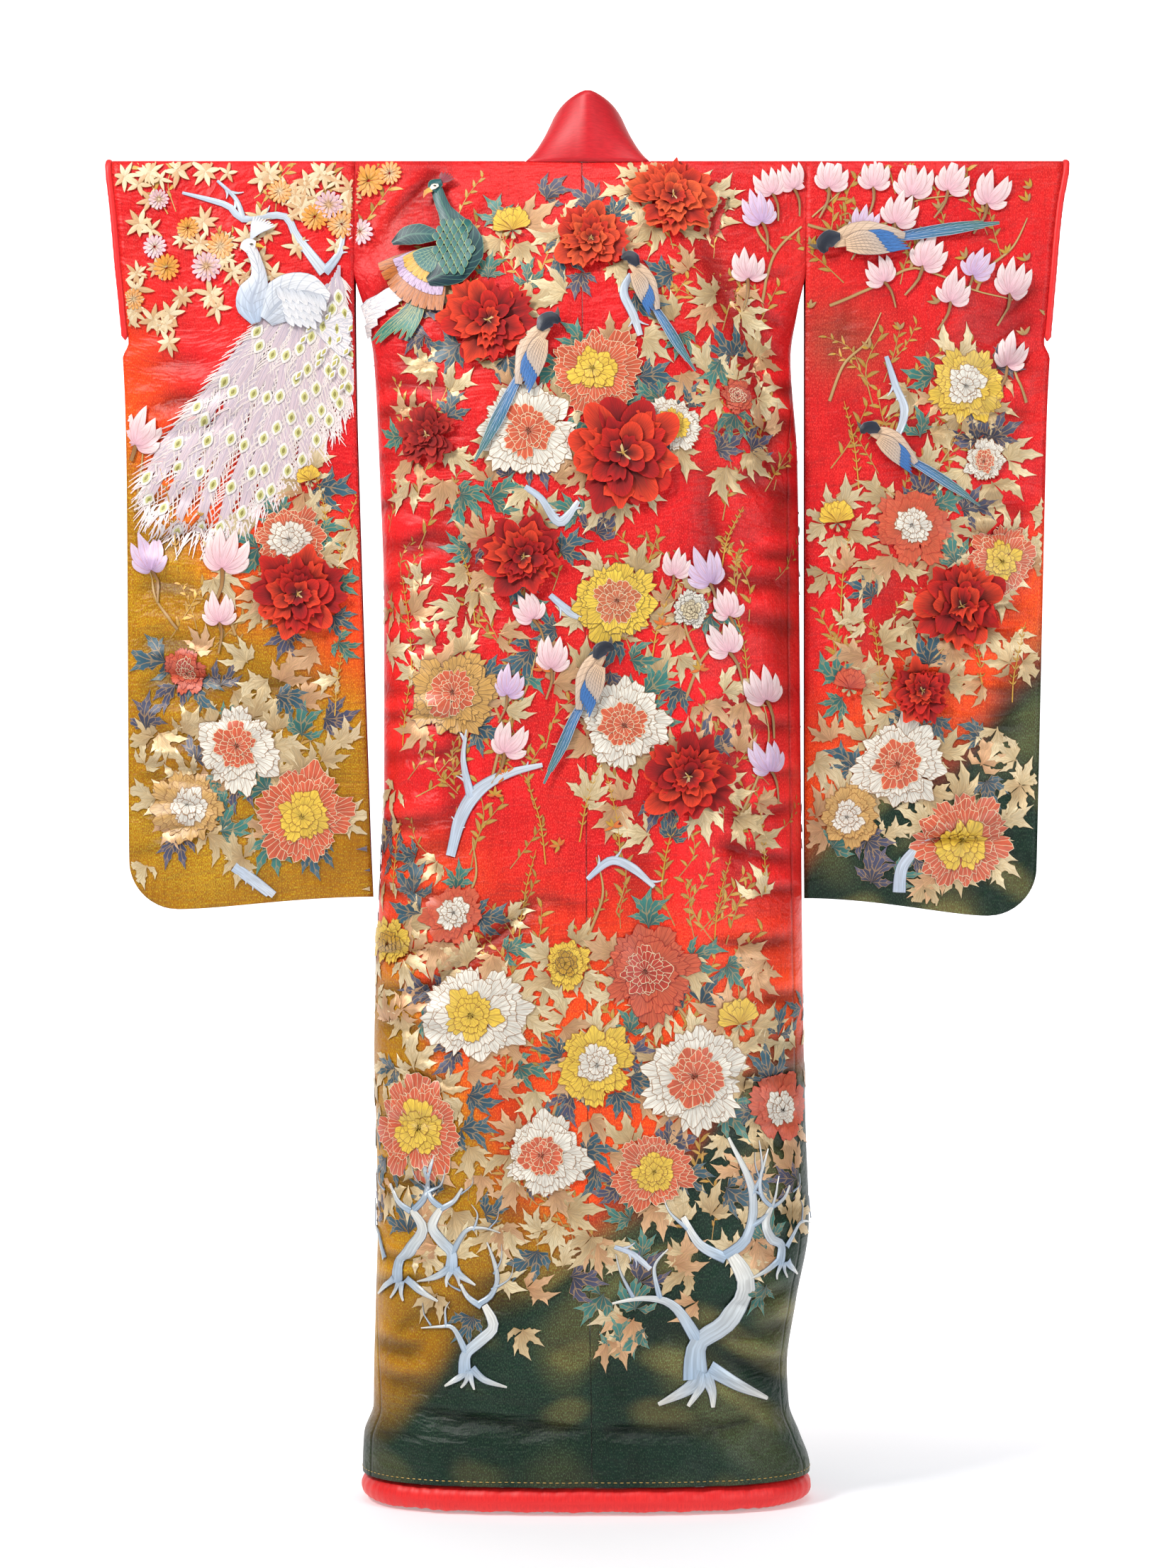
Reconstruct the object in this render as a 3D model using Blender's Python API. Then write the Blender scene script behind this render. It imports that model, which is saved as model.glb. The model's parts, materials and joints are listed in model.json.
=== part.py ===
"""Uchikake: a Japanese wedding over-robe, filled out as it is worn, seen with its back to -Y.

+Z is up, +X is the right-hand side of the garment seen from behind, -Y is the back.
The origin is the middle of the back neck seam, where the wearer's nape and shoulders hold it.
Every cloth piece is a wall: a surface worked out from sections, then thickened along its normals.
"""
import bpy
import numpy as np

for old in list(bpy.data.objects):
    bpy.data.objects.remove(old, do_unlink=True)

# ---------------------------------------------------------------- sizes in metres
CLOTH = 0.0020          # outer silk, thin wadding and lining as one wall
COLLAR_CLOTH = 0.0030   # the collar strip is folded double
SEAM = 0.0003           # clearance between neighbouring pieces
BODY_LENGTH = 1.790     # shoulder line to the lower edge of the body cloth
ROLL_HEIGHT = 0.034     # padded hem roll
ROLL_THICK = 0.030
ROLL_CENTRE = 1.8095    # depth of the middle of the hem roll below the shoulder line
ROLL_OUT = -0.0125      # the roll lies inside the line of the hem, flush with the silk
FOLD_HEIGHT = 0.020     # the shoulder fold rounds over within this depth
NECK_HALF = 0.086       # centre back to the point where the collar turns forward
SLIT_TOP = 0.147        # the sleeve is sewn on from the shoulder down to here
SLIT_END = 0.270        # the side of the body is open down to here
OKUMI_TIP = 0.235       # top of the overlap panel
COLLAR_END = 0.900      # lower end of the collar
FRONT_GAP = 0.012       # half the gap between the two hanging front edges
CUFF_OPEN = 0.240       # hand opening, from the shoulder line down
CUFF_ROLL = 0.0090      # thickness of the padded cuff edge
CORNER = 0.065          # radius of the outer lower corner of a sleeve
BOXY = 0.35             # how square the body section is at its corners
SHIFT_Y = 0.0075        # puts the back neck seam on the origin

# body sections: down = depth below the shoulder line, left / right = edges of the outline,
# deep = half the front-to-back size in the middle, edge = the same at the armhole
BODY_SECTIONS = (
    # down,  left,   right,  deep,  edge
    (0.000, -0.3180, 0.2985, 0.012, 0.0115),
    (0.060, -0.3182, 0.2980, 0.033, 0.0170),
    (0.147, -0.3185, 0.2970, 0.060, 0.0200),
    (0.205, -0.3040, 0.2860, 0.074, 0.0110),
    (0.270, -0.2920, 0.2770, 0.085, 0.0000),
    (0.410, -0.2845, 0.2862, 0.098, 0.0000),
    (0.620, -0.2777, 0.2890, 0.104, 0.0000),
    (0.855, -0.2777, 0.2910, 0.108, 0.0000),
    (1.040, -0.2855, 0.2925, 0.110, 0.0000),
    (1.216, -0.2913, 0.2950, 0.112, 0.0000),
    (1.332, -0.2880, 0.2980, 0.114, 0.0000),
    (1.450, -0.2865, 0.3020, 0.115, 0.0000),
    (1.560, -0.2890, 0.2840, 0.115, 0.0000),
    (1.647, -0.2915, 0.2720, 0.113, 0.0000),
    (1.700, -0.2920, 0.2745, 0.111, 0.0000),
    (1.740, -0.3050, 0.2890, 0.119, 0.0000),
    (1.784, -0.3068, 0.3030, 0.124, 0.0000),
    (1.830, -0.3060, 0.3010, 0.124, 0.0000),
)

# where the seams of the body lie: centre = x of the centre back seam,
# left / right = turn of the side seam, 0 at the middle of the back and 1 at the side of the outline
BODY_SEAMS = (
    # down,  centre,  left,  right
    (0.000, -0.0078, 1.000, 1.000),
    (0.270, -0.0070, 1.000, 1.000),
    (0.330, -0.0060, 1.000, 0.900),
    (0.410, -0.0050, 1.000, 0.790),
    (0.650, -0.0030, 1.000, 0.770),
    (1.090, -0.0010, 1.000, 0.790),
    (1.450, 0.0010, 0.980, 0.805),
    (1.700, 0.0050, 0.810, 0.820),
    (1.830, 0.0060, 0.800, 0.830),
)

# front edges: neck = half width from the middle to the collar seam,
# panel = half width to the seam between the front and the overlap panel
FRONT_SEAMS = (
    # down,  neck,   panel
    (0.000, 0.0860, 0.1150),
    (0.030, 0.0900, 0.1150),
    (0.100, 0.1020, 0.1150),
    (0.235, 0.1120, 0.1150),
    (0.450, 0.1110, 0.1250),
    (0.900, 0.1080, 0.1400),
    (1.830, 0.1080, 0.1550),
)

# sleeve outlines: outer = cuff edge, inner = edge towards the body
SLEEVE_LEFT = (
    # down,  outer,   inner
    (0.000, -0.6600, -0.3180),
    (0.060, -0.6540, -0.3182),
    (0.090, -0.6510, -0.3183),
    (0.147, -0.6460, -0.3185),
    (0.190, -0.6420, -0.3183),
    (0.345, -0.6330, -0.3160),
    (0.460, -0.6310, -0.3127),
    (0.934, -0.6280, -0.2970),
    (1.040, -0.6260, -0.2925),
)
SLEEVE_RIGHT = (
    # down,  outer,  inner
    (0.000, 0.6593, 0.2985),
    (0.060, 0.6500, 0.2980),
    (0.096, 0.6457, 0.2976),
    (0.147, 0.6412, 0.2970),
    (0.205, 0.6370, 0.2970),
    (0.345, 0.6290, 0.2968),
    (0.460, 0.6262, 0.2966),
    (0.934, 0.6156, 0.2965),
    (1.045, 0.6130, 0.2965),
)
# depth of a sleeve: inner = half depth at the open inner edge, middle = half way out,
# cuff = at the outer edge
SLEEVE_DEPTH = (
    # down,  inner,  middle, cuff
    (0.000, 0.0115, 0.0110, 0.0105),
    (0.060, 0.0170, 0.0180, 0.0130),
    (0.147, 0.0200, 0.0230, 0.0150),
    (0.210, 0.0170, 0.0240, 0.0080),
    (0.245, 0.0160, 0.0240, 0.0012),
    (0.500, 0.0140, 0.0220, 0.0012),
    (0.850, 0.0120, 0.0190, 0.0012),
    (0.970, 0.0080, 0.0130, 0.0012),
    (1.050, 0.0012, 0.0012, 0.0012),
)

# broad folds on the body: from (x1, down1) to (x2, down2) on one face, rise out of the cloth
BODY_FOLDS = (
    # face,   x1,   down1,     x2,  down2, width, rise
    ("back", -0.205, 0.010, -0.300, 0.130, 0.026, -0.0045),
    ("back", 0.188, 0.040, 0.160, 0.130, 0.030, -0.0050),
    ("back", 0.160, 0.130, 0.235, 0.320, 0.030, -0.0060),
    ("back", 0.235, 0.320, 0.245, 0.440, 0.030, -0.0040),
    ("back", -0.163, 0.470, -0.163, 0.650, 0.030, -0.0045),
    ("back", -0.245, 1.150, -0.060, 1.002, 0.030, -0.0080),
    ("back", -0.275, 1.610, -0.074, 1.510, 0.036, -0.0060),
    ("back", -0.240, 1.690, 0.000, 1.716, 0.020, -0.0060),
    ("back", 0.000, 1.716, 0.228, 1.712, 0.020, -0.0055),
    ("back", 0.160, 1.450, 0.260, 1.610, 0.035, 0.0070),
    ("back", 0.120, 0.620, 0.150, 1.150, 0.060, 0.0050),
    ("front", -0.120, 0.300, -0.200, 0.900, 0.040, -0.0060),
    ("front", 0.120, 0.300, 0.210, 0.900, 0.040, -0.0060),
    ("front", -0.170, 1.000, -0.150, 1.700, 0.045, -0.0070),
    ("front", 0.170, 1.000, 0.150, 1.700, 0.045, -0.0070),
    ("front", -0.220, 1.690, -0.030, 1.712, 0.020, -0.0050),
    ("front", 0.220, 1.690, 0.030, 1.712, 0.020, -0.0050),
)
# broad folds on the sleeves, on the back face and mirrored through to the front
SLEEVE_FOLDS = (
    # x1,     down1,  x2,    down2, width, rise
    (-0.600, 0.700, -0.340, 0.730, 0.034, -0.0040),
    (-0.610, 0.860, -0.330, 0.820, 0.036, -0.0040),
    (-0.470, 0.050, -0.520, 0.560, 0.040, 0.0035),
    (-0.380, 0.200, -0.360, 0.700, 0.032, -0.0035),
    (0.600, 0.180, 0.470, 0.300, 0.030, -0.0045),
    (0.440, 0.200, 0.420, 0.820, 0.038, -0.0040),
    (0.560, 0.420, 0.540, 0.900, 0.036, 0.0035),
    (0.330, 0.500, 0.340, 0.900, 0.030, 0.0030),
)

# the right half of the collar: foot = its seam, edge = its free edge; down is measured downwards
COLLAR_STATIONS = (
    # foot x, foot y, foot down, edge x, edge y, edge down
    (0.0000, -0.0075, -0.0006, 0.0000, -0.0020, -0.0970),
    (0.0300, -0.0075, -0.0006, 0.0215, 0.0080, -0.0890),
    (0.0570, -0.0073, -0.0006, 0.0390, 0.0260, -0.0750),
    (0.0765, -0.0055, -0.0010, 0.0510, 0.0480, -0.0560),
    (0.0838, 0.0020, -0.0020, 0.0550, 0.0750, -0.0340),
    (0.0848, 0.0130, 0.0080, 0.0480, 0.0930, -0.0110),
    (0.0865, 0.0230, 0.0340, 0.0340, 0.1000, 0.0270),
    (0.0930, 0.0340, 0.0700, 0.0220, 0.0980, 0.0750),
)
COLLAR_WIDTH = 0.097

# grid counts
BACK_COLUMNS = 9
NECK_COLUMN = 3
PANEL_ROWS = (
    0.0035, 0.0100, 0.0220, 0.0450, 0.0800, 0.1150, 0.1470, 0.1780, 0.2080, 0.2350, 0.2700,
    0.3250, 0.3850, 0.4500, 0.5300, 0.6100, 0.7000, 0.8000, 0.9000, 0.9700, 1.0300, 1.0900,
    1.1600, 1.2500, 1.3500, 1.4500, 1.5300, 1.6000, 1.6500, 1.6850, 1.7120, 1.7400, 1.7900,
)
SLEEVE_ROWS = (
    0.0035, 0.0100, 0.0220, 0.0450, 0.0800, 0.1150, 0.1470, 0.1900, 0.2430, 0.2680, 0.3600,
    0.4700, 0.5800, 0.6900, 0.8000, 0.9000, 0.9500, 0.9780, 0.9950, 1.0070,
)
SLEEVE_COLUMNS = 7
OKUMI_COLUMNS = 2
COLLAR_COLUMNS = 4
COLLAR_ROWS = 52
ROLL_SIDES = 8
ROLL_STATIONS = 40


def read_table(rows, column, at):
    """Smooth value of one named column of a table, without overshoot between its rows."""
    keys = np.array([row[0] for row in rows])
    values = np.array([row[column] for row in rows])
    at = np.clip(np.asarray(at, dtype=float), keys[0], keys[-1])
    steps = np.diff(values) / np.diff(keys)
    slopes = np.zeros(len(keys))
    for k in range(1, len(keys) - 1):
        if steps[k - 1] * steps[k] > 0:
            slopes[k] = 2 * steps[k - 1] * steps[k] / (steps[k - 1] + steps[k])
    k = np.clip(np.searchsorted(keys, at, side="right") - 1, 0, len(keys) - 2)
    span = keys[k + 1] - keys[k]
    u = (at - keys[k]) / span
    blend = u * u * (3 - 2 * u)
    rise = values[k] + (values[k + 1] - values[k]) * blend
    return rise + span * (u * (1 - u) ** 2 * slopes[k] - u * u * (1 - u) * slopes[k + 1])


def smooth(low, high, value):
    u = np.clip((value - low) / (high - low), 0, 1)
    return u * u * (3 - 2 * u)


def shoulder_fold(down):
    """0 on the shoulder line, rounding to 1 at the bottom of the fold."""
    u = np.clip(down / FOLD_HEIGHT, 0, 1)
    return np.sqrt(np.maximum(1 - (1 - u) ** 2, 0))


def fold_rise(folds, face, x, down):
    """How far the broad folds lift the cloth out of its plain surface."""
    total = 0.0
    for row in folds:
        if len(row) == 7:
            if row[0] != face:
                continue
            row = row[1:]
        x1, down1, x2, down2, width, rise = row
        run = np.array((x2 - x1, down2 - down1))
        length = np.hypot(*run)
        along = ((x - x1) * run[0] + (down - down1) * run[1]) / length
        across = ((x - x1) * run[1] - (down - down1) * run[0]) / length
        ends = smooth(-width, width, along) * smooth(-width, width, length - along)
        total = total + rise * np.exp(-(across / width) ** 2) * ends
    return total


def body_point(turn, down, face=0):
    """A point of the body's middle surface. turn is 0 at the middle of the back, 1 at a side.

    Where the side is open, face says which of the two walls; below, the turn alone does.
    """
    if face == 0:
        face = -1 if abs(turn) <= 1 else 1
    side = 1.0 if turn >= 0 else -1.0
    angle = abs(turn) * np.pi / 2
    left = read_table(BODY_SECTIONS, 1, down)
    right = read_table(BODY_SECTIONS, 2, down)
    deep = read_table(BODY_SECTIONS, 3, down)
    edge = read_table(BODY_SECTIONS, 4, down)
    middle = (left + right) / 2
    half = (right - left) / 2
    sine = np.sin(angle)
    cosine = abs(np.cos(angle))
    closed = smooth(0.10, 0.26, down)
    round_part = cosine * (1 + BOXY * sine ** 2)
    open_part = cosine ** 2
    profile = closed * round_part + (1 - closed) * open_part
    x = middle + side * half * sine
    y = face * (edge + (deep - edge) * profile) * shoulder_fold(down)
    away = smooth(0.004, 0.05, down) * smooth(0.0, 0.25, cosine)
    rise = fold_rise(BODY_FOLDS, "back" if face < 0 else "front", x, down) * away
    return np.array((x, y + face * rise + SHIFT_Y, -down))


def turn_at(x, down, face):
    """The turn at which the body surface reaches x, on the back or on the front."""
    left = read_table(BODY_SECTIONS, 1, down)
    right = read_table(BODY_SECTIONS, 2, down)
    share = (x - (left + right) / 2) / ((right - left) / 2)
    turn = np.arcsin(np.clip(share, -1, 1)) / (np.pi / 2)
    if face < 0:
        return turn
    return (2 - turn) if x >= 0 else (-2 - turn)


def sleeve_outline(side, down):
    """Outer edge, and inner edge, which is the body's own edge where the two are sewn."""
    rows = SLEEVE_RIGHT if side > 0 else SLEEVE_LEFT
    inner = read_table(rows, 2, down)
    if down <= SLIT_TOP:
        inner = read_table(BODY_SECTIONS, 2 if side > 0 else 1, down)
    outer = read_table(rows, 1, down)
    inset = (CUFF_ROLL + SEAM) * (1 - smooth(CUFF_OPEN + 0.008, CUFF_OPEN + 0.030, down))
    return outer - side * inset, inner


def sleeve_bottom(side, share):
    """Depth of the lower edge of a sleeve, from its inner edge (share 0) to its outer edge."""
    outer = 1.033 if side > 0 else 1.024
    inner = 1.009 if side > 0 else 1.007
    return inner + (outer - inner) * smooth(0.0, 1.0, share)


def sleeve_point(side, share, drop, face):
    """A point of a sleeve's middle surface; drop runs from 0 at the shoulder to 1 at the bottom."""
    down = drop * sleeve_bottom(side, share)
    outer, inner = sleeve_outline(side, down)
    width = abs(outer - inner)
    outward = share * width
    bottom = sleeve_bottom(side, 1.0)
    low = np.clip((down - (bottom - CORNER)) / CORNER, 0, 1)
    corner_cut = CORNER * (1 - np.sqrt(max(1 - low ** 2, 0)))
    outward = outward * (width - corner_cut) / width
    x = inner + side * outward
    depth_inner = read_table(SLEEVE_DEPTH, 1, down)
    depth_middle = read_table(SLEEVE_DEPTH, 2, down)
    depth_cuff = read_table(SLEEVE_DEPTH, 3, down)
    if share < 0.5:
        depth = depth_inner + (depth_middle - depth_inner) * smooth(0, 0.5, share)
    else:
        depth = depth_middle + (depth_cuff - depth_middle) * smooth(0.5, 1.0, share)
    pinch = CLOTH / 2 + SEAM / 2
    rounding = np.sqrt(np.clip(1 - drop, 0, 0.06) / 0.06)
    depth = pinch + max(depth - pinch, 0) * rounding
    y = face * depth * shoulder_fold(down)
    away = smooth(0.004, 0.05, down) * smooth(0, 0.15, share) * smooth(0, 0.12, 1 - share)
    away = away * smooth(0, 0.08, 1 - drop)
    rise = fold_rise(SLEEVE_FOLDS, "", x, down) * away * 0.8
    return np.array((x, y + face * rise + SHIFT_Y, -down))


def unit(vector):
    return vector / max(np.linalg.norm(vector), 1e-12)


def body_normal(turn, down, face=0, at_edge=False):
    """Outward normal of the body surface, flat along the seam with the sleeve."""
    step_t = 0.004
    step_d = 0.0012
    side = 1.0 if turn >= 0 else -1.0
    if at_edge:
        across = side * (body_point(turn, down, face) - body_point(turn - side * 0.12, down, face))
    else:
        across = body_point(turn + step_t, down, face) - body_point(turn - step_t, down, face)
    if down < step_d:
        along = body_point(turn, step_d, -1) - body_point(turn, step_d, 1)
        normal = np.cross(across, -along)
    else:
        along = body_point(turn, down - step_d, face) - body_point(turn, down + step_d, face)
        normal = np.cross(across, along)
        wall = face if face != 0 else (-1 if abs(turn) <= 1 else 1)
        if face != 0 and wall > 0:
            normal = -normal
    if at_edge and down <= SLIT_TOP + 0.001:
        normal[0] = 0
    return unit(normal)


def solid(name, cells, outer, inner, material):
    """One closed body from matching outer and inner points and the cells that join them."""
    mesh = bpy.data.meshes.new(name)
    count = len(outer)
    faces = []
    used = {}
    for cell in cells:
        # both walls are split along the same diagonal, so the wall keeps its thickness
        halves = [(0, 1, 2), (0, 2, 3)]
        if len(cell) == 3:
            halves = [(0, 1, 2)]
        elif np.linalg.norm(outer[cell[1]] - outer[cell[3]]) < np.linalg.norm(outer[cell[0]] - outer[cell[2]]):
            halves = [(0, 1, 3), (1, 2, 3)]
        for half in halves:
            corners = [cell[k] for k in half]
            faces.append(tuple(corners))
            faces.append(tuple(count + k for k in reversed(corners)))
        for k, start in enumerate(cell):
            end = cell[(k + 1) % len(cell)]
            used[(start, end)] = True
    for start, end in used:
        if (end, start) not in used:
            faces.append((end, start, count + start, count + end))
    mesh.from_pydata([tuple(p) for p in outer] + [tuple(p) for p in inner], [], faces)
    mesh.materials.append(material)
    mesh.validate()
    mesh.update()
    item = bpy.data.objects.new(name, mesh)
    bpy.context.collection.objects.link(item)
    return item


def new_material(name, colour, rough):
    material = bpy.data.materials.new(name)
    material.use_nodes = True
    shader = material.node_tree.nodes["Principled BSDF"]
    shader.inputs["Base Color"].default_value = (*colour, 1.0)
    shader.inputs["Roughness"].default_value = rough
    return material


RED_SILK = new_material("red_figured_silk", (0.56, 0.05, 0.05), 0.55)
PLAIN_SILK = new_material("plain_red_silk", (0.60, 0.04, 0.05), 0.50)
ROLL_SILK = new_material("vermilion_silk", (0.85, 0.07, 0.06), 0.45)


def place_wall(points, normals, thickness):
    outer = [p + n * thickness / 2 for p, n in zip(points, normals)]
    inner = [p - n * thickness / 2 for p, n in zip(points, normals)]
    return outer, inner


def make_body(side, name):
    """Back and front of one side, cut as one length of cloth over the shoulder."""
    index = {}
    points = []
    normals = []

    def add(key, turn, down, face, at_edge):
        index[key] = len(points)
        points.append(body_point(turn, down, face))
        normals.append(body_normal(turn, down, face, at_edge))

    gap = SEAM / 2
    last = BACK_COLUMNS
    rows = [("back", -1, down) for down in reversed(PANEL_ROWS)]
    rows = rows + [("top", 1, 0.0)]
    rows = rows + [("front", 1, down) for down in PANEL_ROWS]
    seam_column = 3 if side > 0 else 2
    for r, (kind, face, down) in enumerate(rows):
        seam_turn = read_table(BODY_SEAMS, seam_column, down)
        is_open = down < SLIT_END - 0.001
        for c in range(0 if kind == "back" else NECK_COLUMN, last + 1):
            if kind == "back":
                centre = turn_at(read_table(BODY_SEAMS, 1, down) + side * gap, down, -1)
                neck_x = side * NECK_HALF
                neck = turn_at(neck_x, down, -1)
                if c <= NECK_COLUMN:
                    turn = centre + (neck - centre) * c / NECK_COLUMN
                else:
                    share = (c - NECK_COLUMN) / (last - NECK_COLUMN)
                    turn = neck + (side * seam_turn - neck) * share
            else:
                column = 1 if down < OKUMI_TIP - 0.001 else 2
                inner_x = side * (read_table(FRONT_SEAMS, column, down) + gap)
                share = (c - NECK_COLUMN) / (last - NECK_COLUMN)
                if is_open:
                    inner_turn = turn_at(inner_x, down, -1)
                    turn = inner_turn + (side - inner_turn) * share
                else:
                    inner_turn = turn_at(inner_x, down, 1)
                    turn = inner_turn + (side * seam_turn - inner_turn) * share
            edge = c == last
            if is_open:
                flip = -1 if kind == "back" else 1
                add((r, c), turn, down, flip, edge)
            else:
                add((r, c), turn, down, 0, False)
            if edge:
                if is_open:
                    points[-1] = points[-1] - np.array((side * gap, 0, 0))
                else:
                    shift = 0.002 if kind == "back" else -0.002
                    near = body_point(turn - side * shift, down)
                    points[-1] = points[-1] + unit(near - points[-1]) * gap
    cells = []
    for r in range(len(rows) - 1):
        first = 0 if rows[r + 1][0] == "back" else NECK_COLUMN
        for c in range(first, last):
            ring = (index[(r, c)], index[(r, c + 1)], index[(r + 1, c + 1)], index[(r + 1, c)])
            cells.append(ring if side > 0 else tuple(reversed(ring)))
    outer, inner = place_wall(points, normals, CLOTH)
    return solid(name, cells, outer, inner, RED_SILK)


def front_piece(side, name, rows, edges):
    """A panel on the front surface between two half widths given for each row."""
    points = []
    normals = []
    columns = OKUMI_COLUMNS
    for down in rows:
        near, far = edges(down)
        for c in range(columns + 1):
            x = side * (near + (far - near) * c / columns)
            turn = turn_at(x, down, 1)
            if down < SLIT_END:
                points.append(body_point(turn_at(x, down, -1), down, 1))
                normals.append(body_normal(turn_at(x, down, -1), down, 1))
            else:
                points.append(body_point(turn, down))
                normals.append(body_normal(turn, down))
    cells = []
    for r in range(len(rows) - 1):
        for c in range(columns):
            k = r * (columns + 1) + c
            ring = (k, k + 1, k + columns + 2, k + columns + 1)
            cells.append(ring if side > 0 else tuple(reversed(ring)))
    outer, inner = place_wall(points, normals, CLOTH)
    return solid(name, cells, outer, inner, RED_SILK)


def okumi_edges(down):
    far = float(read_table(FRONT_SEAMS, 2, down)) - SEAM / 2
    if down <= COLLAR_END:
        near = float(read_table(FRONT_SEAMS, 1, down)) + SEAM
        return min(near, far - 0.0015), far
    return FRONT_GAP, far


def even_steps(stations, count):
    """Stations at even steps along the smooth curves through the given ones."""
    rows = np.array([np.concatenate(pair) for pair in stations])
    last = len(rows) - 1
    dense = []
    for k in range(last):
        p0, p1 = rows[max(k - 1, 0)], rows[k]
        p2, p3 = rows[k + 1], rows[min(k + 2, last)]
        for t in np.arange(0, 1, 1 / 12):
            a = 2 * p1 + (p2 - p0) * t
            b = (2 * p0 - 5 * p1 + 4 * p2 - p3) * t**2
            dense.append((a + b + (3 * p1 - p0 - 3 * p2 + p3) * t**3) / 2)
    dense.append(rows[-1])
    dense = np.array(dense)
    steps = np.linalg.norm(np.diff(dense, axis=0), axis=1)
    along = np.concatenate(((0,), np.cumsum(steps)))
    # closer together round the neck than along the straight fronts
    share = np.linspace(-1, 1, count)
    share = 0.45 * share + 0.55 * share**3
    at = (share + 1) / 2 * along[-1]
    even = np.stack([np.interp(at, along, dense[:, k]) for k in range(6)], axis=1)
    return even[:, :3], even[:, 3:]


def make_collar():
    """One long strip from the left front, round the back of the neck, to the right front."""
    stations = []
    for foot_x, foot_y, foot_down, edge_x, edge_y, edge_down in COLLAR_STATIONS:
        foot = np.array((foot_x, foot_y + SHIFT_Y, -foot_down))
        edge = np.array((edge_x, edge_y + SHIFT_Y, -edge_down))
        stations.append((foot, edge))
    lower = [d for d in PANEL_ROWS if 0.10 < d <= COLLAR_END - 0.02] + [COLLAR_END - 0.001]
    for down in lower:
        settle = float(smooth(0.10, 0.30, down))
        foot_x = float(read_table(FRONT_SEAMS, 1, down)) - SEAM / 2 - 0.0016 * (1 - settle)
        foot = body_point(turn_at(foot_x, down, 1), down, 1)
        edge_x = foot_x - COLLAR_WIDTH
        edge_x = max(edge_x, 0.0095)
        edge = body_point(turn_at(edge_x, down, 1), down, 1)
        edge[1] = edge[1] + 0.012 * (1 - settle)
        foot[1] = foot[1] + 0.0012 * (1 - settle)
        stations.append((foot, edge))
    flip = np.array((-1, 1, 1))
    left = [(foot * flip, edge * flip) for foot, edge in reversed(stations[1:])]
    stations = left + stations
    feet, edges = even_steps(stations, COLLAR_ROWS)
    columns = COLLAR_COLUMNS
    points = []
    for foot, edge in zip(feet, edges):
        for c in range(columns + 1):
            share = c / columns
            bow = 0.0035 * np.sin(np.pi * share)
            point = foot + (edge - foot) * share
            back = float(smooth(0.05, -0.02, abs(point[0]) + 0.6 * abs(point[1])))
            point[1] = point[1] - bow * back
            points.append(point)
    count = len(feet)
    grid = np.array(points).reshape(count, columns + 1, 3)
    normals = np.cross(np.gradient(grid, axis=0), np.gradient(grid, axis=1))
    for _ in range(3):
        normals /= np.linalg.norm(normals, axis=2, keepdims=True)
        padded = np.pad(normals, ((1, 1), (0, 0), (0, 0)), mode="edge")
        normals = padded[:-2] + 2 * normals + padded[2:]
    normals /= np.linalg.norm(normals, axis=2, keepdims=True)
    normals = list(normals.reshape(-1, 3))
    cells = []
    for r in range(count - 1):
        for c in range(columns):
            k = r * (columns + 1) + c
            cells.append((k, k + columns + 1, k + columns + 2, k + 1))
    outer, inner = place_wall(points, normals, COLLAR_CLOTH)
    return solid("collar", cells, outer, inner, PLAIN_SILK)


def make_sleeve(side, name):
    """One length folded at the shoulder line; its lower and outer edges meet in seams."""
    rows = [(-1, down) for down in reversed(SLEEVE_ROWS)] + [(1, 0.0)]
    rows = rows + [(1, down) for down in SLEEVE_ROWS]
    full = sleeve_bottom(side, 0.0)
    rows[0] = (-1, full)
    rows[-1] = (1, full)
    points = []
    normals = []
    for face, down in rows:
        drop = down / full
        for c in range(SLEEVE_COLUMNS + 1):
            share = c / SLEEVE_COLUMNS
            point = sleeve_point(side, share, drop, face)
            step = 0.004
            lo = max(share - step, 0)
            hi = min(share + step, 1)
            across = sleeve_point(side, hi, drop, face) - sleeve_point(side, lo, drop, face)
            if down < 0.001:
                along = sleeve_point(side, share, 0.0012, 1) - sleeve_point(side, share, 0.0012, -1)
                normal = unit(np.cross(across * side, along))
            else:
                up = sleeve_point(side, share, max(drop - 0.0012, 0), face)
                dn = sleeve_point(side, share, min(drop + 0.0012, 1), face)
                normal = unit(np.cross(across * side, up - dn))
                if normal[1] * face < 0:
                    normal = -normal
                if 1 - drop < 0.001 or (c == SLEEVE_COLUMNS and down > CUFF_OPEN - 0.03):
                    normal = np.array((0.0, float(face), 0.0))
            if c == 0:
                point[0] = point[0] + side * SEAM / 2
                normal[0] = 0
                normal = unit(normal)
            points.append(point)
            normals.append(normal)
    cells = []
    stride = SLEEVE_COLUMNS + 1
    for r in range(len(rows) - 1):
        for c in range(SLEEVE_COLUMNS):
            k = r * stride + c
            ring = (k, k + 1, k + stride + 1, k + stride)
            cells.append(ring if side > 0 else tuple(reversed(ring)))
    outer, inner = place_wall(points, normals, CLOTH)
    return solid(name, cells, outer, inner, RED_SILK)


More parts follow.
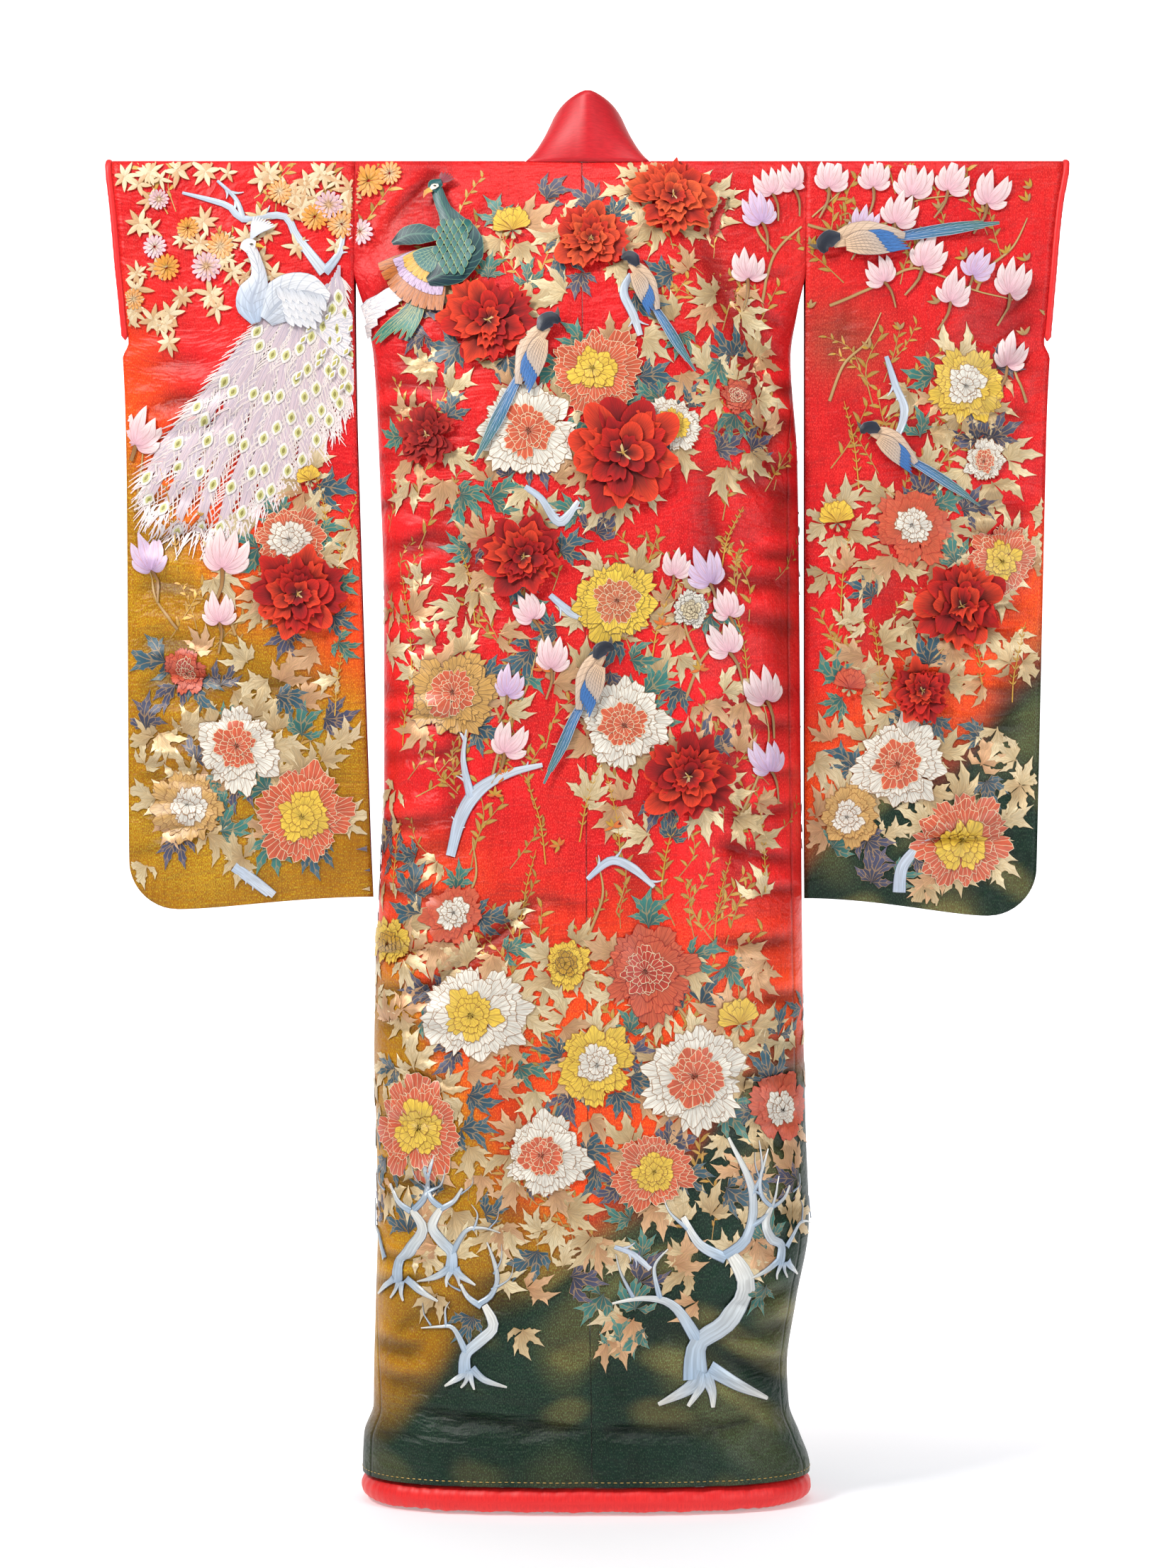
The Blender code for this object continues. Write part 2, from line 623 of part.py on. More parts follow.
def make_roll(name, path, across, up, half_wide, half_high, sides, material):
    """A padded roll: an oval carried along a path, closed at both ends."""
    points = []
    for centre, out, rise in zip(path, across, up):
        for k in range(sides):
            angle = 2 * np.pi * k / sides
            points.append(centre + out * half_wide * np.cos(angle) + rise * half_high * np.sin(angle))
    faces = []
    count = len(path)
    for r in range(count - 1):
        for k in range(sides):
            j = (k + 1) % sides
            faces.append((r * sides + k, (r + 1) * sides + k, (r + 1) * sides + j, r * sides + j))
    faces.append(tuple(range(sides)))
    faces.append(tuple((count - 1) * sides + k for k in reversed(range(sides))))
    volume = 0.0
    for face in faces:
        for k in range(1, len(face) - 1):
            a, b, c = points[face[0]], points[face[k]], points[face[k + 1]]
            volume = volume + np.dot(a, np.cross(b, c))
    if volume < 0:
        faces = [tuple(reversed(face)) for face in faces]
    mesh = bpy.data.meshes.new(name)
    mesh.from_pydata([tuple(p) for p in points], [], faces)
    mesh.materials.append(material)
    mesh.validate()
    mesh.update()
    item = bpy.data.objects.new(name, mesh)
    bpy.context.collection.objects.link(item)
    return item


def make_hem_roll():
    """Padded hem roll from one front edge round the back to the other front edge."""
    low = turn_at(-FRONT_GAP, BODY_LENGTH, 1)
    high = turn_at(FRONT_GAP, BODY_LENGTH, 1)
    path = []
    across = []
    up = []
    for k in range(ROLL_STATIONS + 1):
        turn = low + (high - low) * k / ROLL_STATIONS
        point = body_point(turn, BODY_LENGTH)
        ahead = body_point(turn + 0.01, BODY_LENGTH)
        behind = body_point(turn - 0.01, BODY_LENGTH)
        along = unit((ahead - behind) * np.array((1, 1, 0)))
        out = np.array((along[1], -along[0], 0.0))
        centre = point * np.array((1, 1, 0)) + np.array((0, 0, -ROLL_CENTRE)) + out * ROLL_OUT
        path.append(centre)
        across.append(out)
        up.append(np.array((0.0, 0.0, 1.0)))
    return make_roll("hem_roll", path, across, up, ROLL_THICK / 2, ROLL_HEIGHT / 2,
                     ROLL_SIDES, ROLL_SILK)


def make_cuff_roll(side, name):
    """Thin padded edge round the hand opening of a sleeve, over the shoulder fold."""
    full = sleeve_bottom(side, 0.0)
    levels = (0.240, 0.205, 0.165, 0.125, 0.085, 0.050, 0.026, 0.012, 0.005, 0.0015)
    steps = [(-1, d) for d in levels] + [(1, 0.0)] + [(1, d) for d in reversed(levels)]
    path = []
    for face, down in steps:
        point = sleeve_point(side, 1.0, down / full, face)
        point[0] = point[0] + side * (CUFF_ROLL / 2 + SEAM)
        if down > 0.01:
            # front and back edge lie against each other where the opening ends
            point[1] = SHIFT_Y + face * max(abs(point[1] - SHIFT_Y), 0.0034)
        path.append(point)
    across = []
    up = []
    for k, point in enumerate(path):
        after = path[min(k + 1, len(path) - 1)]
        before = path[max(k - 1, 0)]
        along = unit(after - before)
        out = unit(np.array((1.0, 0.0, 0.0)) - along * along[0])
        across.append(out)
        up.append(np.cross(along, out))
    return make_roll(name, path, across, up, CUFF_ROLL / 2, 0.0032, 6, ROLL_SILK)


make_body(-1, "body_left")
make_body(1, "body_right")
OKUMI_ROWS = [d for d in PANEL_ROWS if OKUMI_TIP - 0.001 < d < COLLAR_END + 0.0005]
OKUMI_ROWS = OKUMI_ROWS + [COLLAR_END + 0.0012] + [d for d in PANEL_ROWS if d > COLLAR_END + 0.01]
front_piece(-1, "okumi_left", OKUMI_ROWS, okumi_edges)
front_piece(1, "okumi_right", OKUMI_ROWS, okumi_edges)
make_collar()
make_sleeve(-1, "sleeve_left")
make_sleeve(1, "sleeve_right")
make_hem_roll()
make_cuff_roll(-1, "cuff_roll_left")
make_cuff_roll(1, "cuff_roll_right")
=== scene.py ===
# %% [markdown]
# # A figured uchikake
#
# An uchikake is the long padded over-robe of a Japanese wedding. This one is red silk with a fine
# gold glitter in the weave, shaded to ochre and dark green, and covered with peonies, magnolias
# and birds in embroidery, velvet and foil. The robe is shown from behind, filled out, with its
# sleeves held straight out. The solids of the frame give its cut. Here each cloth solid is
# replaced by a fine thin shell on the same form, with its creases, and the design is laid on it.

import json

import bpy
import numpy as np
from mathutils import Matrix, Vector

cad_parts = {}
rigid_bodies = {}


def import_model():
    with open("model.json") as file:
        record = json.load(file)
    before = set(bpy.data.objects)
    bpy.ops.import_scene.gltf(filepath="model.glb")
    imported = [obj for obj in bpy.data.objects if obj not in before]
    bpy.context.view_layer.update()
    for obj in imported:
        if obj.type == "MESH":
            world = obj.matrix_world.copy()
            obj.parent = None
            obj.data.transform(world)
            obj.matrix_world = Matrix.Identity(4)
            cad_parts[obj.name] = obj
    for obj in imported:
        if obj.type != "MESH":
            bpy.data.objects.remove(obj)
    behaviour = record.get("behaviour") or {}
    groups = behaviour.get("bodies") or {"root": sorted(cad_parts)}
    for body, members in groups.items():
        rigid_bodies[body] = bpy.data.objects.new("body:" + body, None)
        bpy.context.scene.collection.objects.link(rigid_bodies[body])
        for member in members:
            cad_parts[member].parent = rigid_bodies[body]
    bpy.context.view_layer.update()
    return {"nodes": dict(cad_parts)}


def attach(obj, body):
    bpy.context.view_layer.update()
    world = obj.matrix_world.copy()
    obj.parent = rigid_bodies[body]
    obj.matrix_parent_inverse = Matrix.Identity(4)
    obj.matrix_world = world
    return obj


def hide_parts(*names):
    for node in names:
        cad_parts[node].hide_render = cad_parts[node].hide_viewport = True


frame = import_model()
random = np.random.default_rng(7)
print("nodes:", sorted(frame["nodes"]))

# %% [markdown]
# ## Sizes and sections
#
# The cloth follows the same sections as the solids: rows of widths and depths, blended smoothly.
# A row per level is easy to check against the garment, and it keeps the curve fair in between.

# %% The sections of the robe
CLOTH = 0.0020
COLLAR_CLOTH = 0.0030
SEAM = 0.0003
BODY_LENGTH = 1.790
ROLL_HEIGHT = 0.034
ROLL_THICK = 0.030
ROLL_CENTRE = 1.8095
ROLL_OUT = -0.0125
FOLD_HEIGHT = 0.020
NECK_HALF = 0.086
SLIT_TOP = 0.147
SLIT_END = 0.270
OKUMI_TIP = 0.235
COLLAR_END = 0.900
COLLAR_WIDTH = 0.097
FRONT_GAP = 0.012
CUFF_OPEN = 0.240
CUFF_ROLL = 0.0090
CORNER = 0.065
STITCH_LINE = 1.7835
BOXY = 0.35
SHIFT_Y = 0.0075

BODY_SECTIONS = (
    # down,  left,   right,  deep,  edge
    (0.000, -0.3180, 0.2985, 0.012, 0.0115),
    (0.060, -0.3182, 0.2980, 0.033, 0.0170),
    (0.147, -0.3185, 0.2970, 0.060, 0.0200),
    (0.205, -0.3040, 0.2860, 0.074, 0.0110),
    (0.270, -0.2920, 0.2770, 0.085, 0.0000),
    (0.410, -0.2845, 0.2862, 0.098, 0.0000),
    (0.620, -0.2777, 0.2890, 0.104, 0.0000),
    (0.855, -0.2777, 0.2910, 0.108, 0.0000),
    (1.040, -0.2855, 0.2925, 0.110, 0.0000),
    (1.216, -0.2913, 0.2950, 0.112, 0.0000),
    (1.332, -0.2880, 0.2980, 0.114, 0.0000),
    (1.450, -0.2865, 0.3020, 0.115, 0.0000),
    (1.560, -0.2890, 0.2840, 0.115, 0.0000),
    (1.647, -0.2915, 0.2720, 0.113, 0.0000),
    (1.700, -0.2920, 0.2745, 0.111, 0.0000),
    (1.740, -0.3050, 0.2890, 0.119, 0.0000),
    (1.784, -0.3068, 0.3030, 0.124, 0.0000),
    (1.830, -0.3060, 0.3010, 0.124, 0.0000),
)
BODY_SEAMS = (
    # down,  centre,  left,  right
    (0.000, -0.0078, 1.000, 1.000),
    (0.270, -0.0070, 1.000, 1.000),
    (0.330, -0.0060, 1.000, 0.900),
    (0.410, -0.0050, 1.000, 0.790),
    (0.650, -0.0030, 1.000, 0.770),
    (1.090, -0.0010, 1.000, 0.790),
    (1.450, 0.0010, 0.980, 0.805),
    (1.700, 0.0050, 0.810, 0.820),
    (1.830, 0.0060, 0.800, 0.830),
)
FRONT_SEAMS = (
    # down,  neck,   panel
    (0.000, 0.0860, 0.1150),
    (0.030, 0.0900, 0.1150),
    (0.100, 0.1020, 0.1150),
    (0.235, 0.1120, 0.1150),
    (0.450, 0.1110, 0.1250),
    (0.900, 0.1080, 0.1400),
    (1.830, 0.1080, 0.1550),
)
SLEEVE_LEFT = (
    # down,  outer,   inner
    (0.000, -0.6600, -0.3180),
    (0.060, -0.6540, -0.3182),
    (0.090, -0.6510, -0.3183),
    (0.147, -0.6460, -0.3185),
    (0.190, -0.6420, -0.3183),
    (0.345, -0.6330, -0.3160),
    (0.460, -0.6310, -0.3127),
    (0.934, -0.6280, -0.2970),
    (1.040, -0.6260, -0.2925),
)
SLEEVE_RIGHT = (
    # down,  outer,  inner
    (0.000, 0.6593, 0.2985),
    (0.060, 0.6500, 0.2980),
    (0.096, 0.6457, 0.2976),
    (0.147, 0.6412, 0.2970),
    (0.205, 0.6370, 0.2970),
    (0.345, 0.6290, 0.2968),
    (0.460, 0.6262, 0.2966),
    (0.934, 0.6156, 0.2965),
    (1.045, 0.6130, 0.2965),
)
SLEEVE_DEPTH = (
    # down,  inner,  middle, cuff
    (0.000, 0.0115, 0.0110, 0.0105),
    (0.060, 0.0170, 0.0180, 0.0130),
    (0.147, 0.0200, 0.0230, 0.0150),
    (0.210, 0.0170, 0.0240, 0.0080),
    (0.245, 0.0160, 0.0240, 0.0012),
    (0.500, 0.0140, 0.0220, 0.0012),
    (0.850, 0.0120, 0.0190, 0.0012),
    (0.970, 0.0080, 0.0130, 0.0012),
    (1.050, 0.0012, 0.0012, 0.0012),
)
COLLAR_STATIONS = (
    # foot x, foot y, foot down, edge x, edge y, edge down
    (0.0000, -0.0075, -0.0006, 0.0000, -0.0020, -0.0970),
    (0.0300, -0.0075, -0.0006, 0.0215, 0.0080, -0.0890),
    (0.0570, -0.0073, -0.0006, 0.0390, 0.0260, -0.0750),
    (0.0765, -0.0055, -0.0010, 0.0510, 0.0480, -0.0560),
    (0.0838, 0.0020, -0.0020, 0.0550, 0.0750, -0.0340),
    (0.0848, 0.0130, 0.0080, 0.0480, 0.0930, -0.0110),
    (0.0865, 0.0230, 0.0340, 0.0340, 0.1000, 0.0270),
    (0.0930, 0.0340, 0.0700, 0.0220, 0.0980, 0.0750),
)


def read_table(rows, column, at):
    """Smooth value of one column of a table, without overshoot between its rows."""
    keys = np.array([row[0] for row in rows])
    values = np.array([row[column] for row in rows])
    at = np.clip(np.asarray(at, dtype=float), keys[0], keys[-1])
    steps = np.diff(values) / np.diff(keys)
    slopes = np.zeros(len(keys))
    for k in range(1, len(keys) - 1):
        if steps[k - 1] * steps[k] > 0:
            slopes[k] = 2 * steps[k - 1] * steps[k] / (steps[k - 1] + steps[k])
    k = np.clip(np.searchsorted(keys, at, side="right") - 1, 0, len(keys) - 2)
    span = keys[k + 1] - keys[k]
    u = (at - keys[k]) / span
    blend = u * u * (3 - 2 * u)
    rise = values[k] + (values[k + 1] - values[k]) * blend
    return rise + span * (u * (1 - u) ** 2 * slopes[k] - u * u * (1 - u) * slopes[k + 1])


def smooth(low, high, value):
    u = np.clip((value - low) / (high - low), 0, 1)
    return u * u * (3 - 2 * u)


def shoulder_fold(down):
    u = np.clip(down / FOLD_HEIGHT, 0, 1)
    return np.sqrt(np.maximum(1 - (1 - u) ** 2, 0))


print("body width at the hem:", float(read_table(BODY_SECTIONS, 2, 1.78)) * 2)

# %% [markdown]
# ## Folds and creases
#
# The robe hangs from its straight shoulder line, so the cloth drags from the shoulders towards
# the underarms, sags over the padded hem and wrinkles across the sleeves. Each fold is one soft
# trough or ridge between two points. Broad ones are in the solids too; the short ones are only
# here. Placing them one by one keeps them where they show; a simulation would put them anywhere.

# %% The folds of the body
FOLDS = (
    # face,    x1,     down1,  x2,     down2, width, rise
    ("back", -0.205, 0.010, -0.300, 0.130, 0.026, -0.0045),
    ("back", 0.188, 0.040, 0.160, 0.130, 0.030, -0.0050),
    ("back", 0.160, 0.130, 0.235, 0.320, 0.030, -0.0060),
    ("back", 0.235, 0.320, 0.245, 0.440, 0.030, -0.0040),
    ("back", -0.163, 0.470, -0.163, 0.650, 0.030, -0.0045),
    ("back", -0.245, 1.150, -0.060, 1.002, 0.030, -0.0080),
    ("back", -0.275, 1.610, -0.074, 1.510, 0.036, -0.0060),
    ("back", -0.240, 1.690, 0.000, 1.716, 0.020, -0.0060),
    ("back", 0.000, 1.716, 0.228, 1.712, 0.020, -0.0055),
    ("back", 0.160, 1.450, 0.260, 1.610, 0.035, 0.0070),
    ("back", 0.120, 0.620, 0.150, 1.150, 0.060, 0.0050),
    ("back", -0.172, 0.660, -0.182, 0.990, 0.015, -0.0075),
    ("back", -0.146, 0.640, -0.154, 0.960, 0.018, 0.0045),
    ("back", 0.158, 0.400, 0.186, 0.700, 0.016, -0.0070),
    ("back", 0.186, 0.700, 0.208, 1.050, 0.016, -0.0060),
    ("back", 0.262, 0.350, 0.266, 0.800, 0.016, -0.0040),
    ("back", -0.252, 0.420, -0.238, 0.900, 0.024, 0.0050),
    ("back", 0.060, 0.780, 0.090, 1.300, 0.022, -0.0050),
    ("back", -0.080, 1.080, -0.110, 1.560, 0.024, -0.0050),
    ("front", -0.120, 0.300, -0.200, 0.900, 0.040, -0.0060),
    ("front", 0.120, 0.300, 0.210, 0.900, 0.040, -0.0060),
    ("front", -0.170, 1.000, -0.150, 1.700, 0.045, -0.0070),
    ("front", 0.170, 1.000, 0.150, 1.700, 0.045, -0.0070),
    ("front", -0.220, 1.690, -0.030, 1.712, 0.020, -0.0050),
    ("front", 0.220, 1.690, 0.030, 1.712, 0.020, -0.0050),
)

print("folds of the body:", len(FOLDS))

# %% [markdown]
# ## Creases of the body
#
# Pressed and dragged lines in padded silk are narrow and uneven. Each row is one soft trough or
# ridge between two points, with its own width and depth. Rows differ on purpose, since cloth never
# creases evenly.

# %% Creases of the body
CREASES = (
    # face,    x1,     down1,  x2,     down2, width, rise
    ("both", -0.195, 0.006, -0.290, 0.105, 0.009, -0.0030),
    ("both", -0.225, 0.010, -0.305, 0.120, 0.010, 0.0028),
    ("both", -0.125, 0.055, -0.165, 0.110, 0.010, -0.0024),
    ("both", -0.240, 0.140, -0.296, 0.215, 0.009, -0.0026),
    ("back", -0.190, 0.260, -0.270, 0.300, 0.012, -0.0026),
    ("back", -0.272, 0.330, -0.225, 0.352, 0.007, -0.0020),
    ("back", -0.270, 0.395, -0.215, 0.400, 0.007, -0.0018),
    ("back", -0.274, 0.470, -0.205, 0.505, 0.008, -0.0020),
    ("back", -0.180, 0.480, -0.255, 0.560, 0.014, -0.0034),
    ("back", -0.150, 0.500, -0.160, 0.660, 0.010, -0.0030),
    ("back", -0.268, 0.640, -0.200, 0.610, 0.009, -0.0020),
    ("back", -0.270, 0.760, -0.215, 0.745, 0.008, -0.0018),
    ("back", -0.272, 0.900, -0.190, 0.930, 0.009, -0.0022),
    ("back", 0.182, 0.040, 0.158, 0.125, 0.010, -0.0034),
    ("back", 0.160, 0.125, 0.205, 0.225, 0.010, -0.0036),
    ("back", 0.205, 0.225, 0.236, 0.330, 0.010, -0.0034),
    ("back", 0.236, 0.330, 0.248, 0.440, 0.011, -0.0030),
    ("back", 0.205, 0.200, 0.270, 0.235, 0.008, -0.0030),
    ("back", 0.215, 0.232, 0.272, 0.290, 0.008, -0.0028),
    ("back", 0.210, 0.165, 0.285, 0.160, 0.008, -0.0026),
    ("back", 0.225, 0.270, 0.268, 0.350, 0.008, 0.0024),
    ("back", 0.200, 0.600, 0.268, 0.570, 0.010, -0.0018),
    ("back", -0.243, 1.152, -0.160, 1.080, 0.008, -0.0036),
    ("back", -0.160, 1.080, -0.062, 1.004, 0.008, -0.0046),
    ("back", -0.062, 1.004, 0.000, 1.022, 0.009, -0.0030),
    ("back", -0.238, 1.132, -0.072, 0.990, 0.009, 0.0034),
    ("back", -0.270, 1.240, -0.120, 1.190, 0.010, -0.0018),
    ("back", -0.276, 1.600, -0.178, 1.545, 0.010, -0.0030),
    ("back", -0.178, 1.545, -0.076, 1.502, 0.010, -0.0024),
    ("back", -0.270, 1.655, -0.150, 1.640, 0.009, -0.0022),
    ("back", -0.240, 1.690, -0.175, 1.702, 0.0045, -0.0040),
    ("back", -0.175, 1.702, -0.090, 1.712, 0.0045, -0.0046),
    ("back", -0.090, 1.712, 0.006, 1.716, 0.0045, -0.0046),
    ("back", 0.006, 1.716, 0.150, 1.722, 0.0045, -0.0044),
    ("back", 0.150, 1.722, 0.226, 1.708, 0.0045, -0.0040),
    ("back", -0.286, 1.728, -0.218, 1.726, 0.004, -0.0030),
    ("back", -0.240, 1.680, 0.006, 1.704, 0.007, 0.0026),
    ("back", 0.006, 1.704, 0.226, 1.698, 0.007, 0.0026),
    ("back", 0.200, 1.530, 0.262, 1.600, 0.011, -0.0030),
    ("back", 0.222, 1.640, 0.262, 1.665, 0.009, -0.0030),
    ("back", 0.230, 1.700, 0.266, 1.740, 0.010, 0.0030),
    ("back", 0.070, 1.560, 0.200, 1.640, 0.018, -0.0026),
    ("back", -0.050, 1.600, 0.060, 1.655, 0.016, -0.0022),
    ("back", -0.140, 1.740, -0.100, 1.786, 0.010, -0.0016),
    ("back", 0.060, 1.742, 0.070, 1.786, 0.010, -0.0016),
    ("front", -0.270, 0.330, -0.215, 0.352, 0.008, -0.0020),
    ("front", 0.225, 0.350, 0.272, 0.330, 0.008, -0.0020),
    ("front", -0.240, 0.800, -0.150, 0.980, 0.014, -0.0030),
    ("front", 0.240, 0.760, 0.160, 0.960, 0.014, -0.0030),
    ("front", -0.240, 1.690, -0.020, 1.716, 0.006, -0.0040),
    ("front", 0.020, 1.716, 0.240, 1.700, 0.006, -0.0040),
)

# %% [markdown]
# ## Folds and creases of the sleeves
#
# A spread sleeve hangs from the arm and is drawn in at its sewn edge, so its folds are few and
# long, and its creases are finer than they are.

# %% Folds and creases of the sleeves
SLEEVE_FOLDS = (
    # face,    x1,     down1,  x2,     down2, width, rise
    ("both", -0.600, 0.700, -0.340, 0.730, 0.034, -0.0040),
    ("both", -0.610, 0.860, -0.330, 0.820, 0.036, -0.0040),
    ("both", -0.470, 0.050, -0.520, 0.560, 0.040, 0.0035),
    ("both", -0.380, 0.200, -0.360, 0.700, 0.032, -0.0035),
    ("both", 0.600, 0.180, 0.470, 0.300, 0.030, -0.0045),
    ("both", 0.440, 0.200, 0.420, 0.820, 0.038, -0.0040),
    ("both", 0.560, 0.420, 0.540, 0.900, 0.036, 0.0035),
    ("both", 0.330, 0.500, 0.340, 0.900, 0.030, 0.0030),
)
SLEEVE_CREASES = (
    # face,    x1,     down1,  x2,     down2, width, rise
    ("both", -0.618, 0.300, -0.520, 0.335, 0.008, -0.0020),
    ("both", -0.615, 0.420, -0.540, 0.430, 0.007, -0.0018),
    ("both", -0.612, 0.520, -0.500, 0.500, 0.008, -0.0016),
    ("both", -0.612, 0.700, -0.450, 0.712, 0.008, -0.0026),
    ("both", -0.480, 0.722, -0.330, 0.705, 0.008, -0.0022),
    ("both", -0.610, 0.775, -0.400, 0.762, 0.007, -0.0022),
    ("both", -0.612, 0.845, -0.480, 0.862, 0.008, -0.0024),
    ("both", -0.470, 0.850, -0.320, 0.838, 0.008, -0.0018),
    ("both", -0.610, 0.915, -0.440, 0.905, 0.007, -0.0018),
    ("both", -0.400, 0.560, -0.320, 0.590, 0.009, -0.0020),
    ("both", -0.385, 0.180, -0.335, 0.250, 0.009, -0.0020),
    ("both", 0.625, 0.165, 0.560, 0.215, 0.008, -0.0028),
    ("both", 0.618, 0.205, 0.520, 0.275, 0.008, -0.0030),
    ("both", 0.615, 0.250, 0.530, 0.310, 0.008, -0.0024),
    ("both", 0.610, 0.285, 0.560, 0.340, 0.008, 0.0022),
    ("both", 0.608, 0.390, 0.500, 0.400, 0.008, -0.0020),
    ("both", 0.605, 0.520, 0.480, 0.505, 0.008, -0.0018),
    ("both", 0.600, 0.640, 0.420, 0.655, 0.009, -0.0022),
    ("both", 0.598, 0.760, 0.450, 0.742, 0.008, -0.0022),
    ("both", 0.420, 0.800, 0.310, 0.790, 0.009, -0.0018),
    ("both", 0.590, 0.870, 0.400, 0.880, 0.008, -0.0020),
    ("both", 0.360, 0.180, 0.330, 0.300, 0.010, -0.0018),
)


# %% [markdown]
# ## Drag lines at the edges
#
# Where a seam or a padded edge pulls the cloth, short wrinkles stand across it. A seeded loop
# scatters them, because placing so many by hand gives a regular look.

# %% Drag lines at the edges
def drag_lines(count, first, step, edges, reach_low, reach_high):
    """Short wrinkles that run in from an edge: a trough each, with a ridge beside it."""
    rows = []
    for k in range(count):
        for edge in edges:
            down = first + step * k + random.uniform(-0.3, 0.3) * step
            reach = -np.sign(edge) * random.uniform(reach_low, reach_high)
            end = down + random.uniform(-0.28, 0.28) * abs(reach)
            width, deep = random.uniform(0.008, 0.014), random.uniform(0.0026, 0.0048)
            rows.append(("both", edge, down, edge + reach, end, width, -deep))
            rows.append(("both", edge, down - 1.7 * width, edge + reach, end - 1.7 * width,
                         width, 0.7 * deep))
    return rows


CREASES = CREASES + tuple(drag_lines(24, 0.30, 0.059, (-0.290, 0.286), 0.05, 0.13))
SLEEVE_CREASES = SLEEVE_CREASES + tuple(drag_lines(12, 0.28, 0.060, (-0.622, 0.612), 0.08, 0.20))


print("creases, body and sleeves:", len(CREASES), len(SLEEVE_CREASES))

# %% [markdown]
# ## The rise that the tables give
#
# Every row adds a smooth bell across its line and fades at its ends. Adding them up gives how far
# the cloth stands out at any point, so all panels share one function.

# %% The rise that the tables give
def fold_rise(rows, face, x, down):
    """How far the folds of one face lift the cloth out of its plain surface."""
    x, down = np.broadcast_arrays(x, down)
    total = np.zeros(x.shape)
    for kind, x1, down1, x2, down2, width, rise in rows:
        if kind not in (face, "both"):
            continue
        reach = 3 * width
        near = (x > min(x1, x2) - reach) & (x < max(x1, x2) + reach)
        near &= (down > min(down1, down2) - reach) & (down < max(down1, down2) + reach)
        if not near.any():
            continue
        run = np.array((x2 - x1, down2 - down1))
        length = np.hypot(*run)
        off_x, off_down = x[near] - x1, down[near] - down1
        along = (off_x * run[0] + off_down * run[1]) / length
        across = (off_x * run[1] - off_down * run[0]) / length
        across = across + 0.12 * width * np.sin(along * 70 + x1 * 90)
        taper = smooth(-width, max(width, length * 0.3), along)
        taper = taper * smooth(-width, max(width, length * 0.3), length - along)
        total[near] += rise * np.exp(-((across / width) ** 2)) * taper
    return total


def ripple(x, down, size):
    """Slight unevenness of padded silk, a few waves that never line up."""
    wave = np.sin(x * 41 + 1.7 * np.sin(down * 13)) * np.sin(down * 29 + 2.1 * np.sin(x * 17))
    wave = wave + 0.5 * np.sin(x * 83 + down * 37 + 1.3) * np.sin(down * 71 - x * 29)
    wave = wave + 0.35 * np.sin(x * 23 - down * 118 + 2.0 * np.sin(x * 31)) * np.sin(x * 47 + 0.7)
    return size * wave


# %% [markdown]
# ## The surface of the robe
#
# Two functions say where every point of cloth lies: one for the body, which is a tube below the
# underarm and two walls over the shoulder above it, and one for a sleeve, which is a flat bag.
# All cloth and all embroidery goes through them, so nothing floats and nothing cuts through.

# %% Body and sleeve surfaces
def body_xyz(turn, down, face):
    """Points of the body. turn is 0 at the middle of the back, 1 at a side, 2 in front."""
    turn, down, face = np.broadcast_arrays(np.asarray(turn, float), down, face)
    side = np.where(turn >= 0, 1.0, -1.0)
    angle = np.abs(turn) * np.pi / 2
    left = read_table(BODY_SECTIONS, 1, down)
    right = read_table(BODY_SECTIONS, 2, down)
    deep = read_table(BODY_SECTIONS, 3, down)
    edge = read_table(BODY_SECTIONS, 4, down)
    half = (right - left) / 2
    sine = np.sin(angle)
    cosine = np.abs(np.cos(angle))
    closed = smooth(0.10, 0.26, down)
    profile = closed * cosine * (1 + BOXY * sine**2) + (1 - closed) * cosine**2
    x = (left + right) / 2 + side * half * sine
    y = face * (edge + (deep - edge) * profile) * shoulder_fold(down)
    away = smooth(0.004, 0.05, down) * smooth(0.0, 0.25, cosine)
    fine = smooth(0.004, 0.03, down) * smooth(0.0, 0.18, cosine)
    rises = {-1: 0.0, 1: 0.0}
    for name, sign in (("back", -1), ("front", 1)):
        if not (face == sign).any():
            continue
        broad = fold_rise(FOLDS, name, x, down) * away
        small = fold_rise(CREASES, name, x, down) * fine * 1.8
        rises[sign] = broad + small
    rise = np.where(face < 0, rises[-1], rises[1]) + ripple(x, down, 0.0013) * fine
    return np.stack((x, y + face * rise + SHIFT_Y, -down + 0 * x), axis=-1)


def turn_at(x, down, face):
    """The turn at which the body surface reaches x, on the back or on the front."""
    left = read_table(BODY_SECTIONS, 1, down)
    right = read_table(BODY_SECTIONS, 2, down)
    share = (x - (left + right) / 2) / ((right - left) / 2)
    turn = np.arcsin(np.clip(share, -1, 1)) / (np.pi / 2)
    if face < 0:
        return turn
    return np.where(np.asarray(x) >= 0, 2 - turn, -2 - turn)


def sleeve_outline(side, down):
    rows = SLEEVE_RIGHT if side > 0 else SLEEVE_LEFT
    seam = read_table(BODY_SECTIONS, 2 if side > 0 else 1, down)
    inner = np.where(down <= SLIT_TOP, seam, read_table(rows, 2, down))
    outer = read_table(rows, 1, down)
    inset = (CUFF_ROLL + SEAM) * (1 - smooth(CUFF_OPEN + 0.008, CUFF_OPEN + 0.030, down))
    return outer - side * inset, inner


def sleeve_bottom(side, share):
    outer = 1.033 if side > 0 else 1.024
    inner = 1.009 if side > 0 else 1.007
    return inner + (outer - inner) * smooth(0.0, 1.0, share)


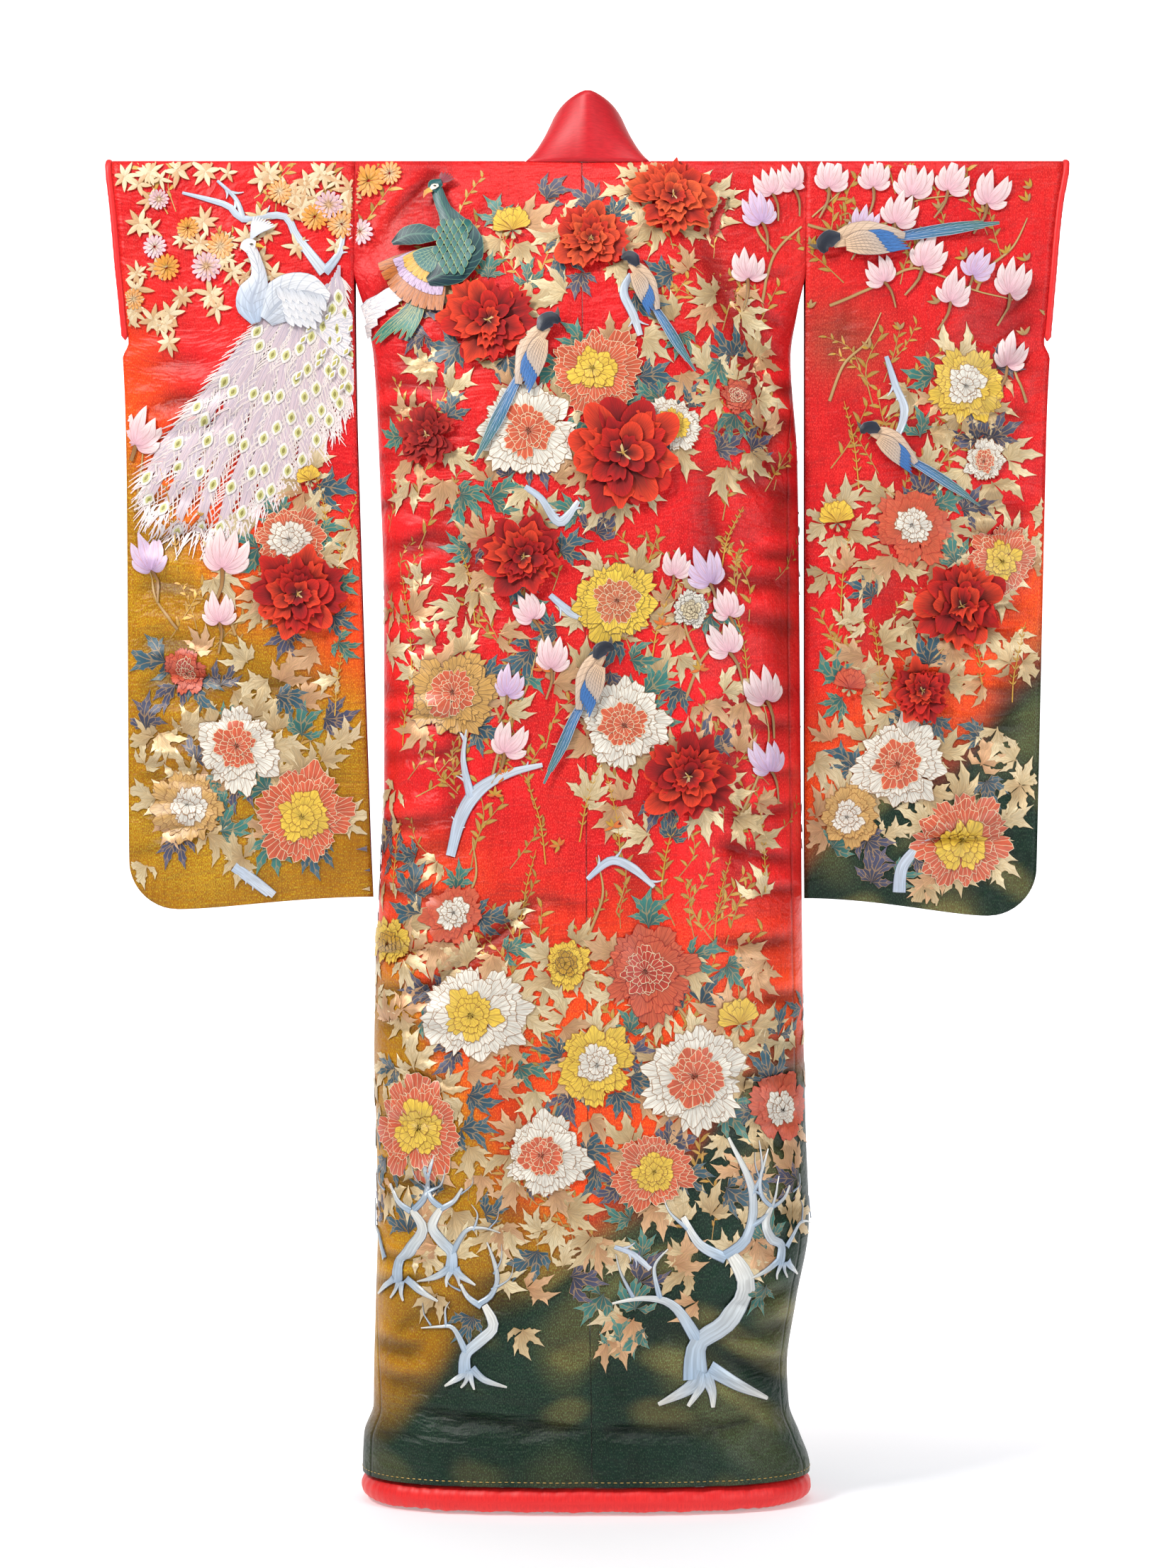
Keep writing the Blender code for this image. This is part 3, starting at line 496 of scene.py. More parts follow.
def sleeve_xyz(side, share, drop, face):
    """Points of a sleeve: share runs from the body out to the cuff, drop down to the bottom."""
    share, drop, face = np.broadcast_arrays(np.asarray(share, float), drop, face)
    down = drop * sleeve_bottom(side, share)
    outer, inner = sleeve_outline(side, down)
    width = np.abs(outer - inner)
    low = np.clip((down - (sleeve_bottom(side, 1.0) - CORNER)) / CORNER, 0, 1)
    corner_cut = CORNER * (1 - np.sqrt(np.maximum(1 - low**2, 0)))
    x = inner + side * share * (width - corner_cut)
    d_inner = read_table(SLEEVE_DEPTH, 1, down)
    d_middle = read_table(SLEEVE_DEPTH, 2, down)
    d_cuff = read_table(SLEEVE_DEPTH, 3, down)
    depth = np.where(
        share < 0.5,
        d_inner + (d_middle - d_inner) * smooth(0, 0.5, share),
        d_middle + (d_cuff - d_middle) * smooth(0.5, 1.0, share),
    )
    pinch = CLOTH / 2 + SEAM / 2
    rounding = np.sqrt(np.clip(1 - drop, 0, 0.06) / 0.06)
    depth = pinch + np.maximum(depth - pinch, 0) * rounding
    y = face * depth * shoulder_fold(down)
    ends = smooth(0, 0.15, share) * smooth(0, 0.12, 1 - share) * smooth(0, 0.08, 1 - drop)
    away = smooth(0.004, 0.05, down) * ends
    rise = fold_rise(SLEEVE_FOLDS, "both", x, down) * 0.8 * away
    small = fold_rise(SLEEVE_CREASES, "both", x, down) * 1.8 + ripple(x, down, 0.0014)
    small = small * smooth(0.004, 0.03, down) * smooth(0, 0.05, share) * ends
    y = face * np.maximum(np.abs(y) + rise, np.minimum(np.abs(y), pinch))
    return np.stack((x, y - small + SHIFT_Y, -down), axis=-1)


print("middle of the back at 1 m down:", body_xyz(0.0, 1.0, -1).round(3))

# %% [markdown]
# ## Colours of the silk
#
# The ground is dyed red and shaded by hand: orange, then ochre or dark green, over the lower
# parts of the sleeves and the skirt, with smoky gold mist over the green. It is a colour
# attribute on the cloth's points, worked out from where a point lies on the robe, so that the
# shading runs on across the seams as it does on the real silk. The same colour is also painted
# darker in the troughs of the folds and creases and lighter on their ridges, as painted shade and
# painted highlight, with soft patches of painted sheen.

# %% Ground colours and painted shade by place
def linear(*rgb):
    """Screen colour, 0 to 255, as the linear colour that a shader takes."""
    c = np.array(rgb, dtype=float) / 255
    return np.where(c <= 0.04045, c / 12.92, ((c + 0.055) / 1.055) ** 2.4)


RED = linear(206, 14, 26)
WARM_RED = linear(218, 30, 30)
ORANGE = linear(238, 70, 20)
OCHRE = linear(172, 112, 14)
GREEN = linear(14, 40, 30)
MIST = linear(122, 108, 62)
LINING = linear(150, 14, 24)


def mix(a, b, share):
    return a + (b - a) * np.asarray(share)[..., None]


def ground_dye_and_shade(part, x, down):
    """Linear colour of the silk at x and depth down; part is body, left or right. It is the dye,
    with painted shade in the fold troughs, painted highlight on their ridges and painted sheen.
    """
    wander = 0.020 * np.sin(x * 19 + 1.1) + 0.014 * np.sin(x * 43 + down * 11)
    cloud = np.sin(x * 21 + 2 * np.sin(down * 9)) * np.sin(down * 17 + 1.5 * np.sin(x * 13))
    colour = mix(RED, WARM_RED, 0.5 + 0.4 * cloud)
    if part == "body":
        marks = (-0.32, -0.20, -0.08, 0.00, 0.07, 0.16, 0.25, 0.32)
        levels = (1.70, 1.64, 1.51, 1.44, 1.39, 1.31, 1.22, 1.18)
        green_at = np.interp(x, marks, levels) + wander
        colour = mix(colour, ORANGE, smooth(0.94, 1.18, down + wander) * 0.95)
        patch = np.exp(-(((x + 0.21) / 0.09) ** 2) - ((down - 0.99) / 0.07) ** 2)
        colour = mix(colour, ORANGE, 0.7 * patch)
        ochre_edge = -0.29 + (down - 1.05) * 0.60 + wander
        ochre = smooth(1.00, 1.18, down + wander) * smooth(0.05, -0.05, x - ochre_edge)
        colour = mix(colour, OCHRE, ochre)
        green = smooth(-0.06, 0.05, down - green_at)
    elif part == "left":
        line = down - (0.36 + (x + 0.63) * 1.03) + wander
        colour = mix(colour, ORANGE, smooth(-0.22, 0.02, line))
        colour = mix(colour, OCHRE, smooth(-0.03, 0.13, line))
        green = smooth(0.40, 0.9, line) * 0.25
    else:
        line = down - (0.93 - (x - 0.30) * 0.84) + wander
        colour = mix(colour, ORANGE, smooth(-0.24, -0.04, line))
        smoke = np.exp(-(((x - 0.345) / 0.06) ** 2) - ((down - 0.25) / 0.06) ** 2)
        colour = mix(colour, linear(128, 62, 44), 0.7 * smoke)
        green = smooth(-0.07, 0.06, line)
    drift = np.sin(x * 26 - down * 9 + 1.6 * np.sin(down * 21)) * np.sin(down * 46 + 2.2 * np.sin(x * 15))
    mist = 0.34 * smooth(0.0, 0.9, cloud) + 0.52 * smooth(0.15, 0.9, drift)
    mist = mist * (0.35 + 0.65 * smooth(1.80, 1.62, down)) if part == "body" else mist
    dark = mix(GREEN, MIST, np.clip(mist, 0, 0.75))
    colour = mix(colour, dark, green)
    if part == "body":
        # Painted shade and painted highlight: the silk is darker in the troughs of the folds and creases
        # and lighter on their ridges, and soft patches of painted sheen make it lighter and darker in turn.
        relief = fold_rise(FOLDS, "back", x, down) * 0.5 + fold_rise(CREASES, "back", x, down)
    else:
        relief = fold_rise(SLEEVE_FOLDS, "both", x, down) * 0.4 + fold_rise(SLEEVE_CREASES,
                "both", x, down)
    painted_sheen = np.sin(x * 37 + 2.3 * np.sin(down * 14)) * np.sin(down * 33 + 1.9 * np.sin(x * 22))
    shade = 1.04 + 0.50 * np.clip(relief / 0.0036, -1, 0.55) + 0.11 * painted_sheen
    return colour * shade[..., None]


print("red silk, linear:", RED.round(3))

# %% [markdown]
# ## Cloth as thin shells
#
# Each panel is a grid of points thickened to 2 mm: an outer face, a lining face and a rim round
# every edge. That is how the real robe is built too, silk outside and lining inside, joined at
# the edges. The lining takes its own plain dark red, which shows in the open sides.

# %% Helpers that build a shell
def new_object(name, points, faces, material, smooth_shade=True):
    mesh = bpy.data.meshes.new(name)
    mesh.from_pydata(np.asarray(points).tolist(), [], [tuple(f) for f in faces])
    mesh.materials.append(material)
    mesh.polygons.foreach_set("use_smooth", [smooth_shade] * len(mesh.polygons))
    mesh.update()
    item = bpy.data.objects.new(name, mesh)
    bpy.context.collection.objects.link(item)
    return item


def paint(item, name, values):
    """Store one value per point: a colour of 4 numbers or a vector of 3."""
    values = np.asarray(values, dtype=float)
    kind, key = ("FLOAT_COLOR", "color") if values.shape[1] == 4 else ("FLOAT_VECTOR", "vector")
    layer = item.data.attributes.new(name, kind, "POINT")
    layer.data.foreach_set(key, values.ravel())


def grid_normals(grid, facing):
    """Normals of a grid of points, turned to the side of the vectors in facing."""
    normals = np.cross(np.gradient(grid, axis=1), np.gradient(grid, axis=0))
    normals /= np.maximum(np.linalg.norm(normals, axis=2, keepdims=True), 1e-12)
    return normals * np.sign(np.median(np.sum(normals * facing, axis=2)))


def shell(name, grid, normals, keep, thickness, material, colours, flat):
    """A closed thin shell from a grid; keep says which of its cells are cloth."""
    rows, columns = grid.shape[:2]
    index = np.arange(rows * columns).reshape(rows, columns)
    cells = np.stack((index[:-1, :-1], index[:-1, 1:], index[1:, 1:], index[1:, :-1]), axis=-1)
    cells = cells[keep]
    p = grid.reshape(-1, 3)
    n = normals.reshape(-1, 3)
    a, b, d = p[cells[:, 0]], p[cells[:, 1]], p[cells[:, 3]]
    facing = np.sum(np.cross(b - a, d - a) * n[cells[:, 0]], axis=1)
    if np.median(facing) < 0:
        cells = cells[:, ::-1]
    used = np.unique(cells)
    lookup = np.full(len(p), -1)
    lookup[used] = np.arange(len(used))
    cells = lookup[cells]
    p, n = p[used], n[used]
    count = len(p)
    edges = np.concatenate([cells[:, [k, (k + 1) % 4]] for k in range(4)])
    codes = edges[:, 0] * count + edges[:, 1]
    back = edges[:, 1] * count + edges[:, 0]
    rim = edges[~np.isin(codes, back)]
    rim = np.stack((rim[:, 1], rim[:, 0], rim[:, 0] + count, rim[:, 1] + count), axis=1)
    faces = np.concatenate((cells, cells[:, ::-1] + count, rim)).tolist()
    points = np.concatenate((p + n * thickness / 2, p - n * thickness / 2))
    item = new_object(name, points, faces, material)
    # The outer colours are the dye with its painted fold shade; the lining is plain.
    outer = colours.reshape(-1, 3)[used]
    plain = np.broadcast_to(LINING, outer.shape)
    ground_and_shade = np.concatenate((outer, plain))
    alpha = np.concatenate((np.ones(count), np.zeros(count)))[:, None]
    paint(item, "ground_and_shade", np.concatenate((ground_and_shade, alpha), axis=1))
    where = flat.reshape(-1, 2)[used]
    where = np.concatenate((where, where))
    paint(item, "weave", np.concatenate((where, np.zeros((len(where), 1))), axis=1))
    return item


def cloth_levels(steps, fine=0.006):
    """Depths from the shoulder fold down, closer together at the fold."""
    near = np.array((0.0015, 0.0035, 0.0065, 0.0100, 0.0150, 0.0220))
    far = np.arange(0.030, steps, fine)
    far = far[np.abs(far - SLIT_END) > fine * 0.4]
    return np.unique(np.concatenate((near, far, (SLIT_END, steps))).round(5))


print("levels on a body panel:", len(cloth_levels(BODY_LENGTH)))

# %% [markdown]
# ## Silk
#
# The ground is one material: the dyed colour with its painted fold shade from the attribute, fine
# upright flecks of gold thread that are partly a painted glint, and a faint rib. A noise stretched
# along the cloth's own coordinates makes the flecks, so they follow the weave and stay on the cloth
# when the view moves.

# %% A short way to write node trees
def sock(tree, node, name, value):
    """Set an input of a node, by a link where value is a socket."""
    target = node.inputs[name]
    if isinstance(value, bpy.types.NodeSocket):
        tree.links.new(value, target)
    elif np.ndim(value):
        value = tuple(float(v) for v in value)
        target.default_value = value if len(value) != 3 or len(target.default_value) == 3 else (*value, 1.0)
    else:
        target.default_value = value


def add_node(tree, kind, out=0, settings=None, **inputs):
    """Add a node and give back one of its outputs. Inputs i0, i1 are by number, others by name."""
    node = tree.nodes.new(kind)
    for key, value in (settings or {}).items():
        setattr(node, key, value)
    for key, value in inputs.items():
        name = int(key[1:]) if key[0] == "i" and key[1:].isdigit() else key.replace("_", " ")
        sock(tree, node, name, value)
    return node.outputs[out]


def calc(tree, operation, a, b=0.0, c=0.0):
    return add_node(tree, "ShaderNodeMath", settings={"operation": operation}, i0=a, i1=b, i2=c)


def blend(tree, share, a, b):
    node = tree.nodes.new("ShaderNodeMix")
    node.data_type = "RGBA"
    for name, value in ((0, share), (6, a), (7, b)):
        sock(tree, node, name, value)
    return node.outputs[2]


def attribute(tree, name, out="Color"):
    node = tree.nodes.new("ShaderNodeAttribute")
    node.attribute_name = name
    return node.outputs[out]


def scaled(tree, vector, size):
    return add_node(
        tree, "ShaderNodeVectorMath", settings={"operation": "MULTIPLY"}, i0=vector, i1=size
    )


def noise(tree, vector, detail=2.0, rough=0.5):
    return add_node(
        tree, "ShaderNodeTexNoise", Vector=vector, Scale=1.0, Detail=detail, Roughness=rough
    )


def noise_colour(tree, vector):
    return add_node(tree, "ShaderNodeTexNoise", out=1, Vector=vector, Scale=1.0, Detail=1.0)


def ramp(tree, value, low, high):
    """0 below low, 1 above high."""
    node = tree.nodes.new("ShaderNodeMapRange")
    node.interpolation_type = "SMOOTHSTEP"
    for name, number in ((0, value), (1, low), (2, high)):
        sock(tree, node, name, number)
    return node.outputs[0]


def new_material(name, **fixed):
    """A Principled material; fixed are numbers or colours set on its own sockets."""
    material = bpy.data.materials.new(name)
    material.use_nodes = True
    tree = material.node_tree
    shader = tree.nodes["Principled BSDF"]
    for key, value in fixed.items():
        sock(tree, shader, key.replace("_", " "), value)
    return material, tree, shader


def bump(tree, shader, height, strength, distance):
    out = add_node(
        tree, "ShaderNodeBump", Strength=strength, Distance=distance, Height=height
    )
    tree.links.new(out, shader.inputs["Normal"])


# %% [markdown]
# ## The three silks
#
# The outside is woven with a low figure and floated gold threads, so its colour is broken up by
# fine bands and flecks, the flecks partly a painted glint, and its dyed ground, with its painted
# fold shade, comes from the points of the cloth. The lining and the rolls are plain silks in two
# reds with a faint rib. All are shader patterns, since threads this fine are far below the size of
# the cloth's faces.

# %% The figured silk, the plain silk and the vermilion silk
def make_silk():
    material, tree, shader = new_material(
        "figured_silk", Roughness=0.42, Coat_Weight=0.06, Coat_Roughness=0.3,
        Specular_IOR_Level=0.24,
    )
    weave = attribute(tree, "weave", "Vector")
    plain = attribute(tree, "ground_and_shade", "Alpha")
    ground_and_shade = attribute(tree, "ground_and_shade")
    cloud = noise(tree, scaled(tree, weave, (9.0, 7.0, 1.0)), 3.0, 0.6)
    flecks = noise(tree, scaled(tree, weave, (1100.0, 330.0, 1.0)), 1.0, 0.5)
    bands = noise(tree, scaled(tree, weave, (300.0, 26.0, 1.0)), 2.0, 0.6)
    shaded = blend(tree, ramp(tree, bands, 0.35, 0.68), ground_and_shade,
                   scaled(tree, ground_and_shade, (0.82, 0.74, 0.74)))
    gold = ramp(tree, calc(tree, "ADD", flecks, calc(tree, "MULTIPLY", cloud, 0.26)), 0.62, 0.80)
    gold = calc(tree, "MULTIPLY", calc(tree, "MULTIPLY", gold, plain), 0.7)
    # The flecks are gold thread in the weave, coloured as a brighter copy of the ground: partly the
    # thread's own colour, partly a painted glint.
    glint = add_node(
        tree, "ShaderNodeVectorMath", settings={"operation": "ADD"},
        i0=scaled(tree, ground_and_shade, (1.4, 2.6, 2.6)), i1=(0.035, 0.030, 0.012),
    )
    colour = blend(tree, gold, shaded, glint)
    tree.links.new(colour, shader.inputs["Base Color"])
    rib = noise(tree, scaled(tree, weave, (1500.0, 500.0, 1.0)), 1.0, 0.5)
    bent = add_node(
        tree, "ShaderNodeVectorMath", settings={"operation": "ADD"},
        i0=scaled(tree, weave, (16.0, 34.0, 1.0)),
        i1=scaled(tree, noise_colour(tree, scaled(tree, weave, (5.0, 5.0, 1.0))), (3.0, 3.0, 0.0)),
    )
    wrinkle = noise(tree, bent, 3.0, 0.55)
    ridge = calc(tree, "ABSOLUTE", calc(tree, "SUBTRACT", wrinkle, 0.5))
    ridge = calc(tree, "SUBTRACT", 0.25, calc(tree, "MINIMUM", ridge, 0.25))
    height = calc(tree, "ADD", rib, calc(tree, "MULTIPLY", bands, 0.6))
    height = calc(tree, "ADD", calc(tree, "MULTIPLY", height, 0.10), calc(tree, "MULTIPLY", ridge, 5.0))
    bump(tree, shader, height, 0.8, 0.0026)
    return material


def make_plain(name, colour, deep, wrinkle):
    material, tree, shader = new_material(
        name, Roughness=0.48, Sheen_Weight=0.3, Sheen_Roughness=0.4, Sheen_Tint=(1.0, 0.6, 0.5)
    )
    weave = attribute(tree, "weave", "Vector")
    bands = noise(tree, scaled(tree, weave, (420.0, 90.0, 1.0)), 2.0, 0.6)
    cloud = noise(tree, scaled(tree, weave, (14.0, 14.0, 1.0)), 3.0, 0.6)
    share = ramp(tree, calc(tree, "ADD", bands, calc(tree, "MULTIPLY", cloud, 0.5)), 0.55, 0.95)
    tree.links.new(blend(tree, share, colour, deep), shader.inputs["Base Color"])
    rib = noise(tree, scaled(tree, weave, (1400.0, 700.0, 1.0)), 1.0, 0.5)
    bump(tree, shader, rib, wrinkle, 0.0005)
    return material


SILK = make_silk()
PLAIN = make_plain("plain_silk", linear(206, 18, 34), linear(188, 12, 28), 0.25)
ROLL = make_plain("roll_silk", linear(240, 36, 34), linear(226, 24, 28), 0.2)
print("materials:", [m.name for m in (SILK, PLAIN, ROLL)])

# %% [markdown]
# ## The body, the overlap panels and the collar
#
# Back and front of one side are one length of silk over the shoulder, as the cutter leaves it.
# The grid follows that cut: its rows run from the back hem over the shoulder fold to the front
# hem, and its columns from the centre back seam to the side seam. The cells at the neck are left
# out.

# %% Body panels
PANEL_COLUMNS = 42
NECK_COLUMNS = 10


def make_body(side, name):
    levels = cloth_levels(BODY_LENGTH)
    down = np.concatenate((levels[::-1], (0.0,), levels))
    face = np.concatenate((-np.ones(len(levels)), (1.0,), np.ones(len(levels))))
    kind = np.concatenate((-np.ones(len(levels)), (0.0,), np.ones(len(levels))))
    gap = 0.00003
    seam = side * read_table(BODY_SEAMS, 3 if side > 0 else 2, down)
    is_open = down < SLIT_END - 0.001
    centre = turn_at(read_table(BODY_SEAMS, 1, down) + side * gap, down, -1)
    neck = turn_at(side * NECK_HALF, down, -1)
    tip = np.where(down < OKUMI_TIP, read_table(FRONT_SEAMS, 1, down), read_table(FRONT_SEAMS, 2, down))
    inner = turn_at(side * (tip + gap), down, -1)
    inner = np.where(is_open, inner, side * 2 - inner)
    inner = np.where(kind < 0, neck, inner)
    turns = np.zeros((len(down), PANEL_COLUMNS + 1))
    near_seam = np.concatenate(((0.0, 0.016), np.linspace(0.08, 1.0, NECK_COLUMNS - 1)))
    for c in range(PANEL_COLUMNS + 1):
        if c <= NECK_COLUMNS:
            turns[:, c] = centre + (neck - centre) * near_seam[c]
            turns[:, c] = np.where(kind < 0, turns[:, c], inner)
        else:
            share = (c - NECK_COLUMNS) / (PANEL_COLUMNS - NECK_COLUMNS)
            turns[:, c] = inner + (seam - inner) * share
    faces = np.where(is_open[:, None], face[:, None], np.where(np.abs(turns) > 1, 1.0, -1.0))
    grid = body_xyz(turns, down[:, None], faces)
    edge = np.where(is_open, 1, 0)
    grid[:, -1, 0] -= edge * side * gap
    step = grid[:, -2] - grid[:, -1]
    step /= np.linalg.norm(step, axis=1, keepdims=True)
    grid[:, -1] += step * (gap * (1 - edge))[:, None]
    grid[:, :NECK_COLUMNS][kind >= 0] = grid[:, NECK_COLUMNS : NECK_COLUMNS + 1][kind >= 0]
    facing = grid - np.stack(
        (grid[..., 0] * 0.55, 0 * grid[..., 0] + SHIFT_Y, grid[..., 2] - 0.02 * (down < 0.02)[:, None]),
        axis=-1,
    )
    wide = grid.copy()
    wide[:, :NECK_COLUMNS] += ((np.arange(NECK_COLUMNS) - NECK_COLUMNS) * 1e-4)[None, :,
            None] * np.array(
        (side, 0, 0)
    )
    normals = grid_normals(wide, facing)
    sewn = (down <= SLIT_TOP + 0.001)[:, None] & (np.arange(PANEL_COLUMNS + 1) == PANEL_COLUMNS)
    normals[sewn, 0] = 0
    normals[sewn] /= np.linalg.norm(normals[sewn], axis=1, keepdims=True)
    keep = np.ones((len(down) - 1, PANEL_COLUMNS), dtype=bool)
    keep[kind[1:] >= 0, :NECK_COLUMNS] = False
    colours = ground_dye_and_shade("body", grid[..., 0], np.broadcast_to(down[:, None], turns.shape))
    # Painted shade in the seams: the silk is much darker along the centre back seam and a little darker
    # along the side seam.
    colours[:, 0] *= 0.25
    colours[:, -1] *= 0.75
    flat = np.stack((turns * 0.33, np.broadcast_to((down * face)[:, None], turns.shape)), axis=-1)
    return shell(name, grid, normals, keep, CLOTH, SILK, colours, flat)


body_left = make_body(-1, "body_left_silk")
body_right = make_body(1, "body_right_silk")
print("faces on a body panel:", len(body_left.data.polygons))

# %% [markdown]
# ## The overlap panels
#
# The okumi is a narrow panel sewn to each front edge. It starts in a point at the breast and
# widens to the hem. It is cut straight and hangs straight, so a grid between the front's edge and
# its own free edge gives its shape, thickened like every other panel.

# %% Overlap panels
def make_okumi(side, name):
    levels = cloth_levels(BODY_LENGTH)
    upper = levels[(levels > OKUMI_TIP) & (levels < COLLAR_END)]
    lower = levels[levels > COLLAR_END + 0.002]
    down = np.concatenate(((OKUMI_TIP,), upper, (COLLAR_END, COLLAR_END + 0.0012), lower))
    far = read_table(FRONT_SEAMS, 2, down) - SEAM / 2
    near = np.where(down <= COLLAR_END, read_table(FRONT_SEAMS, 1, down) + SEAM, FRONT_GAP)
    near = np.minimum(near, far - 0.0015)
    share = np.linspace(0, 1, 15)
    x = side * (near[:, None] + (far - near)[:, None] * share)
    is_open = down[:, None] < SLIT_END
    turns = np.where(is_open, turn_at(x, down[:, None], -1), turn_at(x, down[:, None], 1))
    grid = body_xyz(turns, down[:, None], 1.0)
    normals = grid_normals(grid, np.array((0.0, 1.0, 0.0)))
    keep = np.ones((len(down) - 1, 14), dtype=bool)
    colours = ground_dye_and_shade("body", grid[..., 0], np.broadcast_to(down[:, None], x.shape))
    flat = np.stack((x + side * 0.4, np.broadcast_to(down[:, None], x.shape)), axis=-1)
    return shell(name, grid, normals, keep, CLOTH, SILK, colours, flat)


okumi_left = make_okumi(-1, "okumi_left_silk")
okumi_right = make_okumi(1, "okumi_right_silk")
print("okumi bounds:", [tuple(round(v, 3) for v in c) for c in (okumi_left.bound_box[0],
        okumi_left.bound_box[6])])

# %% [markdown]
# ## The collar
#
# The collar is one long strip folded double. It runs up one front edge, stands at the nape and
# comes down the other edge. A strip is a path with a width across it, so the path is resampled to
# even steps and the strip is built along it as a grid.

# %% The collar strip
def resample(points, count):
    """Even steps along a smooth curve through the given points."""
    points = np.asarray(points, dtype=float)
    dense = []
    last = len(points) - 1
    for k in range(last):
        p0, p1 = points[max(k - 1, 0)], points[k]
        p2, p3 = points[k + 1], points[min(k + 2, last)]
        t = np.arange(0, 1, 1 / 12)[:, None]
        a = 2 * p1 + (p2 - p0) * t
        b = (2 * p0 - 5 * p1 + 4 * p2 - p3) * t**2
        dense.append((a + b + (3 * p1 - p0 - 3 * p2 + p3) * t**3) / 2)
    dense = np.concatenate((*dense, points[-1:]))
    steps = np.linalg.norm(np.diff(dense, axis=0), axis=1)
    along = np.concatenate(((0,), np.cumsum(steps)))
    at = np.linspace(0, along[-1], count)
    return np.stack([np.interp(at, along, dense[:, k]) for k in range(dense.shape[1])], axis=1)


def make_collar():
    feet, edges = [], []
    for fx, fy, fd, ex, ey, ed in COLLAR_STATIONS:
        feet.append((fx, fy + SHIFT_Y, -fd - 0.0022))
        edges.append((ex, ey + SHIFT_Y, -ed))
    for down in np.concatenate((np.arange(0.115, COLLAR_END - 0.01, 0.03), (COLLAR_END - 0.001,))):
        settle = float(smooth(0.10, 0.30, down))
        foot_x = float(read_table(FRONT_SEAMS, 1, down)) - SEAM / 2 - 0.0016 * (1 - settle)
        edge_x = max(foot_x - COLLAR_WIDTH, 0.0095)
        face_turn = -1 if down < SLIT_END else 1
        foot = body_xyz(turn_at(foot_x, down, face_turn), down, 1.0)
        edge = body_xyz(turn_at(edge_x, down, face_turn), down, 1.0)
        feet.append(foot + (0, 0.0012 * (1 - settle), 0))
        edges.append(edge + (0, 0.012 * (1 - settle), 0))
    flip = np.array((-1, 1, 1))
    feet = [f * flip for f in feet[:0:-1]] + feet
    edges = [e * flip for e in edges[:0:-1]] + edges
    both = resample(np.concatenate((np.array(feet), np.array(edges)), axis=1), 260)
    share = np.linspace(0, 1, 15)[None, :, None]
    grid = both[:, None, :3] + (both[:, None, 3:] - both[:, None, :3]) * share
    nape = smooth(0.05, -0.02, np.abs(grid[..., 0]) + 0.6 * np.abs(grid[..., 1] - SHIFT_Y))
    grid[..., 1] -= 0.0035 * np.sin(np.pi * share[..., 0]) * nape
    ridge = 0.003 * np.exp(-((grid[..., 0] / 0.007) ** 2)) * nape
    grid[..., 1] -= ridge
    hang = smooth(0.05, 0.3, -grid[..., 2])
    grid[..., 1] += hang * 0.0012 * np.sin(grid[..., 2] * 47 + grid[..., 0] * 60)
    cross = np.cross(np.gradient(grid, axis=0), np.gradient(grid, axis=1))
    normals = cross / np.maximum(np.linalg.norm(cross, axis=2, keepdims=True), 1e-12)
    keep = np.ones((grid.shape[0] - 1, grid.shape[1] - 1), dtype=bool)
    colours = np.broadcast_to(RED, grid.shape)
    along = np.linspace(-1.05, 1.05, grid.shape[0])[:, None]
    flat = np.stack(np.broadcast_arrays(share[..., 0] * 0.097, along), axis=-1)
    return shell("collar_silk", grid, normals, keep, COLLAR_CLOTH, PLAIN, colours, flat)


collar = make_collar()
print("collar top:", round(max(v.co.z for v in collar.data.vertices), 4))

# %% [markdown]
# ## Sleeves
#
# A sleeve is one length of silk folded at the shoulder line, sewn round its bottom and its outer
# edge below the hand opening, and open towards the body. Its two walls hang almost together.

# %% Sleeve panels
def make_sleeve(side, name):
    full = sleeve_bottom(side, 0.0)
    levels = cloth_levels(full)
    close = full - np.array((0.017, 0.011, 0.006, 0.003, 0.001, 0.0))
    levels = np.concatenate((levels[levels < full - 0.021], close))
    down = np.concatenate((levels[::-1], (0.0,), levels))
    face = np.concatenate((-np.ones(len(levels)), (1.0,), np.ones(len(levels))))
    share = np.linspace(0, 1, 45)
    share = share + 0.012 * np.sin(np.pi * 2 * share)
    grid = sleeve_xyz(side, share[None, :], (down / full)[:, None], face[:, None])
    grid[:, 0, 0] += side * SEAM / 2
    facing = np.zeros_like(grid)
    facing[..., 1] = face[:, None]
    facing[..., 2] = 2.0 * (down < 0.004)[:, None]
    normals = grid_normals(grid, facing)
    pinched = (full - down < 0.0005)[:, None] | ((share > 0.999)[None, :] & (down > CUFF_OPEN)[:, None])
    normals[pinched] = (0.0, 1.0, 0.0)
    normals[pinched] *= np.broadcast_to(face[:, None], pinched.shape)[pinched][:, None]
    normals[:, 0, 0] = 0
    normals /= np.linalg.norm(normals, axis=2, keepdims=True)
    keep = np.ones((len(down) - 1, 44), dtype=bool)
    place = np.broadcast_to(down[:, None], grid.shape[:2])
    colours = ground_dye_and_shade("right" if side > 0 else "left", grid[..., 0], place)
    flat = np.stack((grid[..., 0], place * face[:, None]), axis=-1)
    return shell(name, grid, normals, keep, CLOTH, SILK, colours, flat)


sleeve_left = make_sleeve(-1, "sleeve_left_silk")
sleeve_right = make_sleeve(1, "sleeve_right_silk")
print("sleeve faces:", len(sleeve_left.data.polygons))

# %% [markdown]
# ## The padded hem and cuff edges
#
# The lining is turned out over wadding to make the fat red roll at the hem, which keeps the
# skirt off the floor. It is a pad: an oval carried along the hem, drawn in by small cross
# wrinkles where the silk is eased round it. The cuffs have the same edge, only thin.

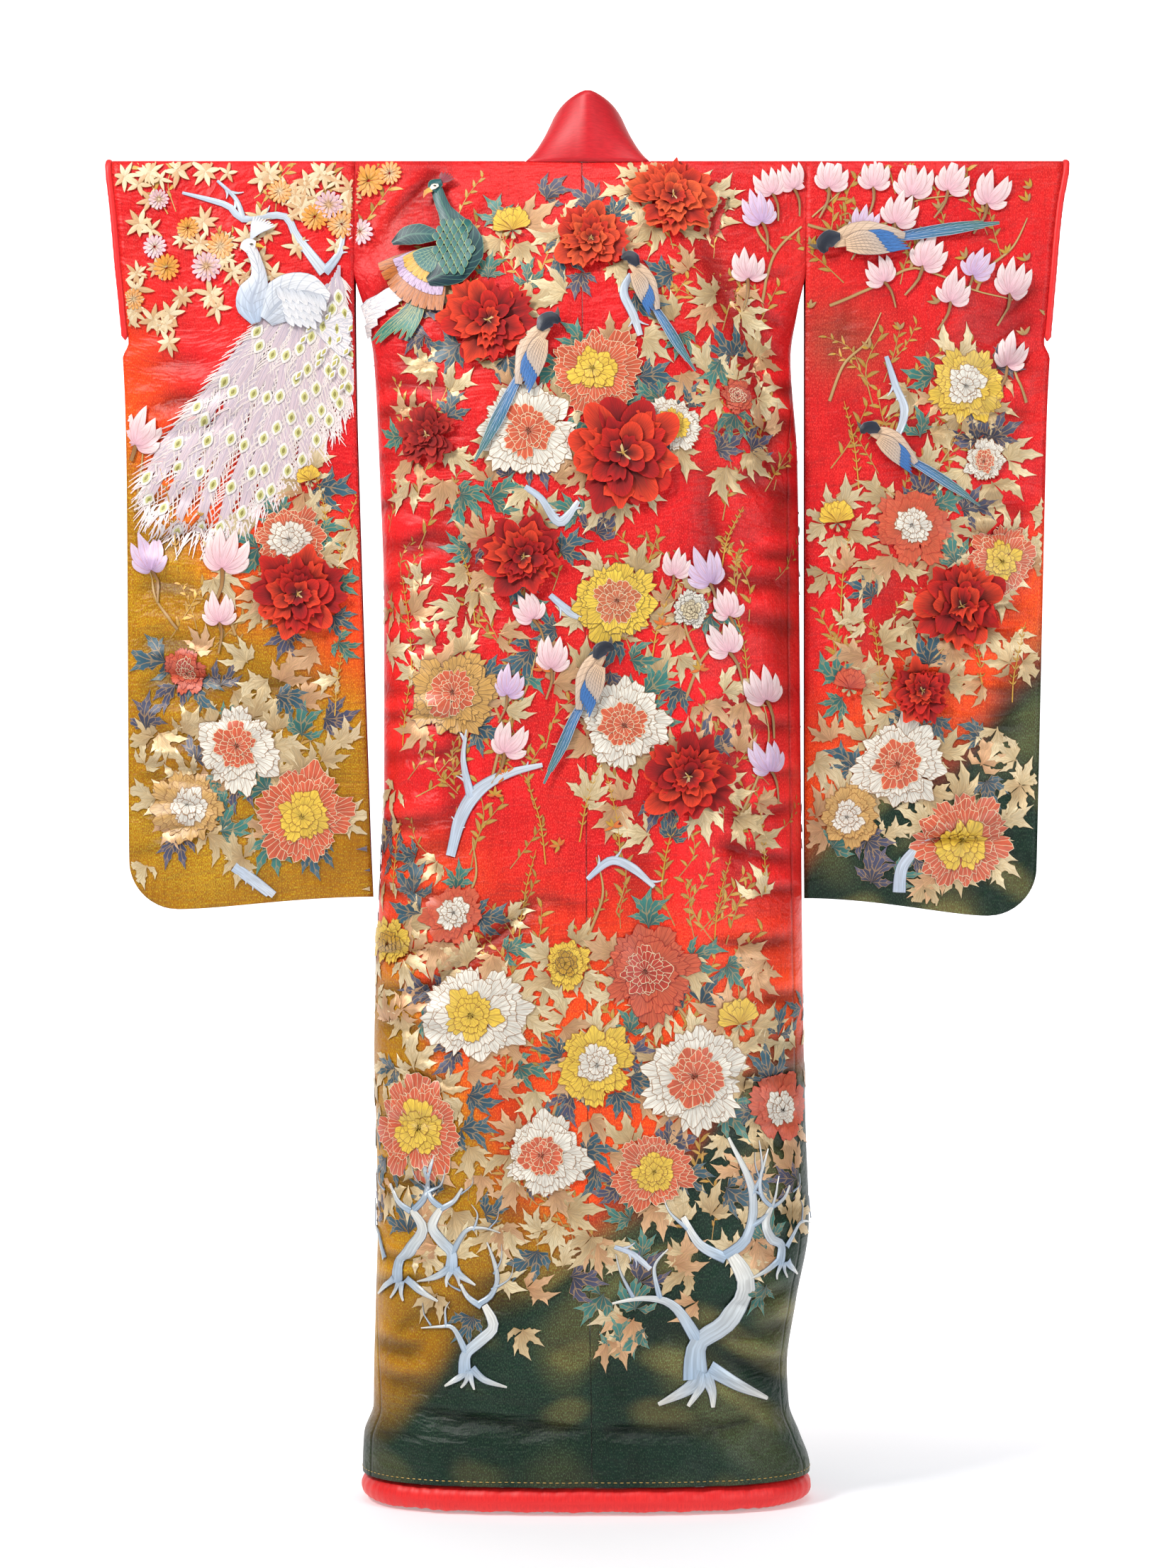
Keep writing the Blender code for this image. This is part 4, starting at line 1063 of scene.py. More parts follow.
# %% Rolls
def make_roll(name, path, across, up, wide, high, sides, material, wrinkle):
    """An oval carried along a path, closed at both ends, with a radius that varies."""
    count = len(path)
    steps = np.concatenate(((0,), np.cumsum(np.linalg.norm(np.diff(path, axis=0), axis=1))))
    angle = np.linspace(0, 2 * np.pi, sides, endpoint=False)
    ease = wrinkle(steps[:, None], angle[None, :])
    ends = np.sqrt(np.clip(np.minimum(steps, steps[-1] - steps) / wide, 0.02, 1))[:, None]
    radius = (1 + ease) * ends
    points = path[:, None] + across[:, None] * (wide * radius * np.cos(angle))[..., None]
    points = points + up[:, None] * (high * radius * np.sin(angle))[..., None]
    faces = []
    for r in range(count - 1):
        for k in range(sides):
            j = (k + 1) % sides
            faces.append((r * sides + k, (r + 1) * sides + k, (r + 1) * sides + j, r * sides + j))
    flat_points = points.reshape(-1, 3)
    faces.append(tuple(range(sides)))
    faces.append(tuple((count - 1) * sides + k for k in reversed(range(sides))))
    a, b, d = (flat_points[faces[sides * 3][k]] for k in (0, 1, 3))
    if np.dot(np.cross(b - a, d - a), a - path[3]) < 0:
        faces = [tuple(reversed(f)) for f in faces]
    item = new_object(name, flat_points, faces, material)
    where = np.stack(np.broadcast_arrays(steps[:, None], angle[None, :] * wide, 0.0), axis=-1)
    paint(item, "weave", where.reshape(-1, 3))
    return item


def make_hem_roll():
    turns = np.linspace(float(turn_at(-FRONT_GAP, BODY_LENGTH, 1)),
                        float(turn_at(FRONT_GAP, BODY_LENGTH, 1)), 420)
    plain = body_xyz(turns, BODY_LENGTH, np.where(np.abs(turns) > 1, 1.0, -1.0))
    plain = resample(plain[::6], 420)
    along = np.gradient(plain, axis=0) * (1, 1, 0)
    along /= np.linalg.norm(along, axis=1, keepdims=True)
    out = np.stack((along[:, 1], -along[:, 0], 0 * along[:, 0]), axis=1)
    path = plain * (1, 1, 0) + (0, 0, -ROLL_CENTRE + 0.0006) + out * ROLL_OUT
    up = np.broadcast_to((0.0, 0.0, 1.0), path.shape)

    def wrinkle(s, angle):
        scallop = 0.035 * np.sin(s * 96 + 1.4 * np.sin(s * 23))
        pleat = 0.030 * np.sin(s * 260 + 2.2 * np.sin(s * 41) + 0.7 * angle)
        slack = 0.02 * np.sin(s * 520 + 3 * np.sin(s * 60) - angle)
        return scallop + pleat * smooth(-1, 1, np.sin(s * 31)) + slack - 0.03

    return make_roll("hem_roll_silk", path, out, up, ROLL_THICK / 2, ROLL_HEIGHT / 2, 28, ROLL, wrinkle)


def make_cuff_roll(side, name):
    full = sleeve_bottom(side, 0.0)
    levels = np.concatenate((np.arange(0.240, 0.03, -0.005),
                             (0.026, 0.018, 0.012, 0.008, 0.005, 0.003, 0.0015)))
    down = np.concatenate((levels, (0.0,), levels[::-1]))
    face = np.concatenate((-np.ones(len(levels)), (1.0,), np.ones(len(levels))))
    path = sleeve_xyz(side, 1.0, down / full, face)
    path[:, 0] += side * (CUFF_ROLL / 2 + SEAM)
    apart = np.maximum(np.abs(path[:, 1] - SHIFT_Y), 0.0034)
    path[:, 1] = np.where(down > 0.01, SHIFT_Y + face * apart, path[:, 1])
    along = np.gradient(path, axis=0)
    along /= np.linalg.norm(along, axis=1, keepdims=True)
    out = np.array((1.0, 0.0, 0.0)) - along * along[:, :1]
    out /= np.linalg.norm(out, axis=1, keepdims=True)

    def wrinkle(s, angle):
        return 0.05 * np.sin(s * 420 + 2 * np.sin(s * 70) + angle) - 0.02

    return make_roll(name, path, out, np.cross(along, out), CUFF_ROLL / 2, 0.0032, 12, ROLL, wrinkle)


hem_roll = make_hem_roll()
cuff_left = make_cuff_roll(-1, "cuff_roll_left_silk")
cuff_right = make_cuff_roll(1, "cuff_roll_right_silk")
print("hem roll faces:", len(hem_roll.data.polygons))

# %% [markdown]
# ## Running stitches above the hem
#
# On the real robe a row of hand stitches in gold thread holds the padded roll to the skirt. The
# same short stitch repeats along a path, so a small node tree makes it: it steps along the path,
# puts one stretched bead of thread at each step, and turns it to follow the hem. Spacing, length
# and thread are named inputs, so a coarser or finer hand is one number away.

# %% The stitch tree and its two rows
def stitch_tree(material):
    tree = bpy.data.node_groups.new("running_stitch", "GeometryNodeTree")
    face = tree.interface
    face.new_socket("Path", in_out="INPUT", socket_type="NodeSocketGeometry")
    for name in ("Spacing", "Stitch", "Thread"):
        face.new_socket(name, in_out="INPUT", socket_type="NodeSocketFloat")
    face.new_socket("Stitches", in_out="OUTPUT", socket_type="NodeSocketGeometry")
    kinds = (
        "NodeGroupInput", "GeometryNodeMeshToCurve", "GeometryNodeCurveToPoints",
        "GeometryNodeMeshUVSphere",
        "ShaderNodeCombineXYZ", "GeometryNodeInstanceOnPoints", "GeometryNodeRealizeInstances",
        "GeometryNodeSetMaterial", "NodeGroupOutput",
    )
    start, curve, steps, bead, size, placed, real, coated, end = (tree.nodes.new(kind) for kind in kinds)
    steps.mode = "LENGTH"
    for name, number in (("Segments", 6), ("Rings", 4), ("Radius", 0.5)):
        bead.inputs[name].default_value = number
    coated.inputs["Material"].default_value = material
    links = (
        (start, "Path", curve, "Mesh"), (curve, "Curve", steps, "Curve"),
        (start, "Spacing", steps, "Length"),
        (start, "Thread", size, "X"), (start, "Thread", size, "Y"), (start, "Stitch", size, "Z"),
        (steps, "Points", placed, "Points"), (bead, "Mesh", placed, "Instance"),
        (steps, "Rotation", placed, "Rotation"), (size, "Vector", placed, "Scale"),
        (placed, "Instances", real, "Geometry"), (real, "Geometry", coated, "Geometry"),
        (coated, "Geometry", end, "Stitches"),
    )
    for giver, out, taker, into in links:
        tree.links.new(giver.outputs[out], taker.inputs[into])
    return tree


def stitch_row(name, path, tree, **numbers):
    """The tree run along a path, as a plain mesh of its own."""
    edges = [(k, k + 1) for k in range(len(path) - 1)]
    mesh = bpy.data.meshes.new(name + "_path")
    mesh.from_pydata(path.tolist(), edges, [])
    guide = bpy.data.objects.new(name + "_path", mesh)
    bpy.context.collection.objects.link(guide)
    modifier = guide.modifiers.new("stitches", "NODES")
    modifier.node_group = tree
    for item in tree.interface.items_tree:
        if item.in_out == "INPUT" and item.name in numbers:
            modifier[item.identifier] = numbers[item.name]
    seen = guide.evaluated_get(bpy.context.evaluated_depsgraph_get())
    sewn = bpy.data.objects.new(name, bpy.data.meshes.new_from_object(seen))
    bpy.context.collection.objects.link(sewn)
    bpy.data.objects.remove(guide)
    return sewn


HEM_THREAD = new_material("hem_thread", Roughness=0.4, Metallic=0.3, Base_Color=linear(196, 160, 84))[0]
TREE = stitch_tree(HEM_THREAD)
HEM_ROWS = {}
for side, node in ((-1, "body_left"), (1, "body_right")):
    turns = np.linspace(side * 0.01, float(turn_at(side * 2 * FRONT_GAP, STITCH_LINE, 1)), 260)
    line = body_xyz(turns, STITCH_LINE, np.where(np.abs(turns) > 1, 1.0, -1.0))
    along = np.gradient(line, axis=0) * (1, 1, 0)
    along /= np.linalg.norm(along, axis=1, keepdims=True)
    out = np.stack((along[:, 1], -along[:, 0], 0 * along[:, 0]), axis=1) * side
    row = stitch_row("hem_stitches_" + node[5:], line + out * (CLOTH / 2 + 0.0003), TREE,
                     Spacing=0.0085, Stitch=0.0052, Thread=0.0011)
    HEM_ROWS[node] = [row]
print("hem stitches, faces:", [len(rows[0].data.polygons) for rows in HEM_ROWS.values()])

# %% [markdown]
# ## Drawing the design
#
# The design is needlework and cut foil laid over the silk, so it is geometry here too: every
# petal, leaf and feather is a small patch with its own slight relief. Two shapes draw them all:
# a fan, for a petal with a ruffled rim, and a blade, for anything that follows a line. Both are
# drawn flat, in the garment's own width and depth, and the cloth surface carries them later.

# %% Patches: fans and blades
PATCHES = []


class Pen:
    """A place on the robe to draw at: local y is up, and size scales the local units."""

    def __init__(self, x, down, angle=0.0, size=1.0, lift=0.001, flip=1, front=True):
        self.x, self.down, self.size, self.lift, self.flip = x, down, size, lift, flip
        self.c, self.s = np.cos(angle), np.sin(angle)
        self.front = front

    def put(self, kind, xy, rise, u, v, colour, line, edge_u, edge_v, veins):
        px, py = xy[..., 0] * self.size * self.flip, xy[..., 1] * self.size
        x = self.x + px * self.c - py * self.s
        down = self.down - (px * self.s + py * self.c)
        shape = x.shape
        PATCHES.append(
            {
                "kind": kind,
                "x": x,
                "down": down,
                "lift": self.lift + rise,
                "uv": np.stack(np.broadcast_arrays(u, v, random.uniform(0, 50)), axis=-1)
                * np.ones((*shape, 1)),
                "edge": np.stack(np.broadcast_arrays(edge_u, edge_v, veins), axis=-1)
                * np.ones((*shape, 1)),
                "colour": np.broadcast_to(colour, (*shape, 3)),
                "line": np.broadcast_to(line, (*shape, 3)),
                "front": self.front,
            }
        )


def fan(pen, kind, centre, angle, spread, r0, r1, inner, outer, line, **more):
    """A petal: a sector with a ruffled rim, paler or darker towards its root."""
    veins = more.get("veins", 6)
    ruffle = more.get("ruffle", 0.07)
    dome = more.get("dome", 0.0006)
    tilt = more.get("tilt", 0.0005)
    rim = more.get("rim", 0.0008)
    power = more.get("power", 1.0)
    m, n = more.get("m", 5), more.get("n", 11)
    u = np.linspace(0, 1, n)[None, :]
    v = np.linspace(0, 1, m)[:, None]
    phase = random.uniform(0, 6.28)
    lobes = more.get("lobes", 3)
    round_off = 1 - 0.30 * np.abs(2 * u - 1) ** 3.2
    wave = 1 + ruffle * np.cos((2 * u - 1) * np.pi * lobes + 0.6 * np.sin(phase))
    reach = r0 + (r1 * round_off * wave - r0) * v
    phi = angle + spread * (u - 0.5) * (0.35 + 0.65 * v**0.6)
    xy = np.stack((centre[0] + reach * np.cos(phi), centre[1] + reach * np.sin(phi)), axis=-1)
    rise = dome * np.sin(np.pi * u) ** 0.7 * v + tilt * u + more.get("cup", 0.0) * v**2
    shade = mix(np.broadcast_to(inner, (m, n, 3)), outer, (v**power) * np.ones_like(u))
    width = max(spread * r1 * pen.size, 1e-4)
    length = max((r1 - r0) * pen.size, 1e-4)
    pen.put(kind, xy, rise, u, v, shade, line, rim / width, rim / length, veins)


def blade(pen, kind, spine, half, inner, outer, line, **more):
    """Anything along a line: half gives its half width at steps along the spine."""
    m = more.get("m", 12)
    n = more.get("n", 5)
    dome = more.get("dome", 0.0005)
    rim = more.get("rim", 0.0007)
    veins = more.get("veins", 0)
    path = resample(spine, m)
    along = np.gradient(path, axis=0)
    along /= np.maximum(np.linalg.norm(along, axis=1, keepdims=True), 1e-9)
    side = np.stack((along[:, 1], -along[:, 0]), axis=1)
    half = np.asarray(half, dtype=float)
    wide = np.interp(np.linspace(0, 1, m), np.linspace(0, 1, len(half)), half)
    u = np.linspace(0, 1, n)[None, :]
    v = np.linspace(0, 1, m)[:, None]
    xy = path[:, None] + side[:, None] * (wide[:, None] * (2 * u - 1))[..., None]
    rise = dome * (1 - (2 * u - 1) ** 2) * np.ones_like(v) + more.get("up", 0.0)
    shade = mix(np.broadcast_to(inner, (m, n, 3)), outer, v * np.ones_like(u))
    width = max(2 * half.max() * pen.size, 1e-4)
    pen.put(kind, xy, rise, u, v, shade, line, rim / width, 0.0, veins)


def petal_shape(tip=1.0):
    """Half widths of a plain leaf or petal, root to tip."""
    v = np.linspace(0, 1, 9)
    return np.sin(np.pi * v**0.8) ** 0.8 * (1 - 0.15 * tip * v) + 0.01


# %% [markdown]
# ## Peonies
#
# A stitched peony is rings of ruffled petals, each outlined with a fine cord, round a heart of
# another colour. A velvet one has no outline: its petals stand up, dark at their roots, partly
# with painted shade, and bright at the rim. Rings that shrink and climb towards the middle give
# both.

# %% Colours and stitched peonies
WHITE, CREAM = linear(240, 236, 224), linear(232, 216, 178)
CORAL, DEEP_CORAL = linear(216, 98, 66), linear(190, 62, 44)
YELLOW, GOLD = linear(242, 204, 76), linear(206, 158, 48)
BEIGE, TAN = linear(214, 188, 136), linear(186, 148, 94)
INK, BRONZE = linear(92, 70, 52), linear(150, 98, 44)
LILAC, TEAL = linear(196, 160, 204), linear(44, 124, 112)

PEONY_COLOURS = {
    # name: outer petals, their lines, heart, its lines
    "white_coral": (WHITE, BRONZE, CORAL, CREAM),
    "white_ring": (CORAL, CREAM, WHITE, BRONZE),
    "yellow_coral": (CORAL, CREAM, YELLOW, BRONZE),
    "coral_yellow": (CORAL, CREAM, YELLOW, BRONZE),
    "coral_white": (CORAL, DEEP_CORAL, WHITE, BRONZE),
    "coral_gold": (YELLOW, INK, linear(206, 110, 74), CREAM),
    "coral_ochre": (linear(214, 166, 92), INK, CORAL, CREAM),
    "ochre_white": (linear(216, 172, 104), BRONZE, WHITE, BRONZE),
    "yellow_white": (WHITE, BRONZE, YELLOW, BRONZE),
    "white_yellow": (YELLOW, BRONZE, WHITE, BRONZE),
    "coral": (CORAL, linear(150, 24, 24), DEEP_CORAL, CREAM),
    "white": (WHITE, INK, CREAM, INK),
    "yellow": (YELLOW, BRONZE, GOLD, INK),
}


def peony(x, down, r, name, lift=0.0022):
    outer, outer_line, heart, heart_line = PEONY_COLOURS[name]
    pen = Pen(x, down, random.uniform(-0.5, 0.5), r, lift)
    rings = (
        # petals, root, reach, spread, heart?, climb
        (12, 0.40, 1.04, 0.72, 0, 0.0),
        (10, 0.32, 0.90, 0.80, 0, 0.0005),
        (9, 0.26, 0.73, 0.86, 0, 0.0010),
        (8, 0.18, 0.56, 0.95, 1, 0.0016),
        (7, 0.10, 0.42, 1.10, 1, 0.0021),
        (5, 0.00, 0.27, 1.60, 1, 0.0026),
    )
    drop = random.uniform(-0.12, 0.12, 2)
    squash = random.uniform(-0.10, 0.10)
    lean = random.uniform(0, 6.28)
    for number, (count, root, reach, spread, in_heart, climb) in enumerate(rings):
        start = random.uniform(0, 6.28)
        pen.lift = lift + climb
        base = heart if in_heart else outer
        line = heart_line if in_heart else outer_line
        for k in range(count):
            angle = start + 2 * np.pi * k / count + random.uniform(-0.16, 0.16)
            size = reach * random.uniform(0.84, 1.12) * (1 + squash * np.cos(angle * 2 + lean))
            light = random.uniform(0.84, 1.04)
            fan(
                pen, "satin", drop * (1 - reach), angle, spread * random.uniform(0.85, 1.15),
                root * size, size, base * light * 0.72, np.minimum(base * light * 1.04, 0.92), line,
                veins=6 if number < 3 else 3, ruffle=random.uniform(0.04, 0.10),
                lobes=random.integers(2, 5), rim=0.0009, tilt=0.0005, n=10,
            )


print("peony colours:", sorted(PEONY_COLOURS))

# %% [markdown]
# ## Padded velvet peonies and buds
#
# The red peonies are cut from velvet and padded from behind, so they stand higher than the
# stitched ones and have full, rounded petals. The buds are a few petals closed over each other.

# %% Padded velvet peonies and buds
def velvet_peony(x, down, r, tone, lift=0.0034):
    # The petal roots are dark: partly the velvet's own deep red, partly painted shade in the pockets
    # between the petals.
    dark = (linear(70, 0, 8), linear(110, 6, 8), linear(110, 10, 14))[tone]
    rims = (
        (linear(214, 30, 16), linear(236, 62, 28), linear(184, 12, 14)),
        (linear(238, 78, 40), linear(244, 96, 48), linear(222, 52, 28)),
        (linear(196, 40, 30), linear(180, 30, 26), linear(160, 20, 20)),
    )[tone]
    pen = Pen(x, down, random.uniform(-0.6, 0.6), r, lift)
    rings = (
        # petals, root, reach, spread, climb
        (8, 0.34, 1.04, 0.95, 0.0),
        (8, 0.28, 0.90, 0.90, 0.0012),
        (7, 0.20, 0.70, 1.00, 0.0026),
        (6, 0.12, 0.50, 1.15, 0.0040),
        (5, 0.05, 0.30, 1.50, 0.0052),
    )
    for count, root, reach, spread, climb in rings:
        start = random.uniform(0, 6.28)
        pen.lift = lift + climb
        for k in range(count):
            angle = start + 2 * np.pi * k / count + random.uniform(-0.22, 0.22)
            size = reach * random.uniform(0.82, 1.12)
            rim = rims[random.integers(0, 3)]
            fan(
                pen, "velvet", (0.0, 0.0), angle, spread * random.uniform(0.85, 1.15),
                root * size, size, dark * random.uniform(0.3, 1.0), rim, rim,
                veins=0, ruffle=0.10, lobes=random.integers(1, 4), dome=0.0026,
                tilt=0.0018, cup=0.0026, power=1.9, rim=0.0, m=6, n=11,
            )
    pen.lift = lift + 0.0062
    for k in range(9):
        a = random.uniform(0, 6.28)
        tip = (0.19 * np.cos(a), 0.19 * np.sin(a) + 0.03)
        blade(pen, "satin", ((0, 0), (tip[0] * 0.5, tip[1] * 0.6), tip), (0.014, 0.02, 0.03, 0.01),
              GOLD, CREAM, BRONZE, m=5, n=3)


def peony_bud(x, down, r, name, lift=0.0030):
    outer, line, heart, _ = PEONY_COLOURS[name]
    pen = Pen(x, down, random.uniform(-0.4, 0.4), r, lift)
    for number, (angle, spread, reach) in enumerate(
        ((2.5, 1.1, 0.9), (0.64, 1.1, 0.9), (2.0, 1.1, 1.05), (1.14, 1.1, 1.05),
         (1.57, 1.2, 0.98), (1.57, 1.0, 0.7))
    ):
        pen.lift = lift + 0.0003 * number
        fan(pen, "satin", (0, -0.6), angle, spread, 0.05, reach * 1.4, heart, outer, line,
            veins=3, rim=0.0009, n=9)
    for a in (3.6, 4.7, 5.8):
        fan(pen, "satin", (0, -0.6), a, 0.7, 0.0, 0.6, TEAL, BEIGE, BRONZE, veins=2, n=7)


# %% [markdown]
# ## Leaves
#
# Peony leaves on the robe are cut in three pointed lobes with teeth. Most are pale gold foil;
# some are stitched in teal and violet with a gold outline. Each flower gets a wreath of them, at
# angles and lengths that a seeded random draw picks, tucked under its petals.

# %% Leaves round the flowers
TOOTHED = (0.05, 0.18, 0.42, 0.70, 0.98, 0.62, 0.56, 0.72, 0.40, 0.24, 0.10, 0.005)
LEAF_COLOURS = (
    # patch kind, root, tip, outline, veins
    ("foil", linear(180, 148, 104), linear(236, 216, 172), TAN, -3),
    ("foil", linear(204, 178, 132), linear(246, 230, 192), TAN, -3),
    ("foil", linear(188, 138, 96), linear(236, 194, 152), TAN, -3),
    ("satin", linear(22, 74, 74), linear(72, 150, 140), TAN, -3),
    ("satin", linear(24, 48, 66), linear(60, 110, 130), TAN, -3),
    ("satin", linear(30, 36, 56), linear(88, 92, 126), TAN, -3),
)


def peony_leaf(x, down, length, angle, style, lift, front=True):
    kind, root, tip, line, veins = LEAF_COLOURS[style]
    pen = Pen(x, down, angle, length, lift, 1 if random.random() < 0.5 else -1, front)
    lobes = ((0.0, 1.05, 1.0), (0.62, 0.88, 0.85), (-0.58, 0.82, 0.85), (1.24, 0.60, 0.7),
             (-1.18, 0.56, 0.7))
    for number, (turn, size, wide) in enumerate(lobes):
        bend = random.uniform(-0.34, 0.34)
        s, c = np.sin(turn), np.cos(turn)
        start = (0.0, 0.10 if number == 0 else 0.16)
        middle = (start[0] + s * size * 0.5 + bend * c * 0.5,
                  start[1] + c * size * 0.5 - bend * s * 0.5)
        end = (start[0] + s * size, start[1] + c * size)
        light = random.uniform(0.86, 1.10)
        pen.lift = lift + 0.00012 * (4 - number)
        half = np.array(TOOTHED) * wide * random.uniform(0.17, 0.23)
        blade(pen, kind, (start, middle, end), half, root * light, np.minimum(tip * light, 0.95),
              line, veins=veins, rim=0.0007, m=12, n=3)


FLOWERS = []
LEAVES = []


def wreath(x, down, r, count, lift, pale=0.68):
    FLOWERS.append((x, down, r))
    start = random.uniform(0, 6.28)
    for k in range(count):
        a = start + 2 * np.pi * k / count + random.uniform(-0.3, 0.3)
        reach = r * random.uniform(0.62, 0.95)
        length = random.uniform(0.040, 0.060)
        style = random.integers(0, 3) if random.random() < pale else random.integers(3, 6)
        LEAVES.append((x + (reach + 0.02) * np.cos(a), down - (reach + 0.02) * np.sin(a)))
        peony_leaf(x + reach * np.cos(a), down - reach * np.sin(a), length,
                   a - np.pi / 2 + random.uniform(-0.35, 0.35), style, lift)


def thicket(x, down, wide, tall, count, pale=0.68):
    """Leaves strewn over an oval, apart from each other and not under a flower's heart."""
    placed = 0
    for _ in range(count * 8):
        a, r = random.uniform(0, 6.28), np.sqrt(random.random())
        px, pd = x + wide * r * np.cos(a), down + tall * r * np.sin(a)
        hidden = any(np.hypot(px - fx, pd - fd) < fr * 0.75 for fx, fd, fr in FLOWERS)
        if hidden or any(np.hypot(px - lx, pd - ld) < 0.030 for lx, ld in LEAVES):
            continue
        style = random.integers(0, 3) if random.random() < pale else random.integers(3, 6)
        turn = random.uniform(0, 6.28)
        length = random.uniform(0.038, 0.056)
        LEAVES.append((px, pd))
        peony_leaf(px + 0.4 * length * np.sin(turn), pd + 0.4 * length * np.cos(turn), length, turn,
                   style, 0.0007 + 0.0006 * random.random())
        placed += 1
        if placed == count:
            return


# %% [markdown]
# ## Magnolias, sprigs and grasses
#
# Magnolias are cups of six pale petals on thin brown-gold twigs. The fine stuff between the
# flowers is gold thread: grasses with small leaves, and reeds.

# %% Magnolias and small blossoms
def magnolia(x, down, r, tone, lift=0.0026, angle=None):
    turn = random.uniform(-0.5, 0.5) if angle is None else angle
    pen = Pen(x, down, turn, r, lift)
    root = (linear(226, 170, 186), LILAC)[tone]
    tip = (linear(250, 236, 232), linear(232, 214, 236))[tone]
    twig = ((0, -0.6), (0.1, -1.3), (-0.1, -2.2))
    blade(pen, "satin", twig, (0.09, 0.07, 0.05), BRONZE, TAN, INK, m=6, n=3)
    for number, (a, reach) in enumerate(((-1.15, 0.95), (1.15, 0.95), (-0.62, 1.2), (0.62, 1.2),
                                         (-0.2, 1.32), (0.28, 1.2))):
        a = a + random.uniform(-0.1, 0.1)
        s, c = np.sin(a), np.cos(a)
        pen.lift = lift + 0.0003 * number
        reach = reach * random.uniform(0.9, 1.12)
        spine = ((0, -0.6), (s * reach * 0.75, -0.6 + c * reach * 0.62),
                 (s * reach * 0.95, -0.6 + c * reach * 1.25))
        blade(pen, "satin", spine, petal_shape() * 0.31, root, tip, linear(206, 150, 150),
              veins=2, rim=0.0006, m=9, n=5)


def five_leaves(x, down, r, count, colours, lift=0.0022, kind="satin", spread=6.28):
    """A cluster of small pointed leaves from one point."""
    pen = Pen(x, down, random.uniform(0, 6.28) if spread > 6 else random.uniform(-0.5, 0.5), r, lift)
    for k in range(count):
        a = spread * (k / count - 0.5) + random.uniform(-0.15, 0.15)
        reach = random.uniform(0.8, 1.15)
        s, c = np.sin(a), np.cos(a)
        colour = colours[random.integers(0, len(colours))]
        blade(pen, kind, ((0, 0), (s * reach * 0.5, c * reach * 0.5), (s * reach, c * reach)),
              petal_shape() * 0.19, colour * 0.85, colour, BRONZE, veins=1, rim=0.0006, m=7, n=3)


def blossom(x, down, r, colour, heart, lift=0.0026):
    """A round flower with many narrow notched petals."""
    pen = Pen(x, down, random.uniform(0, 6.28), r, lift)
    for ring, (count, reach) in enumerate(((14, 1.0), (10, 0.66))):
        pen.lift = lift + 0.0005 * ring
        for k in range(count):
            fan(pen, "satin", (0, 0), 2 * np.pi * k / count, 0.50, 0.15 * reach, reach,
                heart, colour, colour * 0.6, veins=1, ruffle=0.05, lobes=1, rim=0.0006, m=4, n=5)


# %% [markdown]
# ## Grasses and sprigs
#
# Thin stems in gold and green fill the spaces between the flowers. They are one stitch wide, so a
# blade of a millimetre or two with small leaves is enough.

# %% Grasses and sprigs
def grass(x, down, height, bend, lift=0.0014, colour=GOLD, leaves=9):
    """A thin stem with small leaves in pairs."""
    pen = Pen(x, down, 0.0, 1.0, lift)
    spine = resample(((0, 0), (bend * 0.3, height * 0.5), (bend, height)), leaves + 2)
    blade(pen, "satin", spine, (0.0009, 0.0007, 0.0004), colour, colour, colour, m=10, n=3)
    for k in range(2, leaves + 1):
        size = 0.008 * (1 - 0.4 * k / leaves)
        for side in (-1, 1):
            base = spine[k]
            tip = base + (side * size * 0.8, size * 0.9)
            blade(pen, "satin", (base, (base + tip) / 2 + (0, -0.0006), tip),
                  np.array((0.2, 1, 0.8, 0.1)) * 0.0013,
                  colour, colour * 1.1, BRONZE, m=4, n=3)


def sprig(x, down, length, angle):
    """A thin gold stem that bends, with a few slim leaves: the filling between the flowers."""
    pen = Pen(x, down, angle, length, 0.0005)
    bend = random.uniform(-0.22, 0.22)
    stem = resample(((0, 0), (bend, 0.5), (0.3 * bend, 1.0)), 9)
    tone = random.uniform(0.8, 1.15)
    blade(pen, "foil", stem, (0.009, 0.008, 0.004), GOLD * tone, GOLD * tone, TAN, m=8, n=2,
          dome=0.0003)
    for k in range(2, 9):
        a = (1 if k % 2 else -1) * random.uniform(0.5, 1.0)
        reach = random.uniform(0.13, 0.22)
        tip = stem[k] + (reach * np.sin(a), reach * np.cos(a))
        blade(pen, "foil", (stem[k], (stem[k] + tip) / 2 + (0, 0.02), tip),
              (0.004, 0.034, 0.026, 0.002),
              GOLD * tone, TAN * tone * 1.2, BRONZE, m=5, n=2, dome=0.0003)


# %% [markdown]
# ## Boughs and trees
#
# Old trees are worked in long silvery stitches along the bark. Each is a set of tapering blades
# that follow a bent path, with short twigs set off from it.

# %% Boughs and trees
def branch(points, widths, lift=0.0018, twigs=3, front=True):
    """A silvery bough: a blade along a line, with short side twigs."""
    pen = Pen(0.0, 0.0, 0.0, 1.0, lift, front=front)
    spine = np.array(points) * (1, -1)
    blade(pen, "pearl", spine, widths, linear(190, 206, 226), linear(214, 222, 232),
          linear(130, 140, 160), m=22, n=5, dome=0.0012, rim=0.0008)
    dense = resample(spine, 30)
    for k in range(twigs):
        at = random.integers(5, 27)
        base = dense[at]
        run = dense[min(at + 2, 29)] - dense[at - 2]
        run = run / np.linalg.norm(run)
        side = 1 if random.random() < 0.5 else -1
        away = np.array((run[1], -run[0])) * side * 0.7 + run * 0.7
        length = random.uniform(0.010, 0.022)
        blade(pen, "pearl", (base, base + away * length * 0.5 + run * 0.002, base + away * length),
              (0.0028, 0.0018, 0.0006), linear(196, 210, 228), linear(220, 226, 236), INK, m=6, n=3)


